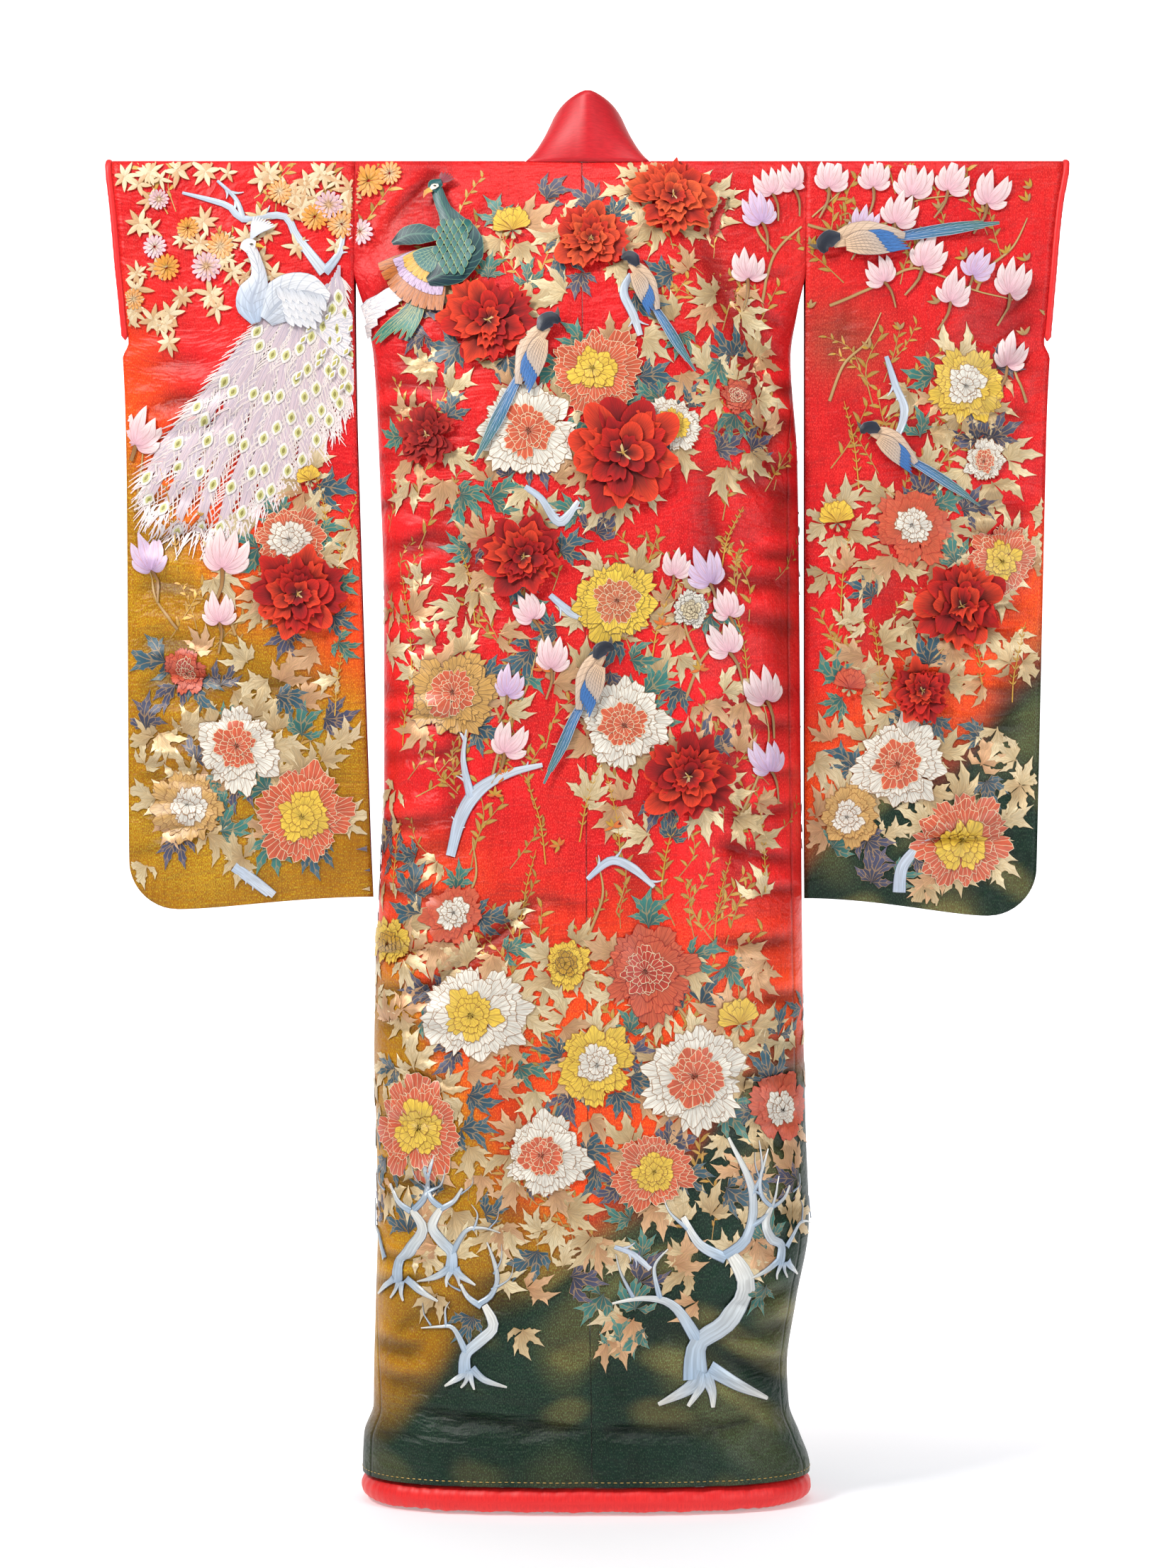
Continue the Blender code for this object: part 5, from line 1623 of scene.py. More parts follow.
def tree(x, down, size, flip=1, lift=0.0018):
    """A rooted old tree: spreading roots, a leaning trunk and two boughs."""
    pen = Pen(x, down, 0.0, size, lift + 0.0006, flip)
    silver, pale, line = linear(166, 190, 214), linear(236, 236, 228), linear(92, 106, 130)
    parts = (
        (((0.00, 0.00), (0.02, 0.30), (0.20, 0.48), (0.34, 0.72), (0.20, 1.00)),
         (0.13, 0.10, 0.11, 0.10, 0.06)),
        (((0.20, 1.00), (0.38, 1.18), (0.42, 1.50), (0.24, 1.95)), (0.06, 0.05, 0.04, 0.015)),
        (((0.22, 0.98), (-0.02, 1.10), (-0.14, 1.32)), (0.06, 0.045, 0.03)),
        (((0.03, 0.28), (-0.20, 0.62), (-0.44, 0.68), (-0.72, 0.62)), (0.07, 0.05, 0.03, 0.012)),
        (((-0.30, 0.66), (-0.36, 0.90), (-0.28, 1.06)), (0.03, 0.02, 0.008)),
        (((-0.52, 0.67), (-0.66, 0.84), (-0.70, 1.02)), (0.022, 0.014, 0.005)),
        (((0.38, 1.22), (0.58, 1.36), (0.66, 1.62)), (0.034, 0.022, 0.006)),
        (((0.41, 1.48), (0.50, 1.70), (0.48, 1.92)), (0.026, 0.016, 0.005)),
        (((-0.10, 1.22), (-0.26, 1.34), (-0.30, 1.50)), (0.024, 0.014, 0.005)),
        (((0.00, 0.06), (-0.10, -0.06), (-0.34, -0.20)), (0.09, 0.06, 0.02)),
        (((0.02, 0.04), (-0.02, -0.10), (-0.10, -0.22)), (0.07, 0.04, 0.02)),
        (((0.04, 0.04), (0.08, -0.12), (0.10, -0.24)), (0.07, 0.05, 0.02)),
        (((0.06, 0.08), (0.26, -0.06), (0.58, -0.20)), (0.08, 0.06, 0.02)),
    )
    for spine, widths in parts:
        spine = np.array(spine)
        spine[1:-1] += random.uniform(-0.03, 0.03, spine[1:-1].shape)
        tone = random.uniform(0.86, 1.06)
        blade(pen, "pearl", spine, 0.80 * np.array(widths), silver * tone, pale * tone, line, m=16, n=5,
              dome=0.0014, rim=0.0008)


# %% [markdown]
# ## Birds
#
# A white peafowl trails its long train down one sleeve and on to the body; a green one sits
# beside it. Four long-tailed birds fly among the flowers. A bird is a body of a few blades, rows
# of wing feathers like shingles, and tail feathers as long blades.

# %% Eye feathers and fringes
def unit_of(way):
    return way / max(np.linalg.norm(way), 1e-9)


def eye_feather(pen, root, tip, bend, wide, with_eye=True):
    """A train feather: loose pale barbs and, near its tip, an eye."""
    root, tip = np.array(root), np.array(tip)
    run = tip - root
    side = np.array((run[1], -run[0])) / np.linalg.norm(run)
    middle = (root + tip) / 2 + side * bend
    blade(pen, "satin", (root, middle, tip), np.array((0.3, 0.5, 0.8, 1.0, 0.8, 0.3)) * wide * 0.36,
          linear(196, 186, 200), linear(222, 200, 206), linear(164, 156, 176), veins=-16, m=12, n=3,
          rim=0.0004)
    spine = resample((root, middle, tip), 15)
    for k in range(2, 15):
        for turn in (-1, 1):
            way = unit_of(spine[k] - spine[k - 1])
            away = way * 0.86 + turn * np.array((way[1], -way[0])) * 0.62
            reach = wide * random.uniform(0.95, 1.35)
            blade(pen, "satin",
                  (spine[k], spine[k] + away * reach * 0.6, spine[k] + away * reach + way * 0.004),
                  (0.0011, 0.0010, 0.0003), linear(210, 178, 188), linear(232, 208, 214), WHITE,
                  m=3, n=2)
    if with_eye:
        unit = run / np.linalg.norm(run)
        eye = Pen(*(tip - unit * 0.010) * (1, -1), lift=pen.lift + 0.0008)
        for size, colour in ((0.0112, linear(240, 236, 230)), (0.0074, linear(206, 204, 136)),
                             (0.0038, linear(150, 144, 70))):
            spine = (-unit * size, unit * 0.1 * size, unit * size)
            blade(eye, "satin", spine, np.array((0.15, 0.9, 1.0, 0.9, 0.15)) * size * 0.62,
                  colour, colour, colour, m=7, n=5)
            eye.lift += 0.0003


def barb_fringe(pen, start, end, run, length, count, colours):
    """Loose barbs along one edge of the train."""
    for k in range(count):
        share = (k + random.uniform(0, 0.8)) / count
        base = np.array(start) + (np.array(end) - np.array(start)) * share
        way = np.array(run) + random.uniform(-0.2, 0.2, 2)
        way = way / np.linalg.norm(way) * length * random.uniform(0.6, 1.2)
        colour = colours[random.integers(0, len(colours))]
        bend = np.array((way[1], -way[0])) * 0.12
        blade(pen, "satin", (base, base + way * 0.5 + bend, base + way), (0.0010, 0.0009, 0.0004),
              colour, colour, colour, m=5, n=3)


# %% [markdown]
# ## The bird and its train
#
# The train is rows of eye feathers that spread from the back, shorter towards the body. The body,
# wing and neck are laid over their roots, in the order in which they overlap.

# %% The white peafowl itself
def white_peafowl():
    pen = Pen(0.0, 0.0, lift=0.0016, front=False)
    white, shade, line = linear(240, 240, 242), linear(196, 206, 220), linear(150, 158, 176)
    pinks = (linear(246, 226, 226), linear(250, 240, 240), linear(232, 190, 190))
    root = np.array((-0.345, -0.095))
    border = resample(
        ((-0.604, -0.430), (-0.604, -0.470), (-0.580, -0.500), (-0.530, -0.512), (-0.480, -0.500),
         (-0.410, -0.440), (-0.350, -0.370), (-0.316, -0.300)), 60
    )
    for k in range(190):
        base = border[k % 60] + (border[min(k % 60 + 1, 59)] - border[k % 60]) * random.random()
        way = unit_of(base - root) + random.uniform(-0.25, 0.25, 2)
        base = base - unit_of(base - root) * random.uniform(0.0, 0.02)
        tip = base + way * random.uniform(0.020, 0.040)
        colour = pinks[k % 3]
        blade(pen, "satin", (base, (base + tip) / 2 + (0.001, 0), tip),
              (0.0012, 0.0010, 0.0003), colour, colour, white, m=4, n=2)
    barb_fringe(pen, (-0.430, -0.220), (-0.606, -0.445), (-1.0, -0.45), 0.032, 70, pinks)
    for row, (reach, count, eyes) in enumerate(((1.00, 15, 1), (0.86, 14, 1), (0.72, 13, 1),
                                                (0.58, 11, 1), (0.44, 9, 1))):
        pen.lift = 0.0018 + 0.0005 * row
        for k in range(count):
            share = (k + 0.25 + 0.5 * (row % 2)) / count
            end = border[int(round(share * 59))]
            tip = root + (end - root) * reach * random.uniform(0.97, 1.03)
            start = root + (end - root) * max(reach - 0.36, 0.24)
            eye_feather(pen, start, tip, random.uniform(-0.004, 0.010), 0.0125 + 0.012 * reach,
                        bool(eyes))
    root = np.array((-0.375, -0.205))
    pen.lift = 0.0044
    for k in range(9):
        share = k / 8
        start = root + (0.02 * share, -0.02)
        tip = np.array((-0.310 + 0.09 * share, -0.175 - 0.10 * (1 - share)))
        blade(pen, "satin", (start, (start + tip) / 2, tip), (0.006, 0.010, 0.012, 0.004),
              linear(226, 222, 226), pinks[1], line, veins=-10, m=10, n=5)
    for k in range(13):
        x, z = (-0.400, -0.360, -0.335, -0.380, -0.345)[k % 5], -(0.215 + 0.016 * (k // 2))
        small = Pen(x + 0.006 * (k % 3), -z, -0.6, 0.008, 0.0062, front=False)
        for size, colour in ((1.0, white), (0.6, linear(196, 186, 96))):
            blade(small, "satin", ((0, -size), (0, 0), (0, size)), np.array((0.1, 0.5, 0.1)) * size,
                  colour, colour, colour, m=5, n=3)
            small.lift += 0.0003
    pen.lift = 0.0058
    body = ((-0.440, -0.222), (-0.418, -0.196), (-0.386, -0.182), (-0.352, -0.190))
    blade(pen, "satin", body, (0.012, 0.030, 0.030, 0.024, 0.006), shade, white, line, veins=-9,
          m=18, n=7, dome=0.004)
    breast = ((-0.452, -0.226), (-0.458, -0.196), (-0.448, -0.166), (-0.452, -0.140), (-0.460, -0.122))
    blade(pen, "satin", breast, (0.006, 0.021, 0.020, 0.011, 0.008, 0.008),
          linear(176, 196, 222), white, line,
          veins=-8, m=18, n=7, dome=0.003, up=0.0008)
    for row in range(4):
        for k in range(7 - row):
            x = -0.422 + 0.0095 * k + 0.004 * row
            z = -0.184 - 0.011 * row - 0.0016 * k
            blade(pen, "satin", ((x, z + 0.008), (x + 0.004, z - 0.002), (x + 0.010, z - 0.012)),
                  (0.003, 0.0056, 0.005, 0.001), linear(206, 212, 222), white, line, veins=1, m=6, n=3,
                  up=0.004 - 0.0004 * row)
    blade(pen, "satin", ((-0.468, -0.128), (-0.461, -0.121), (-0.452, -0.121)), (0.006, 0.010, 0.006),
          white, white, line, m=8, n=5, dome=0.002, up=0.002)
    blade(pen, "satin", ((-0.453, -0.120), (-0.446, -0.121), (-0.440, -0.124)), (0.003, 0.0024, 0.0004),
          GOLD, YELLOW, BRONZE, m=5, n=3, up=0.003)
    blade(pen, "satin", ((-0.460, -0.120), (-0.4575, -0.120), (-0.455, -0.120)),
          (0.0004, 0.0013, 0.0004),
          linear(20, 20, 30), linear(20, 20, 30), INK, m=5, n=3, up=0.0052)
    for k in range(9):
        a = 0.15 + 0.10 * k
        tip = (-0.460 + 0.040 * np.sin(a) * 1.05, -0.112 + 0.036 * np.cos(a) * 0.9)
        blade(pen, "satin", ((-0.459, -0.114), ((-0.460 + tip[0]) / 2, (-0.108 + tip[1]) / 2), tip),
              (0.0006, 0.0014, 0.0026, 0.0008), shade, white, line, m=8, n=3, up=0.001)


# %% [markdown]
# ## The green peafowl
#
# The second peafowl is smaller and darker, in teal and green silk. It is built like the white
# one, of blades laid over each other from the tail forward, so that each part covers the root of
# the one before, as overlapping rows of stitches do.

# %% The green peafowl
def green_peafowl():
    pen = Pen(0.0, 0.0, lift=0.0060, front=False)
    teal, dark, line = linear(18, 84, 88), linear(12, 42, 56), linear(92, 140, 120)
    for k in range(9):
        share = k / 8
        tip = (-0.300 + 0.062 * share, -0.248 - 0.006 * np.sin(share * 9))
        blade(pen, "satin", ((-0.222, -0.175), (-0.245 + 0.02 * share, -0.215), tip),
              (0.004, 0.006, 0.006, 0.001), dark, linear(50, 140, 126), linear(200, 190, 120),
              veins=-8, m=9, n=3)
    tiers = (
        # reach, feathers, half width, colour, line
        (0.088, 10, 0.0085, linear(196, 112, 44), linear(96, 44, 20)),
        (0.066, 9, 0.0075, linear(206, 178, 214), linear(90, 60, 90)),
        (0.052, 8, 0.0065, linear(236, 180, 50), linear(120, 80, 30)),
        (0.038, 8, 0.0060, linear(36, 110, 112), linear(170, 190, 140)),
    )
    base = np.array((-0.198, -0.128))
    for row, (reach, count, wide, colour, edge) in enumerate(tiers):
        for k in range(count):
            a = 3.42 + 1.42 * k / count
            tip = base + reach * np.array((np.cos(a), np.sin(a)))
            blade(pen, "satin", (base, (base + tip) / 2, tip),
                  (wide * 0.4, wide * 0.8, wide, wide * 0.6),
                  colour * 0.6, colour, edge, veins=-7, m=8, n=3, up=0.001 + 0.0010 * row + 0.0001 * k)
    blade(pen, "satin", ((-0.262, -0.122), (-0.236, -0.110), (-0.205, -0.112)),
          (0.003, 0.014, 0.015, 0.008),
          dark, teal, line, veins=-9, m=12, n=5, up=0.0052, dome=0.0016)
    blade(pen, "satin", ((-0.214, -0.176), (-0.186, -0.160), (-0.168, -0.124), (-0.184, -0.092),
                         (-0.196, -0.070), (-0.204, -0.046)),
          (0.006, 0.024, 0.032, 0.020, 0.010, 0.008), dark, teal, line, veins=-18, m=26, n=7,
          dome=0.003, up=0.004)
    for row in range(8):
        for k in range(7):
            x = -0.214 + 0.010 * k + 0.005 * (row % 2)
            z = -0.096 - 0.0095 * row
            if ((x + 0.180) / 0.027) ** 2 + ((z + 0.128) / 0.040) ** 2 > 1:
                continue
            blade(pen, "satin", ((x, z + 0.006), (x, z), (x, z - 0.006)),
                  (0.002, 0.0054, 0.0042, 0.001),
                  teal, linear(44, 124, 116), linear(160, 176, 110), rim=0.0009, m=6, n=3, up=0.0078)
    blade(pen, "satin", ((-0.209, -0.052), (-0.204, -0.042), (-0.196, -0.038)), (0.006, 0.009, 0.005),
          teal, teal, line, m=8, n=5, up=0.0066, dome=0.002)
    blade(pen, "satin", ((-0.211, -0.050), (-0.206, -0.046), (-0.200, -0.044)), (0.002, 0.0046, 0.002),
          WHITE, WHITE, INK, m=6, n=5, up=0.0092)
    blade(pen, "satin", ((-0.207, -0.0455), (-0.205, -0.0455), (-0.203, -0.0455)),
          (0.0004, 0.0014, 0.0004),
          INK * 0.2, INK * 0.2, INK, m=4, n=3, up=0.0105)
    blade(pen, "satin", ((-0.210, -0.050), (-0.217, -0.054), (-0.220, -0.061)),
          (0.0036, 0.0028, 0.0004),
          linear(240, 180, 60), linear(232, 120, 60), BRONZE, m=5, n=3, up=0.0086)
    for k in range(6):
        a = 0.1 + 0.22 * k
        blade(pen, "satin", ((-0.199, -0.040),
                             (-0.199 + 0.010 * np.sin(a), -0.040 + 0.010 * np.cos(a)),
                             (-0.199 + 0.020 * np.sin(a), -0.040 + 0.019 * np.cos(a))),
              (0.0006, 0.0010, 0.0022, 0.0008), linear(120, 20, 40), linear(150, 30, 60), INK,
              m=6, n=3, up=0.005)


# %% [markdown]
# ## The long-tailed birds
#
# Small birds fly between the flowers. Each is given by the place of its head and the tip of its
# long tail, with the side that its breast faces, so one function makes them all.

# %% The long-tailed birds
def magpie(head, tail, side, lift=0.0075):
    """A small bird from its head to the tip of its long tail; side is where its breast faces."""
    head, tail = np.array(head) * (1, -1), np.array(tail) * (1, -1)
    run = tail - head
    length = np.linalg.norm(run)
    pen = Pen(head[0], -head[1], np.arctan2(run[1], run[0]) + np.pi / 2, length, lift, side, False)
    blue, deep, green = linear(62, 120, 190), linear(40, 84, 150), linear(46, 110, 90)
    grey, peach = linear(200, 184, 172), linear(232, 196, 160)
    for k, shift in enumerate((-0.016, 0.016, 0.0)):
        blade(pen, "satin", ((shift * 0.3, -0.34), (shift, -0.66),
                             (shift * 0.8, -1.0 + 6 * abs(shift))),
              (0.018, 0.022, 0.022, 0.008), deep if k == 1 else blue, green,
              linear(180, 190, 210), veins=-10, m=12, n=3, up=0.0002 * k)
    blade(pen, "satin", ((0.02, -0.02), (0.05, -0.16), (0.03, -0.34), (0.0, -0.44)),
          (0.035, 0.068, 0.072, 0.042, 0.02),
          peach, grey, linear(150, 120, 100), veins=-8, m=14, n=5, dome=0.002, up=0.0010)
    for row, (start, reach, wide) in enumerate(((-0.12, 0.34, 0.026), (-0.10, 0.24, 0.030))):
        for k in range(6):
            shift = -0.058 + 0.018 * k
            blade(pen, "satin",
                  ((shift * 0.5, start), (shift, start - reach * 0.5),
                   (shift * 1.1 - 0.02, start - reach * (1 - 0.05 * k))),
                  (0.012, wide, wide * 0.8, 0.004), (grey, peach)[row] if row else blue,
                  blue if row == 0 else grey,
                  linear(24, 34, 60), veins=-9, m=8, n=3, up=0.0034 + 0.0008 * row + 0.0001 * k)
    blade(pen, "satin", ((-0.035, 0.025), (0.0, 0.035), (0.04, 0.0), (0.045, -0.07)),
          (0.015, 0.050, 0.052, 0.02),
          linear(26, 30, 44), linear(36, 44, 60), linear(90, 100, 120), m=10, n=5, dome=0.002,
          up=0.0042)
    blade(pen, "satin", ((0.0, 0.045), (0.01, 0.085), (0.025, 0.115)), (0.020, 0.014, 0.002),
          linear(60, 56, 60), linear(110, 100, 90), INK, m=5, n=3, up=0.0036)


print("drawing tools ready")

# %% [markdown]
# ## Where everything goes
#
# The tables give each motif's middle as a distance from the centre back and a depth below the
# shoulder line, with its size. They are a fresh layout of the same kinds of motif, at the same
# scale and in the same colours as on this kind of robe.

# %% Where the peonies are
VELVETS = (
    # x,     down,  radius, tone
    (-0.396, 0.595, 0.058, 0),
    (-0.133, 0.231, 0.062, 0),
    (0.116, 0.055, 0.054, 1),
    (0.005, 0.117, 0.045, 1),
    (-0.214, 0.384, 0.038, 2),
    (0.048, 0.410, 0.073, 0),
    (-0.085, 0.548, 0.050, 0),
    (0.133, 0.842, 0.057, 0),
    (0.508, 0.605, 0.058, 0),
    (0.455, 0.726, 0.039, 0),
)
PEONIES = (
    # x,     down,  radius, colours
    (-0.406, 0.518, 0.044, "white_ring"),
    (-0.549, 0.697, 0.027, "coral"),
    (-0.478, 0.803, 0.053, "white_coral"),
    (-0.546, 0.885, 0.044, "ochre_white"),
    (-0.386, 0.895, 0.058, "coral_yellow"),
    (0.012, 0.299, 0.054, "yellow_coral"),
    (-0.080, 0.376, 0.060, "white_coral"),
    (0.115, 0.371, 0.034, "yellow_white"),
    (0.201, 0.331, 0.020, "coral"),
    (0.037, 0.610, 0.051, "coral_gold"),
    (0.138, 0.619, 0.023, "white"),
    (-0.180, 0.733, 0.055, "coral_ochre"),
    (0.048, 0.771, 0.052, "white_coral"),
    (-0.180, 1.027, 0.036, "coral_white"),
    (-0.268, 1.067, 0.031, "yellow"),
    (-0.151, 1.160, 0.060, "yellow_white"),
    (-0.028, 1.093, 0.029, "yellow"),
    (0.083, 1.103, 0.058, "coral"),
    (0.010, 1.226, 0.046, "white_yellow"),
    (0.147, 1.245, 0.064, "white_coral"),
    (0.259, 1.287, 0.040, "coral_white"),
    (-0.228, 1.314, 0.059, "yellow_coral"),
    (-0.056, 1.349, 0.052, "white_coral"),
    (0.086, 1.372, 0.047, "yellow_coral"),
    (0.518, 0.310, 0.046, "white_yellow"),
    (0.542, 0.411, 0.027, "white_coral"),
    (0.445, 0.503, 0.046, "coral_white"),
    (0.566, 0.547, 0.045, "yellow_coral"),
    (0.426, 0.823, 0.056, "white_coral"),
    (0.358, 0.895, 0.037, "ochre_white"),
    (0.513, 0.934, 0.058, "yellow_coral"),
)

print("velvet and stitched peonies:", len(VELVETS), len(PEONIES))

# %% [markdown]
# ## Buds and magnolias
#
# The smaller flowers stand between the peonies. Each row has a place, a size and a tone.

# %% Where the buds and magnolias are
BUDS = (
    # x,     down,  radius, colours
    (-0.104, 0.090, 0.023, "yellow"),
    (0.200, 1.161, 0.025, "yellow"),
    (0.339, 0.484, 0.021, "yellow"),
    (0.358, 0.711, 0.019, "coral"),
    (-0.382, 0.431, 0.015, "yellow"),
)
MAGNOLIAS = (
    # x,     down,  radius, tone
    (0.277, 0.027, 0.019, 0),
    (0.334, 0.022, 0.022, 0),
    (0.392, 0.022, 0.021, 0),
    (0.445, 0.032, 0.023, 0),
    (0.499, 0.028, 0.021, 0),
    (0.552, 0.044, 0.023, 0),
    (0.426, 0.073, 0.021, 0),
    (0.465, 0.131, 0.023, 0),
    (0.397, 0.155, 0.019, 0),
    (0.500, 0.180, 0.021, 0),
    (0.581, 0.165, 0.023, 0),
    (0.581, 0.266, 0.021, 0),
    (0.378, 0.088, 0.019, 1),
    (0.532, 0.146, 0.019, 1),
    (0.248, 0.034, 0.019, 0),
    (0.233, 0.072, 0.021, 1),
    (0.218, 0.152, 0.021, 0),
    (-0.609, 0.370, 0.027, 0),
    (-0.493, 0.536, 0.029, 0),
    (-0.502, 0.615, 0.021, 0),
    (-0.600, 0.540, 0.023, 1),
    (-0.080, 0.618, 0.020, 0),
    (-0.047, 0.681, 0.021, 0),
    (-0.104, 0.719, 0.019, 1),
    (-0.104, 0.795, 0.022, 0),
    (0.119, 0.560, 0.017, 0),
    (0.158, 0.566, 0.023, 1),
    (0.186, 0.612, 0.020, 0),
    (0.181, 0.660, 0.023, 0),
    (0.234, 0.723, 0.025, 0),
    (0.239, 0.818, 0.022, 1),
)

# %% [markdown]
# ## Leaves and grasses
#
# Leaves that belong to no one flower lead the eye from group to group. Each row has a place, a
# length, the way that it points and its style.

# %% Where the leaves and grasses are
LONE_LEAVES = (
    # x,     down,  length, angle, style
    (-0.205, 0.290, 0.050, 1.2, 0),
    (-0.190, 0.330, 0.048, -0.8, 1),
    (-0.232, 0.440, 0.052, 2.6, 1),
    (-0.176, 0.462, 0.044, -1.9, 3),
    (0.200, 0.212, 0.050, -2.0, 1),
    (0.228, 0.268, 0.048, -2.6, 2),
    (0.182, 0.276, 0.050, 2.8, 3),
    (0.215, 0.402, 0.046, -2.4, 0),
    (-0.250, 0.855, 0.048, 2.4, 1),
    (-0.258, 0.930, 0.044, 0.6, 0),
    (0.215, 0.930, 0.050, -1.2, 0),
    (0.236, 1.010, 0.050, 0.4, 1),
    (0.245, 1.085, 0.048, 2.2, 2),
    (0.252, 1.195, 0.046, -0.4, 4),
    (-0.262, 1.180, 0.046, 0.3, 2),
    (-0.250, 1.236, 0.040, 1.8, 4),
    (-0.265, 1.400, 0.044, 2.9, 0),
    (-0.190, 1.415, 0.046, 2.6, 1),
    (-0.120, 1.440, 0.048, -2.7, 2),
    (-0.040, 1.432, 0.046, 3.0, 1),
    (0.010, 1.460, 0.050, -2.9, 2),
    (0.060, 1.470, 0.044, 2.4, 1),
    (0.110, 1.500, 0.056, -0.9, 2),
    (0.128, 1.440, 0.050, 0.5, 1),
    (0.062, 1.560, 0.056, 2.6, 2),
    (0.020, 1.590, 0.050, -2.5, 2),
    (0.048, 1.610, 0.046, 0.4, 3),
    (0.205, 1.400, 0.054, -0.6, 2),
    (0.225, 1.455, 0.056, 2.9, 2),
    (0.200, 1.480, 0.050, -2.4, 1),
    (0.240, 1.520, 0.046, 2.6, 3),
    (0.150, 1.540, 0.046, 2.2, 2),
    (0.275, 1.380, 0.048, 0.2, 2),
    (0.270, 1.440, 0.044, -0.3, 0),
    (-0.285, 1.450, 0.044, 1.6, 2),
    (-0.230, 1.480, 0.050, -2.2, 1),
    (-0.200, 1.530, 0.048, 2.7, 0),
    (-0.130, 1.505, 0.050, -2.0, 1),
    (-0.150, 1.560, 0.046, 2.5, 4),
    (-0.090, 1.575, 0.044, -2.8, 0),
    (0.600, 0.480, 0.044, -1.8, 1),
    (0.330, 0.560, 0.044, 2.3, 0),
    (0.345, 0.640, 0.046, -0.6, 1),
    (0.395, 0.600, 0.046, 1.1, 4),
    (0.590, 0.680, 0.044, -2.2, 0),
    (0.560, 0.770, 0.046, 2.9, 1),
    (0.335, 0.800, 0.046, 0.4, 2),
    (0.590, 0.860, 0.044, -0.4, 1),
    (0.460, 0.985, 0.044, 3.0, 0),
    (-0.590, 0.790, 0.044, 1.3, 0),
    (-0.600, 0.960, 0.040, 2.5, 1),
    (-0.470, 0.945, 0.046, 2.9, 0),
    (-0.345, 0.800, 0.044, -0.8, 1),
    (-0.345, 0.655, 0.040, -2.2, 3),
    (-0.460, 0.690, 0.046, 0.9, 1),
)
GRASSES = (
    # x,     down,  height, bend
    (-0.560, 0.560, 0.160, -0.030),
    (-0.530, 0.520, 0.110, 0.020),
    (-0.340, 0.560, 0.110, 0.030),
    (-0.355, 0.520, 0.090, -0.016),
    (-0.345, 0.760, 0.100, 0.012),
    (-0.150, 0.640, 0.110, -0.022),
    (0.005, 0.700, 0.100, 0.050),
    (0.085, 0.690, 0.120, 0.040),
    (-0.235, 0.700, 0.130, -0.016),
    (-0.250, 0.800, 0.110, 0.020),
    (0.180, 0.560, 0.080, 0.030),
    (0.215, 0.720, 0.110, -0.020),
    (-0.010, 0.930, 0.110, 0.030),
    (0.045, 0.960, 0.120, -0.020),
    (-0.055, 0.960, 0.120, -0.030),
    (0.100, 0.990, 0.110, 0.025),
    (0.170, 1.060, 0.110, 0.020),
    (0.240, 1.000, 0.110, -0.010),
    (-0.262, 1.000, 0.100, 0.010),
    (-0.090, 1.060, 0.120, 0.020),
    (0.370, 0.450, 0.120, -0.020),
    (0.580, 0.740, 0.110, 0.020),
    (0.540, 0.730, 0.120, -0.030),
    (0.400, 0.740, 0.110, -0.010),
    (0.345, 0.620, 0.110, 0.012),
)

# %% [markdown]
# ## Sew the flowers
#
# The largest flowers are sewn first and the small ones after them, as they overlap.

# %% Sew the flowers
for row in VELVETS:
    velvet_peony(*row)
    wreath(row[0], row[1], row[2], 5, 0.0009)
for x, down, r, name in PEONIES:
    peony(x, down, r * 1.06, name)
    wreath(x, down, r, 5 if r > 0.04 else 4, 0.0009, 0.66)
for row in BUDS:
    peony_bud(*row)
    wreath(row[0], row[1] + row[2] * 0.7, row[2] * 0.6, 4, 0.0010)
for x, down, r, tone in MAGNOLIAS:
    magnolia(x, down, 1.28 * r, tone)
for x, down, length, angle, style in LONE_LEAVES:
    peony_leaf(x, down, length, angle, style, 0.0012)


print("patches so far:", len(PATCHES))

# %% [markdown]
# ## Sprigs and thickets
#
# Where small growth is dense, a row gives only a field with its size and a count, and the plants
# are scattered in it.

# %% Sprigs and thickets
SPRIG_FIELDS = (
    # x,    down, half width, half height, sprigs
    (-0.150, 0.180, 0.110, 0.120, 10),
    (0.150, 0.200, 0.110, 0.130, 14),
    (-0.220, 0.480, 0.060, 0.180, 12),
    (0.190, 0.520, 0.080, 0.180, 16),
    (0.000, 0.620, 0.160, 0.080, 12),
    (-0.150, 0.860, 0.120, 0.140, 18),
    (0.120, 0.920, 0.140, 0.160, 20),
    (0.000, 1.120, 0.240, 0.110, 26),
    (0.000, 1.360, 0.250, 0.140, 24),
    (-0.440, 0.110, 0.150, 0.080, 12),
    (-0.470, 0.640, 0.130, 0.120, 12),
    (-0.460, 0.860, 0.130, 0.100, 10),
    (0.440, 0.110, 0.150, 0.080, 16),
    (0.450, 0.360, 0.140, 0.120, 18),
    (0.450, 0.640, 0.140, 0.160, 16),
)
for x, down, wide, tall, count in SPRIG_FIELDS:
    for _ in range(count):
        a, r = random.uniform(0, 6.28), np.sqrt(random.random())
        sprig(x + wide * r * np.cos(a), down + tall * r * np.sin(a), random.uniform(0.05, 0.10),
              random.uniform(-0.9, 0.9))
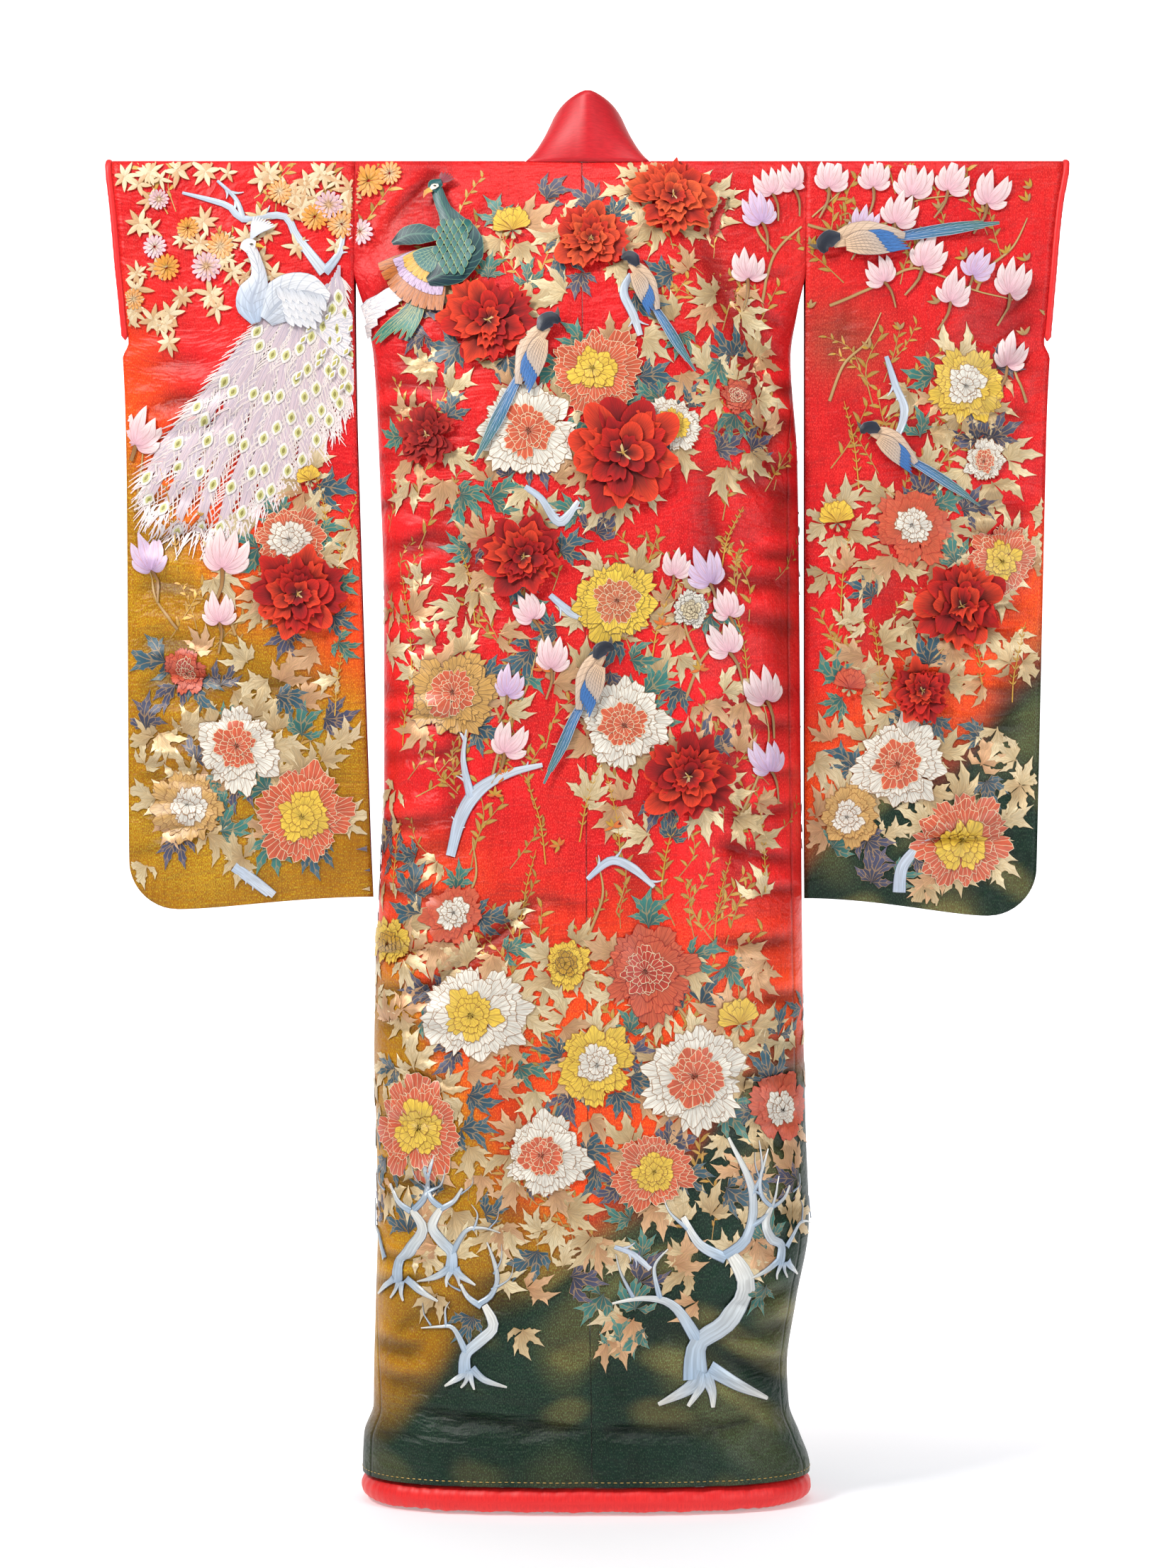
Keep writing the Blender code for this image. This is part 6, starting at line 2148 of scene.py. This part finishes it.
THICKETS = (
    # x,    down, half width, half height, leaves
    (0.060, 0.070, 0.140, 0.055, 16),
    (-0.060, 0.140, 0.120, 0.050, 12),
    (-0.170, 0.245, 0.080, 0.060, 8),
    (0.140, 0.250, 0.090, 0.110, 16),
    (-0.180, 0.440, 0.060, 0.045, 5),
    (-0.020, 0.460, 0.120, 0.050, 13),
    (0.190, 0.370, 0.060, 0.080, 9),
    (-0.130, 0.570, 0.070, 0.045, 6),
    (-0.225, 0.640, 0.050, 0.080, 10),
    (0.010, 0.665, 0.120, 0.065, 14),
    (-0.140, 0.700, 0.080, 0.070, 8),
    (0.100, 0.760, 0.130, 0.075, 18),
    (0.110, 0.880, 0.130, 0.045, 13),
    (-0.245, 0.970, 0.045, 0.060, 6),
    (-0.160, 1.110, 0.130, 0.100, 20),
    (0.020, 1.170, 0.110, 0.100, 14),
    (0.180, 1.180, 0.110, 0.110, 14),
    (-0.200, 1.280, 0.100, 0.100, 17),
    (-0.040, 1.290, 0.130, 0.090, 17),
    (0.140, 1.340, 0.120, 0.090, 17),
    (-0.150, 1.410, 0.140, 0.070, 20),
    (0.020, 1.430, 0.090, 0.055, 9),
    (0.230, 1.400, 0.060, 0.100, 10),
    (0.050, 1.560, 0.045, 0.060, 5),
    (-0.050, 1.490, 0.060, 0.040, 4),
    (0.110, 1.470, 0.050, 0.050, 4),
    (-0.420, 0.550, 0.110, 0.070, 14),
    (-0.480, 0.820, 0.140, 0.130, 36),
    (-0.380, 0.720, 0.060, 0.050, 6),
    (0.500, 0.370, 0.080, 0.110, 16),
    (0.460, 0.520, 0.140, 0.070, 20),
    (0.470, 0.670, 0.130, 0.070, 14),
    (0.450, 0.860, 0.140, 0.130, 36),
)
for x, down, wide, tall, count in THICKETS:
    thicket(x, down, wide, tall, count)
for row in GRASSES:
    grass(*row)


# %% [markdown]
# ## Boughs, twigs and trees
#
# Boughs and twigs are given as the points that they pass through, since each bends in its own way.
# The trees stand in the dark ground above the hem.

# %% Boughs, twigs and trees
BOUGHS = (
    # points, half widths
    (((-0.553, 0.046), (-0.493, 0.063), (-0.469, 0.083), (-0.415, 0.078), (-0.396, 0.107),
      (-0.359, 0.155)),
     (0.002, 0.004, 0.005, 0.005, 0.006, 0.008)),
    (((-0.359, 0.155), (-0.340, 0.131), (-0.333, 0.105)), (0.007, 0.005, 0.003)),
    (((-0.505, 0.030), (-0.480, 0.055), (-0.469, 0.083)), (0.002, 0.003, 0.004)),
    (((-0.083, 0.455), (-0.062, 0.470), (-0.038, 0.502), (-0.012, 0.474)),
     (0.004, 0.005, 0.007, 0.003)),
    (((-0.050, 0.600), (-0.020, 0.625), (0.005, 0.630)), (0.004, 0.006, 0.004)),
    (((0.060, 0.165), (0.049, 0.190), (0.061, 0.222), (0.070, 0.250)), (0.004, 0.006, 0.006, 0.004)),
    (((-0.183, 0.950), (-0.170, 0.900), (-0.145, 0.860), (-0.105, 0.838), (-0.060, 0.827)),
     (0.007, 0.009, 0.009, 0.006, 0.003)),
    (((-0.155, 0.870), (-0.165, 0.820), (-0.160, 0.780)), (0.006, 0.004, 0.002)),
    (((0.000, 0.980), (0.030, 0.955), (0.060, 0.965), (0.090, 0.990)), (0.003, 0.006, 0.006, 0.003)),
    (((-0.483, 0.965), (-0.455, 0.985), (-0.430, 1.005)), (0.007, 0.008, 0.007)),
    (((0.407, 0.270), (0.420, 0.310), (0.432, 0.345), (0.421, 0.382)), (0.003, 0.005, 0.006, 0.004)),
    (((0.426, 1.000), (0.430, 0.965), (0.455, 0.935), (0.480, 0.920)), (0.009, 0.008, 0.006, 0.003)),
    (((0.035, 1.470), (0.060, 1.480), (0.085, 1.500)), (0.003, 0.004, 0.004)),
)
for points, widths in BOUGHS:
    branch(points, widths)
TWIGS = (
    # points of a thin gold twig
    ((0.235, 0.200), (0.255, 0.130), (0.300, 0.085), (0.345, 0.045)),
    ((0.255, 0.130), (0.230, 0.095), (0.240, 0.050)),
    ((0.300, 0.090), (0.340, 0.100), (0.390, 0.100), (0.440, 0.060), (0.500, 0.050)),
    ((0.330, 0.200), (0.390, 0.175), (0.440, 0.150), (0.480, 0.160), (0.530, 0.180), (0.580, 0.190)),
    ((0.440, 0.150), (0.450, 0.110), (0.430, 0.085)),
    ((0.530, 0.180), (0.545, 0.150), (0.580, 0.120), (0.600, 0.080)),
    ((0.600, 0.330), (0.585, 0.290), (0.580, 0.260)),
    ((0.330, 0.330), (0.350, 0.280), (0.380, 0.250), (0.400, 0.210)),
    ((-0.130, 0.850), (-0.110, 0.780), (-0.080, 0.720), (-0.060, 0.640)),
    ((-0.110, 0.780), (-0.125, 0.740), (-0.110, 0.700)),
    ((0.130, 0.740), (0.150, 0.690), (0.180, 0.650), (0.190, 0.600)),
    ((0.150, 0.690), (0.130, 0.640), (0.135, 0.590)),
    ((0.200, 0.900), (0.225, 0.850), (0.245, 0.790), (0.235, 0.740)),
    ((-0.620, 0.480), (-0.612, 0.430), (-0.608, 0.390)),
    ((-0.480, 0.650), (-0.495, 0.600), (-0.493, 0.550)),
    ((-0.560, 0.640), (-0.590, 0.600), (-0.600, 0.555)),
    ((-0.180, 1.030), (-0.150, 0.980), (-0.155, 0.930)),
    ((0.000, 1.060), (0.020, 1.000), (0.010, 0.950)),
    ((-0.050, 1.300), (-0.030, 1.250), (0.020, 1.180), (0.060, 1.150)),
    ((-0.120, 1.240), (-0.090, 1.280), (-0.070, 1.320)),
    ((0.100, 1.290), (0.060, 1.270), (0.030, 1.250)),
    ((0.120, 1.150), (0.150, 1.180), (0.190, 1.170)),
    ((0.340, 0.460), (0.380, 0.440), (0.430, 0.460), (0.470, 0.430), (0.510, 0.370)),
    ((0.400, 0.800), (0.440, 0.760), (0.460, 0.700), (0.500, 0.650)),
)
TWIG_PEN = Pen(0.0, 0.0, lift=0.0011)
for points in TWIGS:
    spine = np.array(points) * (1, -1)
    blade(TWIG_PEN, "satin", spine, (0.0022, 0.0018, 0.0008), TAN, linear(206, 172, 106),
          BRONZE, m=20, n=3)
tree(0.150, 1.648, 0.165)
tree(0.262, 1.500, 0.080, -1)
tree(-0.255, 1.525, 0.100)
tree(-0.178, 1.505, 0.085, -1)
tree(-0.160, 1.640, 0.090)

print("patches so far:", len(PATCHES))

# %% [markdown]
# ## Small leaves and blossoms
#
# The last fillings are small. Some are scattered by a seeded draw inside stated ranges, and some
# have rows of their own.

# %% Small leaves and blossoms
PALE_LEAVES = (linear(232, 204, 160), linear(220, 176, 128), linear(242, 222, 184))
for _ in range(64):
    x = -0.645 + 0.33 * random.random()
    down = 0.012 + 0.24 * random.random() ** 1.2 * (1 - 0.55 * smooth(-0.55, -0.36, x))
    five_leaves(x, down, random.uniform(0.015, 0.024), random.integers(5, 9), PALE_LEAVES)
ORANGE_SILK = linear(240, 156, 60)
PALE_LILAC = linear(228, 190, 208)
for k, (x, down, r) in enumerate(
    (
        (-0.519, 0.148, 0.020), (-0.500, 0.120, 0.018), (-0.574, 0.148, 0.018), (-0.590, 0.120, 0.016),
        (-0.545, 0.095, 0.015), (-0.420, 0.045, 0.016), (-0.353, 0.063, 0.019), (-0.336, 0.090, 0.019),
        (-0.372, 0.080, 0.018), (-0.310, 0.100, 0.018), (-0.299, 0.030, 0.022), (-0.270, 0.020, 0.016),
        (-0.585, 0.055, 0.014), (-0.620, 0.190, 0.014),
    )
):
    blossom(x, down, r, ORANGE_SILK if k % 3 else PALE_LILAC, (GOLD, CREAM)[k % 2])
for k in range(22):
    five_leaves(0.300 + 0.33 * random.random(), 0.03 + 0.24 * random.random(), 0.014, 3,
                (GOLD, TAN), 0.0014, "satin", 2.2)
for x, down in ((-0.110, 0.840), (-0.124, 0.868), (-0.038, 0.935), (0.034, 0.910),
                (0.150, 0.700), (-0.060, 0.700), (0.100, 0.640)):
    five_leaves(x, down, 0.014, 5, (linear(232, 120, 40), GOLD), 0.0024, "satin", 4.2)


# %% [markdown]
# ## The birds
#
# The birds are sewn last, over everything that they overlap.

# %% The birds
white_peafowl()
green_peafowl()
magpie((0.054, 0.150), (0.141, 0.300), 1)
magpie((-0.048, 0.237), (-0.154, 0.421), -1)
magpie((0.025, 0.677), (-0.058, 0.852), -1)
magpie((0.329, 0.121), (0.561, 0.088), 1)
magpie((0.382, 0.373), (0.532, 0.470), 1)
print("patches:", len(PATCHES), "quads:",
      sum((p["x"].shape[0] - 1) * (p["x"].shape[1] - 1) for p in PATCHES))

# %% [markdown]
# ## Laying the design on the cloth
#
# Each panel takes the patches that touch it, clips them at its edges and lifts them off its own
# surface along the normal. The needlework has four materials: satin stitch, velvet, foil and the
# pearly thread of the boughs. Each is one object for each panel.

# %% Materials of the needlework
def make_stitch(name, metal, rough, grain, leaf_veins, **fixed):
    material, tree, shader = new_material(name, Metallic=metal, Roughness=rough, **fixed)
    uv = attribute(tree, "uv_patch", "Vector")
    split = tree.nodes.new("ShaderNodeSeparateXYZ")
    tree.links.new(uv, split.inputs[0])
    u, v, seed = split.outputs
    edge = tree.nodes.new("ShaderNodeSeparateXYZ")
    tree.links.new(attribute(tree, "edge", "Vector"), edge.inputs[0])
    edge_u, edge_v, veins = edge.outputs
    from_side = calc(tree, "SUBTRACT", 0.5, calc(tree, "ABSOLUTE", calc(tree, "SUBTRACT", u, 0.5)))
    at_side = calc(tree, "LESS_THAN", from_side, edge_u)
    at_rim = calc(tree, "LESS_THAN", calc(tree, "SUBTRACT", 1.0, v), edge_v)
    outline = calc(tree, "MAXIMUM", at_side, at_rim)
    ray = calc(tree, "ABSOLUTE",
               calc(tree, "SUBTRACT", calc(tree, "FRACT", calc(tree, "MULTIPLY", u, veins)), 0.5))
    ray = calc(tree, "MULTIPLY", calc(tree, "GREATER_THAN", ray, 0.44),
               calc(tree, "GREATER_THAN", v, 0.25))
    ray = calc(tree, "MULTIPLY", ray, calc(tree, "GREATER_THAN", veins, 0.5))
    centre = calc(tree, "ABSOLUTE", calc(tree, "SUBTRACT", u, 0.5))
    slant = calc(tree, "SUBTRACT", v, calc(tree, "MULTIPLY", centre, 0.35))
    side = calc(tree, "FRACT", calc(tree, "ABSOLUTE", calc(tree, "MULTIPLY", slant, veins)))
    side = calc(tree, "GREATER_THAN", side, 0.86)
    mid = calc(tree, "LESS_THAN", centre, 0.045)
    leaf = calc(tree, "MULTIPLY", calc(tree, "MAXIMUM", side, mid),
                calc(tree, "LESS_THAN", veins, -0.5))
    lines = calc(tree, "MAXIMUM", ray, calc(tree, "MULTIPLY", leaf, leaf_veins))
    stretch = add_node(tree, "ShaderNodeCombineXYZ", i0=calc(tree, "MULTIPLY", u, grain),
                       i1=calc(tree, "MULTIPLY", v, 3.0), i2=seed)
    thread = noise(tree, stretch, 2.0, 0.6)
    base = attribute(tree, "tint")
    toned = blend(tree, ramp(tree, thread, 0.30, 0.70), scaled(tree, base, (0.74, 0.72, 0.70)),
                  scaled(tree, base, (1.08, 1.06, 1.04)))
    line = attribute(tree, "line")
    drawn = blend(tree, calc(tree, "MULTIPLY", lines, 0.62), toned, line)
    drawn = blend(tree, calc(tree, "MULTIPLY", outline, 0.85), drawn, line)
    tree.links.new(drawn, shader.inputs["Base Color"])
    bump(tree, shader, thread, 0.35, 0.0006)
    return material


STITCHES = {
    "satin": make_stitch("satin_stitch", 0.0, 0.40, 26.0, 0.8, Specular_IOR_Level=0.6),
    "velvet": make_stitch("velvet", 0.0, 0.85, 40.0, 0.0, Sheen_Weight=0.35,
                          Sheen_Roughness=0.35, Sheen_Tint=(1.0, 0.25, 0.12)),
    "foil": make_stitch("gold_foil", 0.30, 0.38, 14.0, 0.45),
    "pearl": make_stitch("pearl_thread", 0.10, 0.34, 9.0, 0.0, Coat_Weight=0.3, Coat_Roughness=0.3),
}
print("needlework materials:", sorted(STITCHES))

# %% [markdown]
# ## From flat patches to the cloth
#
# Needlework is stitched while the cloth is flat and then hangs with it. So every motif is drawn
# flat first, and its distances on the body are measured round the body's own section. A motif
# near a side then goes round that side and does not shrink.

# %% Lengths round the body
def arc_tables():
    """Length of the body section from the middle of the back to each turn, for each depth."""
    downs = np.linspace(0.0, 1.79, 180)
    turns = np.linspace(0, 1, 101)
    left = read_table(BODY_SECTIONS, 1, downs)
    right = read_table(BODY_SECTIONS, 2, downs)
    deep = read_table(BODY_SECTIONS, 3, downs)
    edge = read_table(BODY_SECTIONS, 4, downs)
    angle = turns * np.pi / 2
    closed = smooth(0.10, 0.26, downs)[:, None]
    profile = closed * np.cos(angle) * (1 + BOXY * np.sin(angle) ** 2) + (1 - closed) * np.cos(angle) ** 2
    x = ((right - left) / 2)[:, None] * np.sin(angle)
    y = (edge[:, None] + (deep - edge)[:, None] * profile) * shoulder_fold(downs)[:, None]
    steps = np.hypot(np.diff(x, axis=1), np.diff(y, axis=1))
    return downs, turns, np.concatenate((np.zeros((len(downs), 1)), np.cumsum(steps, axis=1)), axis=1)


ARC_DOWNS, ARC_TURNS, ARCS = arc_tables()
ARC_STEP = 0.002
ARC_GRID = np.arange(0, 0.36, ARC_STEP)
TURN_OF = np.array([np.interp(ARC_GRID, row, ARC_TURNS) for row in ARCS])
FULL_ARC = ARCS[:, -1]


def turn_from_arc(s, down):
    """Inverse of the arc table for the back half; s is not negative."""
    row = np.clip(down / (ARC_DOWNS[1] - ARC_DOWNS[0]), 0, len(ARC_DOWNS) - 1.001)
    column = np.clip(s / ARC_STEP, 0, len(ARC_GRID) - 1.001)
    r, c = row.astype(int), column.astype(int)
    fr, fc = row - r, column - c
    top = TURN_OF[r, c] * (1 - fc) + TURN_OF[r, c + 1] * fc
    low = TURN_OF[r + 1, c] * (1 - fc) + TURN_OF[r + 1, c + 1] * fc
    return top * (1 - fr) + low * fr


def arc_at(turn, down):
    """Length along the section from the middle of the back to a turn, to the left negative."""
    row = np.clip(np.rint(down / (ARC_DOWNS[1] - ARC_DOWNS[0])), 0, len(ARC_DOWNS) - 1).astype(int)
    column = np.clip(np.abs(turn) * 100, 0, 99.999)
    c = column.astype(int)
    arc = ARCS[row, c] + (ARCS[row, c + 1] - ARCS[row, c]) * (column - c)
    return arc * np.where(turn >= 0, 1, -1)


print("lengths round the body:", ARCS.shape)

# %% [markdown]
# ## Where a point of a panel comes to lie
#
# Each panel is a surface with two directions along it. Small steps both ways give the normal, and
# the stitches are lifted along that, so they sit on the folds and not in them. Points that fall
# outside the sewn edges are left out.

# %% Where a point of a panel comes to lie
def surface_frame(place, a, b, step_a, step_b):
    """Point and normal from a place function of two parameters."""
    here = place(a, b)
    normal = np.cross(place(a + step_a, b) - here, place(a, b + step_b) - here)
    normal /= np.maximum(np.linalg.norm(normal, axis=-1, keepdims=True), 1e-12)
    return here, normal


def lay_on_body(x, down, middle_x, middle_down, face):
    """Where body points at x, down come to lie, their normals, and which are on the cloth."""
    if face > 0:
        turn = turn_at(x, down, -1)
        place = lambda t, d: body_xyz(np.where(d < SLIT_END, t, np.sign(t) * 2 - t), d, 1.0)
        here, normal = surface_frame(place, turn, down, 0.004, 0.002)
        limit = np.where(down < COLLAR_END + 0.01, read_table(FRONT_SEAMS, 1, down) + 0.004, 0.016)
        inside = (np.abs(x) > limit) & (np.abs(x) < 0.262) & (down > 0.004) & (down < BODY_LENGTH - 0.003)
    else:
        mid_turn = turn_at(middle_x, middle_down, -1)
        lo = read_table(BODY_SECTIONS, 1, middle_down)
        hi = read_table(BODY_SECTIONS, 2, middle_down)
        s = arc_at(mid_turn, middle_down) + x - np.clip(middle_x, lo, hi)
        full = np.interp(down, ARC_DOWNS, FULL_ARC)
        wraps = np.abs(s) > full
        back_s = np.where(wraps, 2 * full - np.abs(s), np.abs(s))
        turn = turn_from_arc(np.clip(back_s, 0, None), down)
        turn = np.where(wraps, 2 - turn, turn) * np.sign(s + 1e-12)
        closed = down >= SLIT_END
        place = lambda t, d: body_xyz(t, d, np.where((np.abs(t) > 1) & (d >= SLIT_END), 1.0, -1.0))
        here, normal = surface_frame(place, turn, down, 0.004, 0.002)
        inside = (~wraps | closed) & (down > 0.003) & (down < BODY_LENGTH - 0.003)
        inside &= np.where(closed, np.abs(s) < full * 1.4, np.abs(s) < full - 0.002)
    outward = np.stack((here[..., 0] * 0.5, here[..., 1] - SHIFT_Y, 0 * here[..., 0]), axis=-1)
    normal *= np.sign(np.sum(normal * outward, axis=-1, keepdims=True) + 1e-12)
    return here, normal, inside


def lay_on_sleeve(side, x, down, face):
    outer, inner = sleeve_outline(side, down)
    low = np.clip((down - (sleeve_bottom(side, 1.0) - CORNER)) / CORNER, 0, 1)
    cut = CORNER * (1 - np.sqrt(np.maximum(1 - low**2, 0)))
    share = side * (x - inner) / (np.abs(outer - inner) - cut)
    drop = down / sleeve_bottom(side, np.clip(share, 0, 1))
    inside = (share > 0.004) & (share < 0.996) & (drop < 0.994) & (down > 0.003)
    place = lambda a, b: sleeve_xyz(side, np.clip(a, 0, 1), np.clip(b, 0, 1), face)
    here, normal = surface_frame(place, np.clip(share, 0.003, 0.997), np.clip(drop, 0, 0.998),
                                 0.003, 0.0015)
    normal *= np.sign(normal[..., 1:2] * face + 1e-12)
    return here, normal, inside


# %% [markdown]
# ## One object for each kind of thread
#
# Satin stitch, velvet, gold foil and pearl differ in sheen, so each kind is one object on each
# face of a part. The front faces carry only every second patch of a kind, so the needlework
# there is thinner and some motifs are incomplete, which keeps the number of faces down. The
# needlework of both halves of the body is one set.

# %% One object for each kind of thread
def flatten(kind):
    """All patches of a kind as long lists of points and faces."""
    chosen = [patch for patch in PATCHES if patch["kind"] == kind]
    sizes = np.array([patch["x"].size for patch in chosen])
    flat = {}
    for key in ("x", "down", "lift"):
        flat[key] = np.concatenate([np.broadcast_to(p[key], p["x"].shape).ravel() for p in chosen])
    for key in ("uv", "edge", "colour", "line"):
        flat[key] = np.concatenate([patch[key].reshape(-1, 3) for patch in chosen])
    flat["mid_x"] = np.repeat([patch["x"].mean() for patch in chosen], sizes)
    flat["mid_down"] = np.repeat([patch["down"].mean() for patch in chosen], sizes)
    flat["front"] = np.repeat([p["front"] and k % 2 == 0 for k, p in enumerate(chosen)], sizes)
    cells = []
    for patch, start in zip(chosen, np.cumsum(sizes) - sizes):
        index = np.arange(patch["x"].size).reshape(patch["x"].shape) + start
        corners = (index[:-1, :-1], index[:-1, 1:], index[1:, 1:], index[1:, :-1])
        cells.append(np.stack(corners, axis=-1).reshape(-1, 4))
    flat["cells"] = np.concatenate(cells)
    return flat


def lay(part, kind, face):
    """One object: all patches of a kind on one face of a part."""
    flat = FLAT[kind]
    reach = {"body": (-0.34, 0.32), "left": (-0.67, -0.29), "right": (0.29, 0.65)}[part]
    near = (flat["x"] > reach[0]) & (flat["x"] < reach[1])
    if face > 0:
        near &= flat["front"]
    if not near.any():
        return None
    chosen = {key: value[near] for key, value in flat.items() if key != "cells"}
    lookup = np.full(len(near), -1)
    lookup[near] = np.arange(near.sum())
    cells = lookup[flat["cells"]]
    cells = cells[(cells >= 0).all(axis=1)]
    x, down = chosen["x"], chosen["down"]
    if part == "body":
        here, normal, inside = lay_on_body(x, down, chosen["mid_x"], chosen["mid_down"], face)
    else:
        here, normal, inside = lay_on_sleeve(-1 if part == "left" else 1, x, down, face)
    cells = cells[inside[cells].all(axis=1)]
    if not len(cells):
        return None
    points = here + normal * (CLOTH / 2 + chosen["lift"])[:, None]
    a, b, d = points[cells[:, 0]], points[cells[:, 1]], points[cells[:, 3]]
    turned = np.sum(np.cross(b - a, d - a) * normal[cells[:, 0]], axis=1) < 0
    cells[turned] = cells[turned][:, ::-1]
    used = np.unique(cells)
    lookup = np.zeros(len(points), dtype=int)
    lookup[used] = np.arange(len(used))
    where = "back" if face < 0 else "front"
    item = new_object(f"{kind}_{part}_{where}", points[used], lookup[cells].tolist(), STITCHES[kind])
    ones = np.ones((len(used), 1))
    paint(item, "uv_patch", chosen["uv"][used])
    paint(item, "edge", chosen["edge"][used])
    paint(item, "tint", np.concatenate((chosen["colour"][used], ones), axis=1))
    paint(item, "line", np.concatenate((chosen["line"][used], ones), axis=1))
    print(item.name, len(item.data.polygons))
    return item


FLAT = {kind: flatten(kind) for kind in STITCHES}
DESIGN = {}
PANEL_OF = {"body": "body_left", "left": "sleeve_left", "right": "sleeve_right"}
for part, node in PANEL_OF.items():
    laid = [lay(part, kind, face) for kind in STITCHES for face in (-1, 1)]
    DESIGN[node] = [item for item in laid if item is not None]

# %% [markdown]
# ## What each piece is
#
# Each panel is listed with the size it was cut to, the solid that it stands for and what it hangs
# from; that solid is hidden and the panel is fixed to the frame's body. The embroidery rides on its
# panel.

SHEETS = (
    # piece, node, flat size, share of the rectangle that is cloth, what it hangs from
    (body_left, "body_left", (0.330, 3.60), 0.93, "collar_silk"),
    (body_right, "body_right", (0.330, 3.60), 0.93, "collar_silk"),
    (okumi_left, "okumi_left", (0.150, 1.58), 0.70, "body_left_silk"),
    (okumi_right, "okumi_right", (0.150, 1.58), 0.70, "body_right_silk"),
    (collar, "collar", (0.100, 2.10), 1.00, "body_left_silk"),
    (sleeve_left, "sleeve_left", (0.350, 2.06), 0.97, "body_left_silk"),
    (sleeve_right, "sleeve_right", (0.350, 2.06), 0.97, "body_right_silk"),
)
for piece, node, size, share, holder in SHEETS:
    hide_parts(node)
    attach(piece, "root")
for piece, node in ((hem_roll, "hem_roll"), (cuff_left, "cuff_roll_left"),
                    (cuff_right, "cuff_roll_right")):
    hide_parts(node)
    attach(piece, "root")
for pieces in (*DESIGN.values(), *HEM_ROWS.values()):
    for piece in pieces:
        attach(piece, "root")

# %% [markdown]
# ## Floor, light and camera
#
# The robe stands just above a pale floor that rises into a pale wall; both glow as painted light,
# dimly near the robe and fully further back. Large soft lights from the front keep the shading
# gentle, as in a studio; one is stronger, so that folds still read.

# %% Floor
FLOOR = -1.829
BACK_WALL = 8.0
BEND = 2.0
pale, tree_pale, shader_pale = new_material("glowing_pale_floor", Roughness=0.9)
place = add_node(tree_pale, "ShaderNodeSeparateXYZ", out=1,
                 i0=add_node(tree_pale, "ShaderNodeTexCoord", out=3))
# Painted light: the floor and its wall glow, dimly in front of and under the robe and fully from a little
# behind it.
glow_far_off = ramp(tree_pale, place, -0.2, 1.2)
sock(tree_pale, shader_pale, "Base Color", (0.72, 0.725, 0.755, 1))
sock(tree_pale, shader_pale, "Emission Color",
     blend(tree_pale, glow_far_off, (0.30, 0.30, 0.30, 1), (1, 1, 1, 1)))
sock(tree_pale, shader_pale, "Emission Strength", 1.0)
ring = np.linspace(0, np.pi / 2, 16)
profile = [(-8.0, FLOOR), (0.0, FLOOR)]
profile += [(BACK_WALL - BEND + BEND * np.sin(a), FLOOR + BEND - BEND * np.cos(a)) for a in ring]
profile += [(BACK_WALL, 9.0)]
points = [(x, y, z) for y, z in profile for x in (-12.0, 12.0)]
sweep = [(2 * k, 2 * k + 1, 2 * k + 3, 2 * k + 2) for k in range(len(profile) - 1)]
floor = new_object("studio_floor", points, sweep, pale)
print("floor from y", profile[0][0], "to", profile[-1][0])

# %% [markdown]
# ## Lights
#
# A key light from one side, a weaker fill from the other and a soft one above show the folds. They
# are wide, so the silk's sheen has no hard spots.

# %% Lights
def soft_light(name, place, aim, size, watts, colour=(1.0, 1.0, 1.0)):
    data = bpy.data.lights.new(name, "AREA")
    data.shape = "RECTANGLE"
    data.size, data.size_y = size
    data.energy = watts
    data.color = colour
    light = bpy.data.objects.new(name, data)
    light.location = place
    look = Vector(aim) - Vector(place)
    light.rotation_euler = look.to_track_quat("-Z", "Y").to_euler()
    bpy.context.collection.objects.link(light)
    return light


soft_light("key", (-2.5, -2.3, 1.9), (0, 0, -0.85), (0.9, 1.1), 146, (1.0, 0.98, 0.95))
soft_light("fill", (3.0, -3.4, -0.2), (0, 0, -1.0), (1.6, 2.0), 62, (0.96, 0.98, 1.0))
soft_light("top", (0.2, -1.6, 3.0), (0, -0.2, -0.9), (2.4, 1.4), 55)
world = bpy.data.worlds.new("studio")
bpy.context.scene.world = world
world.use_nodes = True
world.node_tree.nodes["Background"].inputs[0].default_value = (0.93, 0.95, 1.0, 1.0)
world.node_tree.nodes["Background"].inputs[1].default_value = 0.15
bpy.context.scene.view_settings.view_transform = "Standard"

# %% [markdown]
# ## Camera
#
# The camera stands level with the middle of the robe and straight behind it, so its outline keeps
# the proportions of the cut pieces.

# %% Camera
CAMERA_AWAY = 4.5
CAMERA_DOWN = 0.8525
TALL = 2.1479
data = bpy.data.cameras.new("camera")
data.sensor_fit = "VERTICAL"
data.sensor_height = 36.0
data.lens = 36.0 * CAMERA_AWAY / TALL
camera = bpy.data.objects.new("camera", data)
camera.location = (0.0005, SHIFT_Y - CAMERA_AWAY, -CAMERA_DOWN)
camera.rotation_euler = (np.pi / 2, 0, 0)
bpy.context.collection.objects.link(camera)
bpy.context.scene.camera = camera
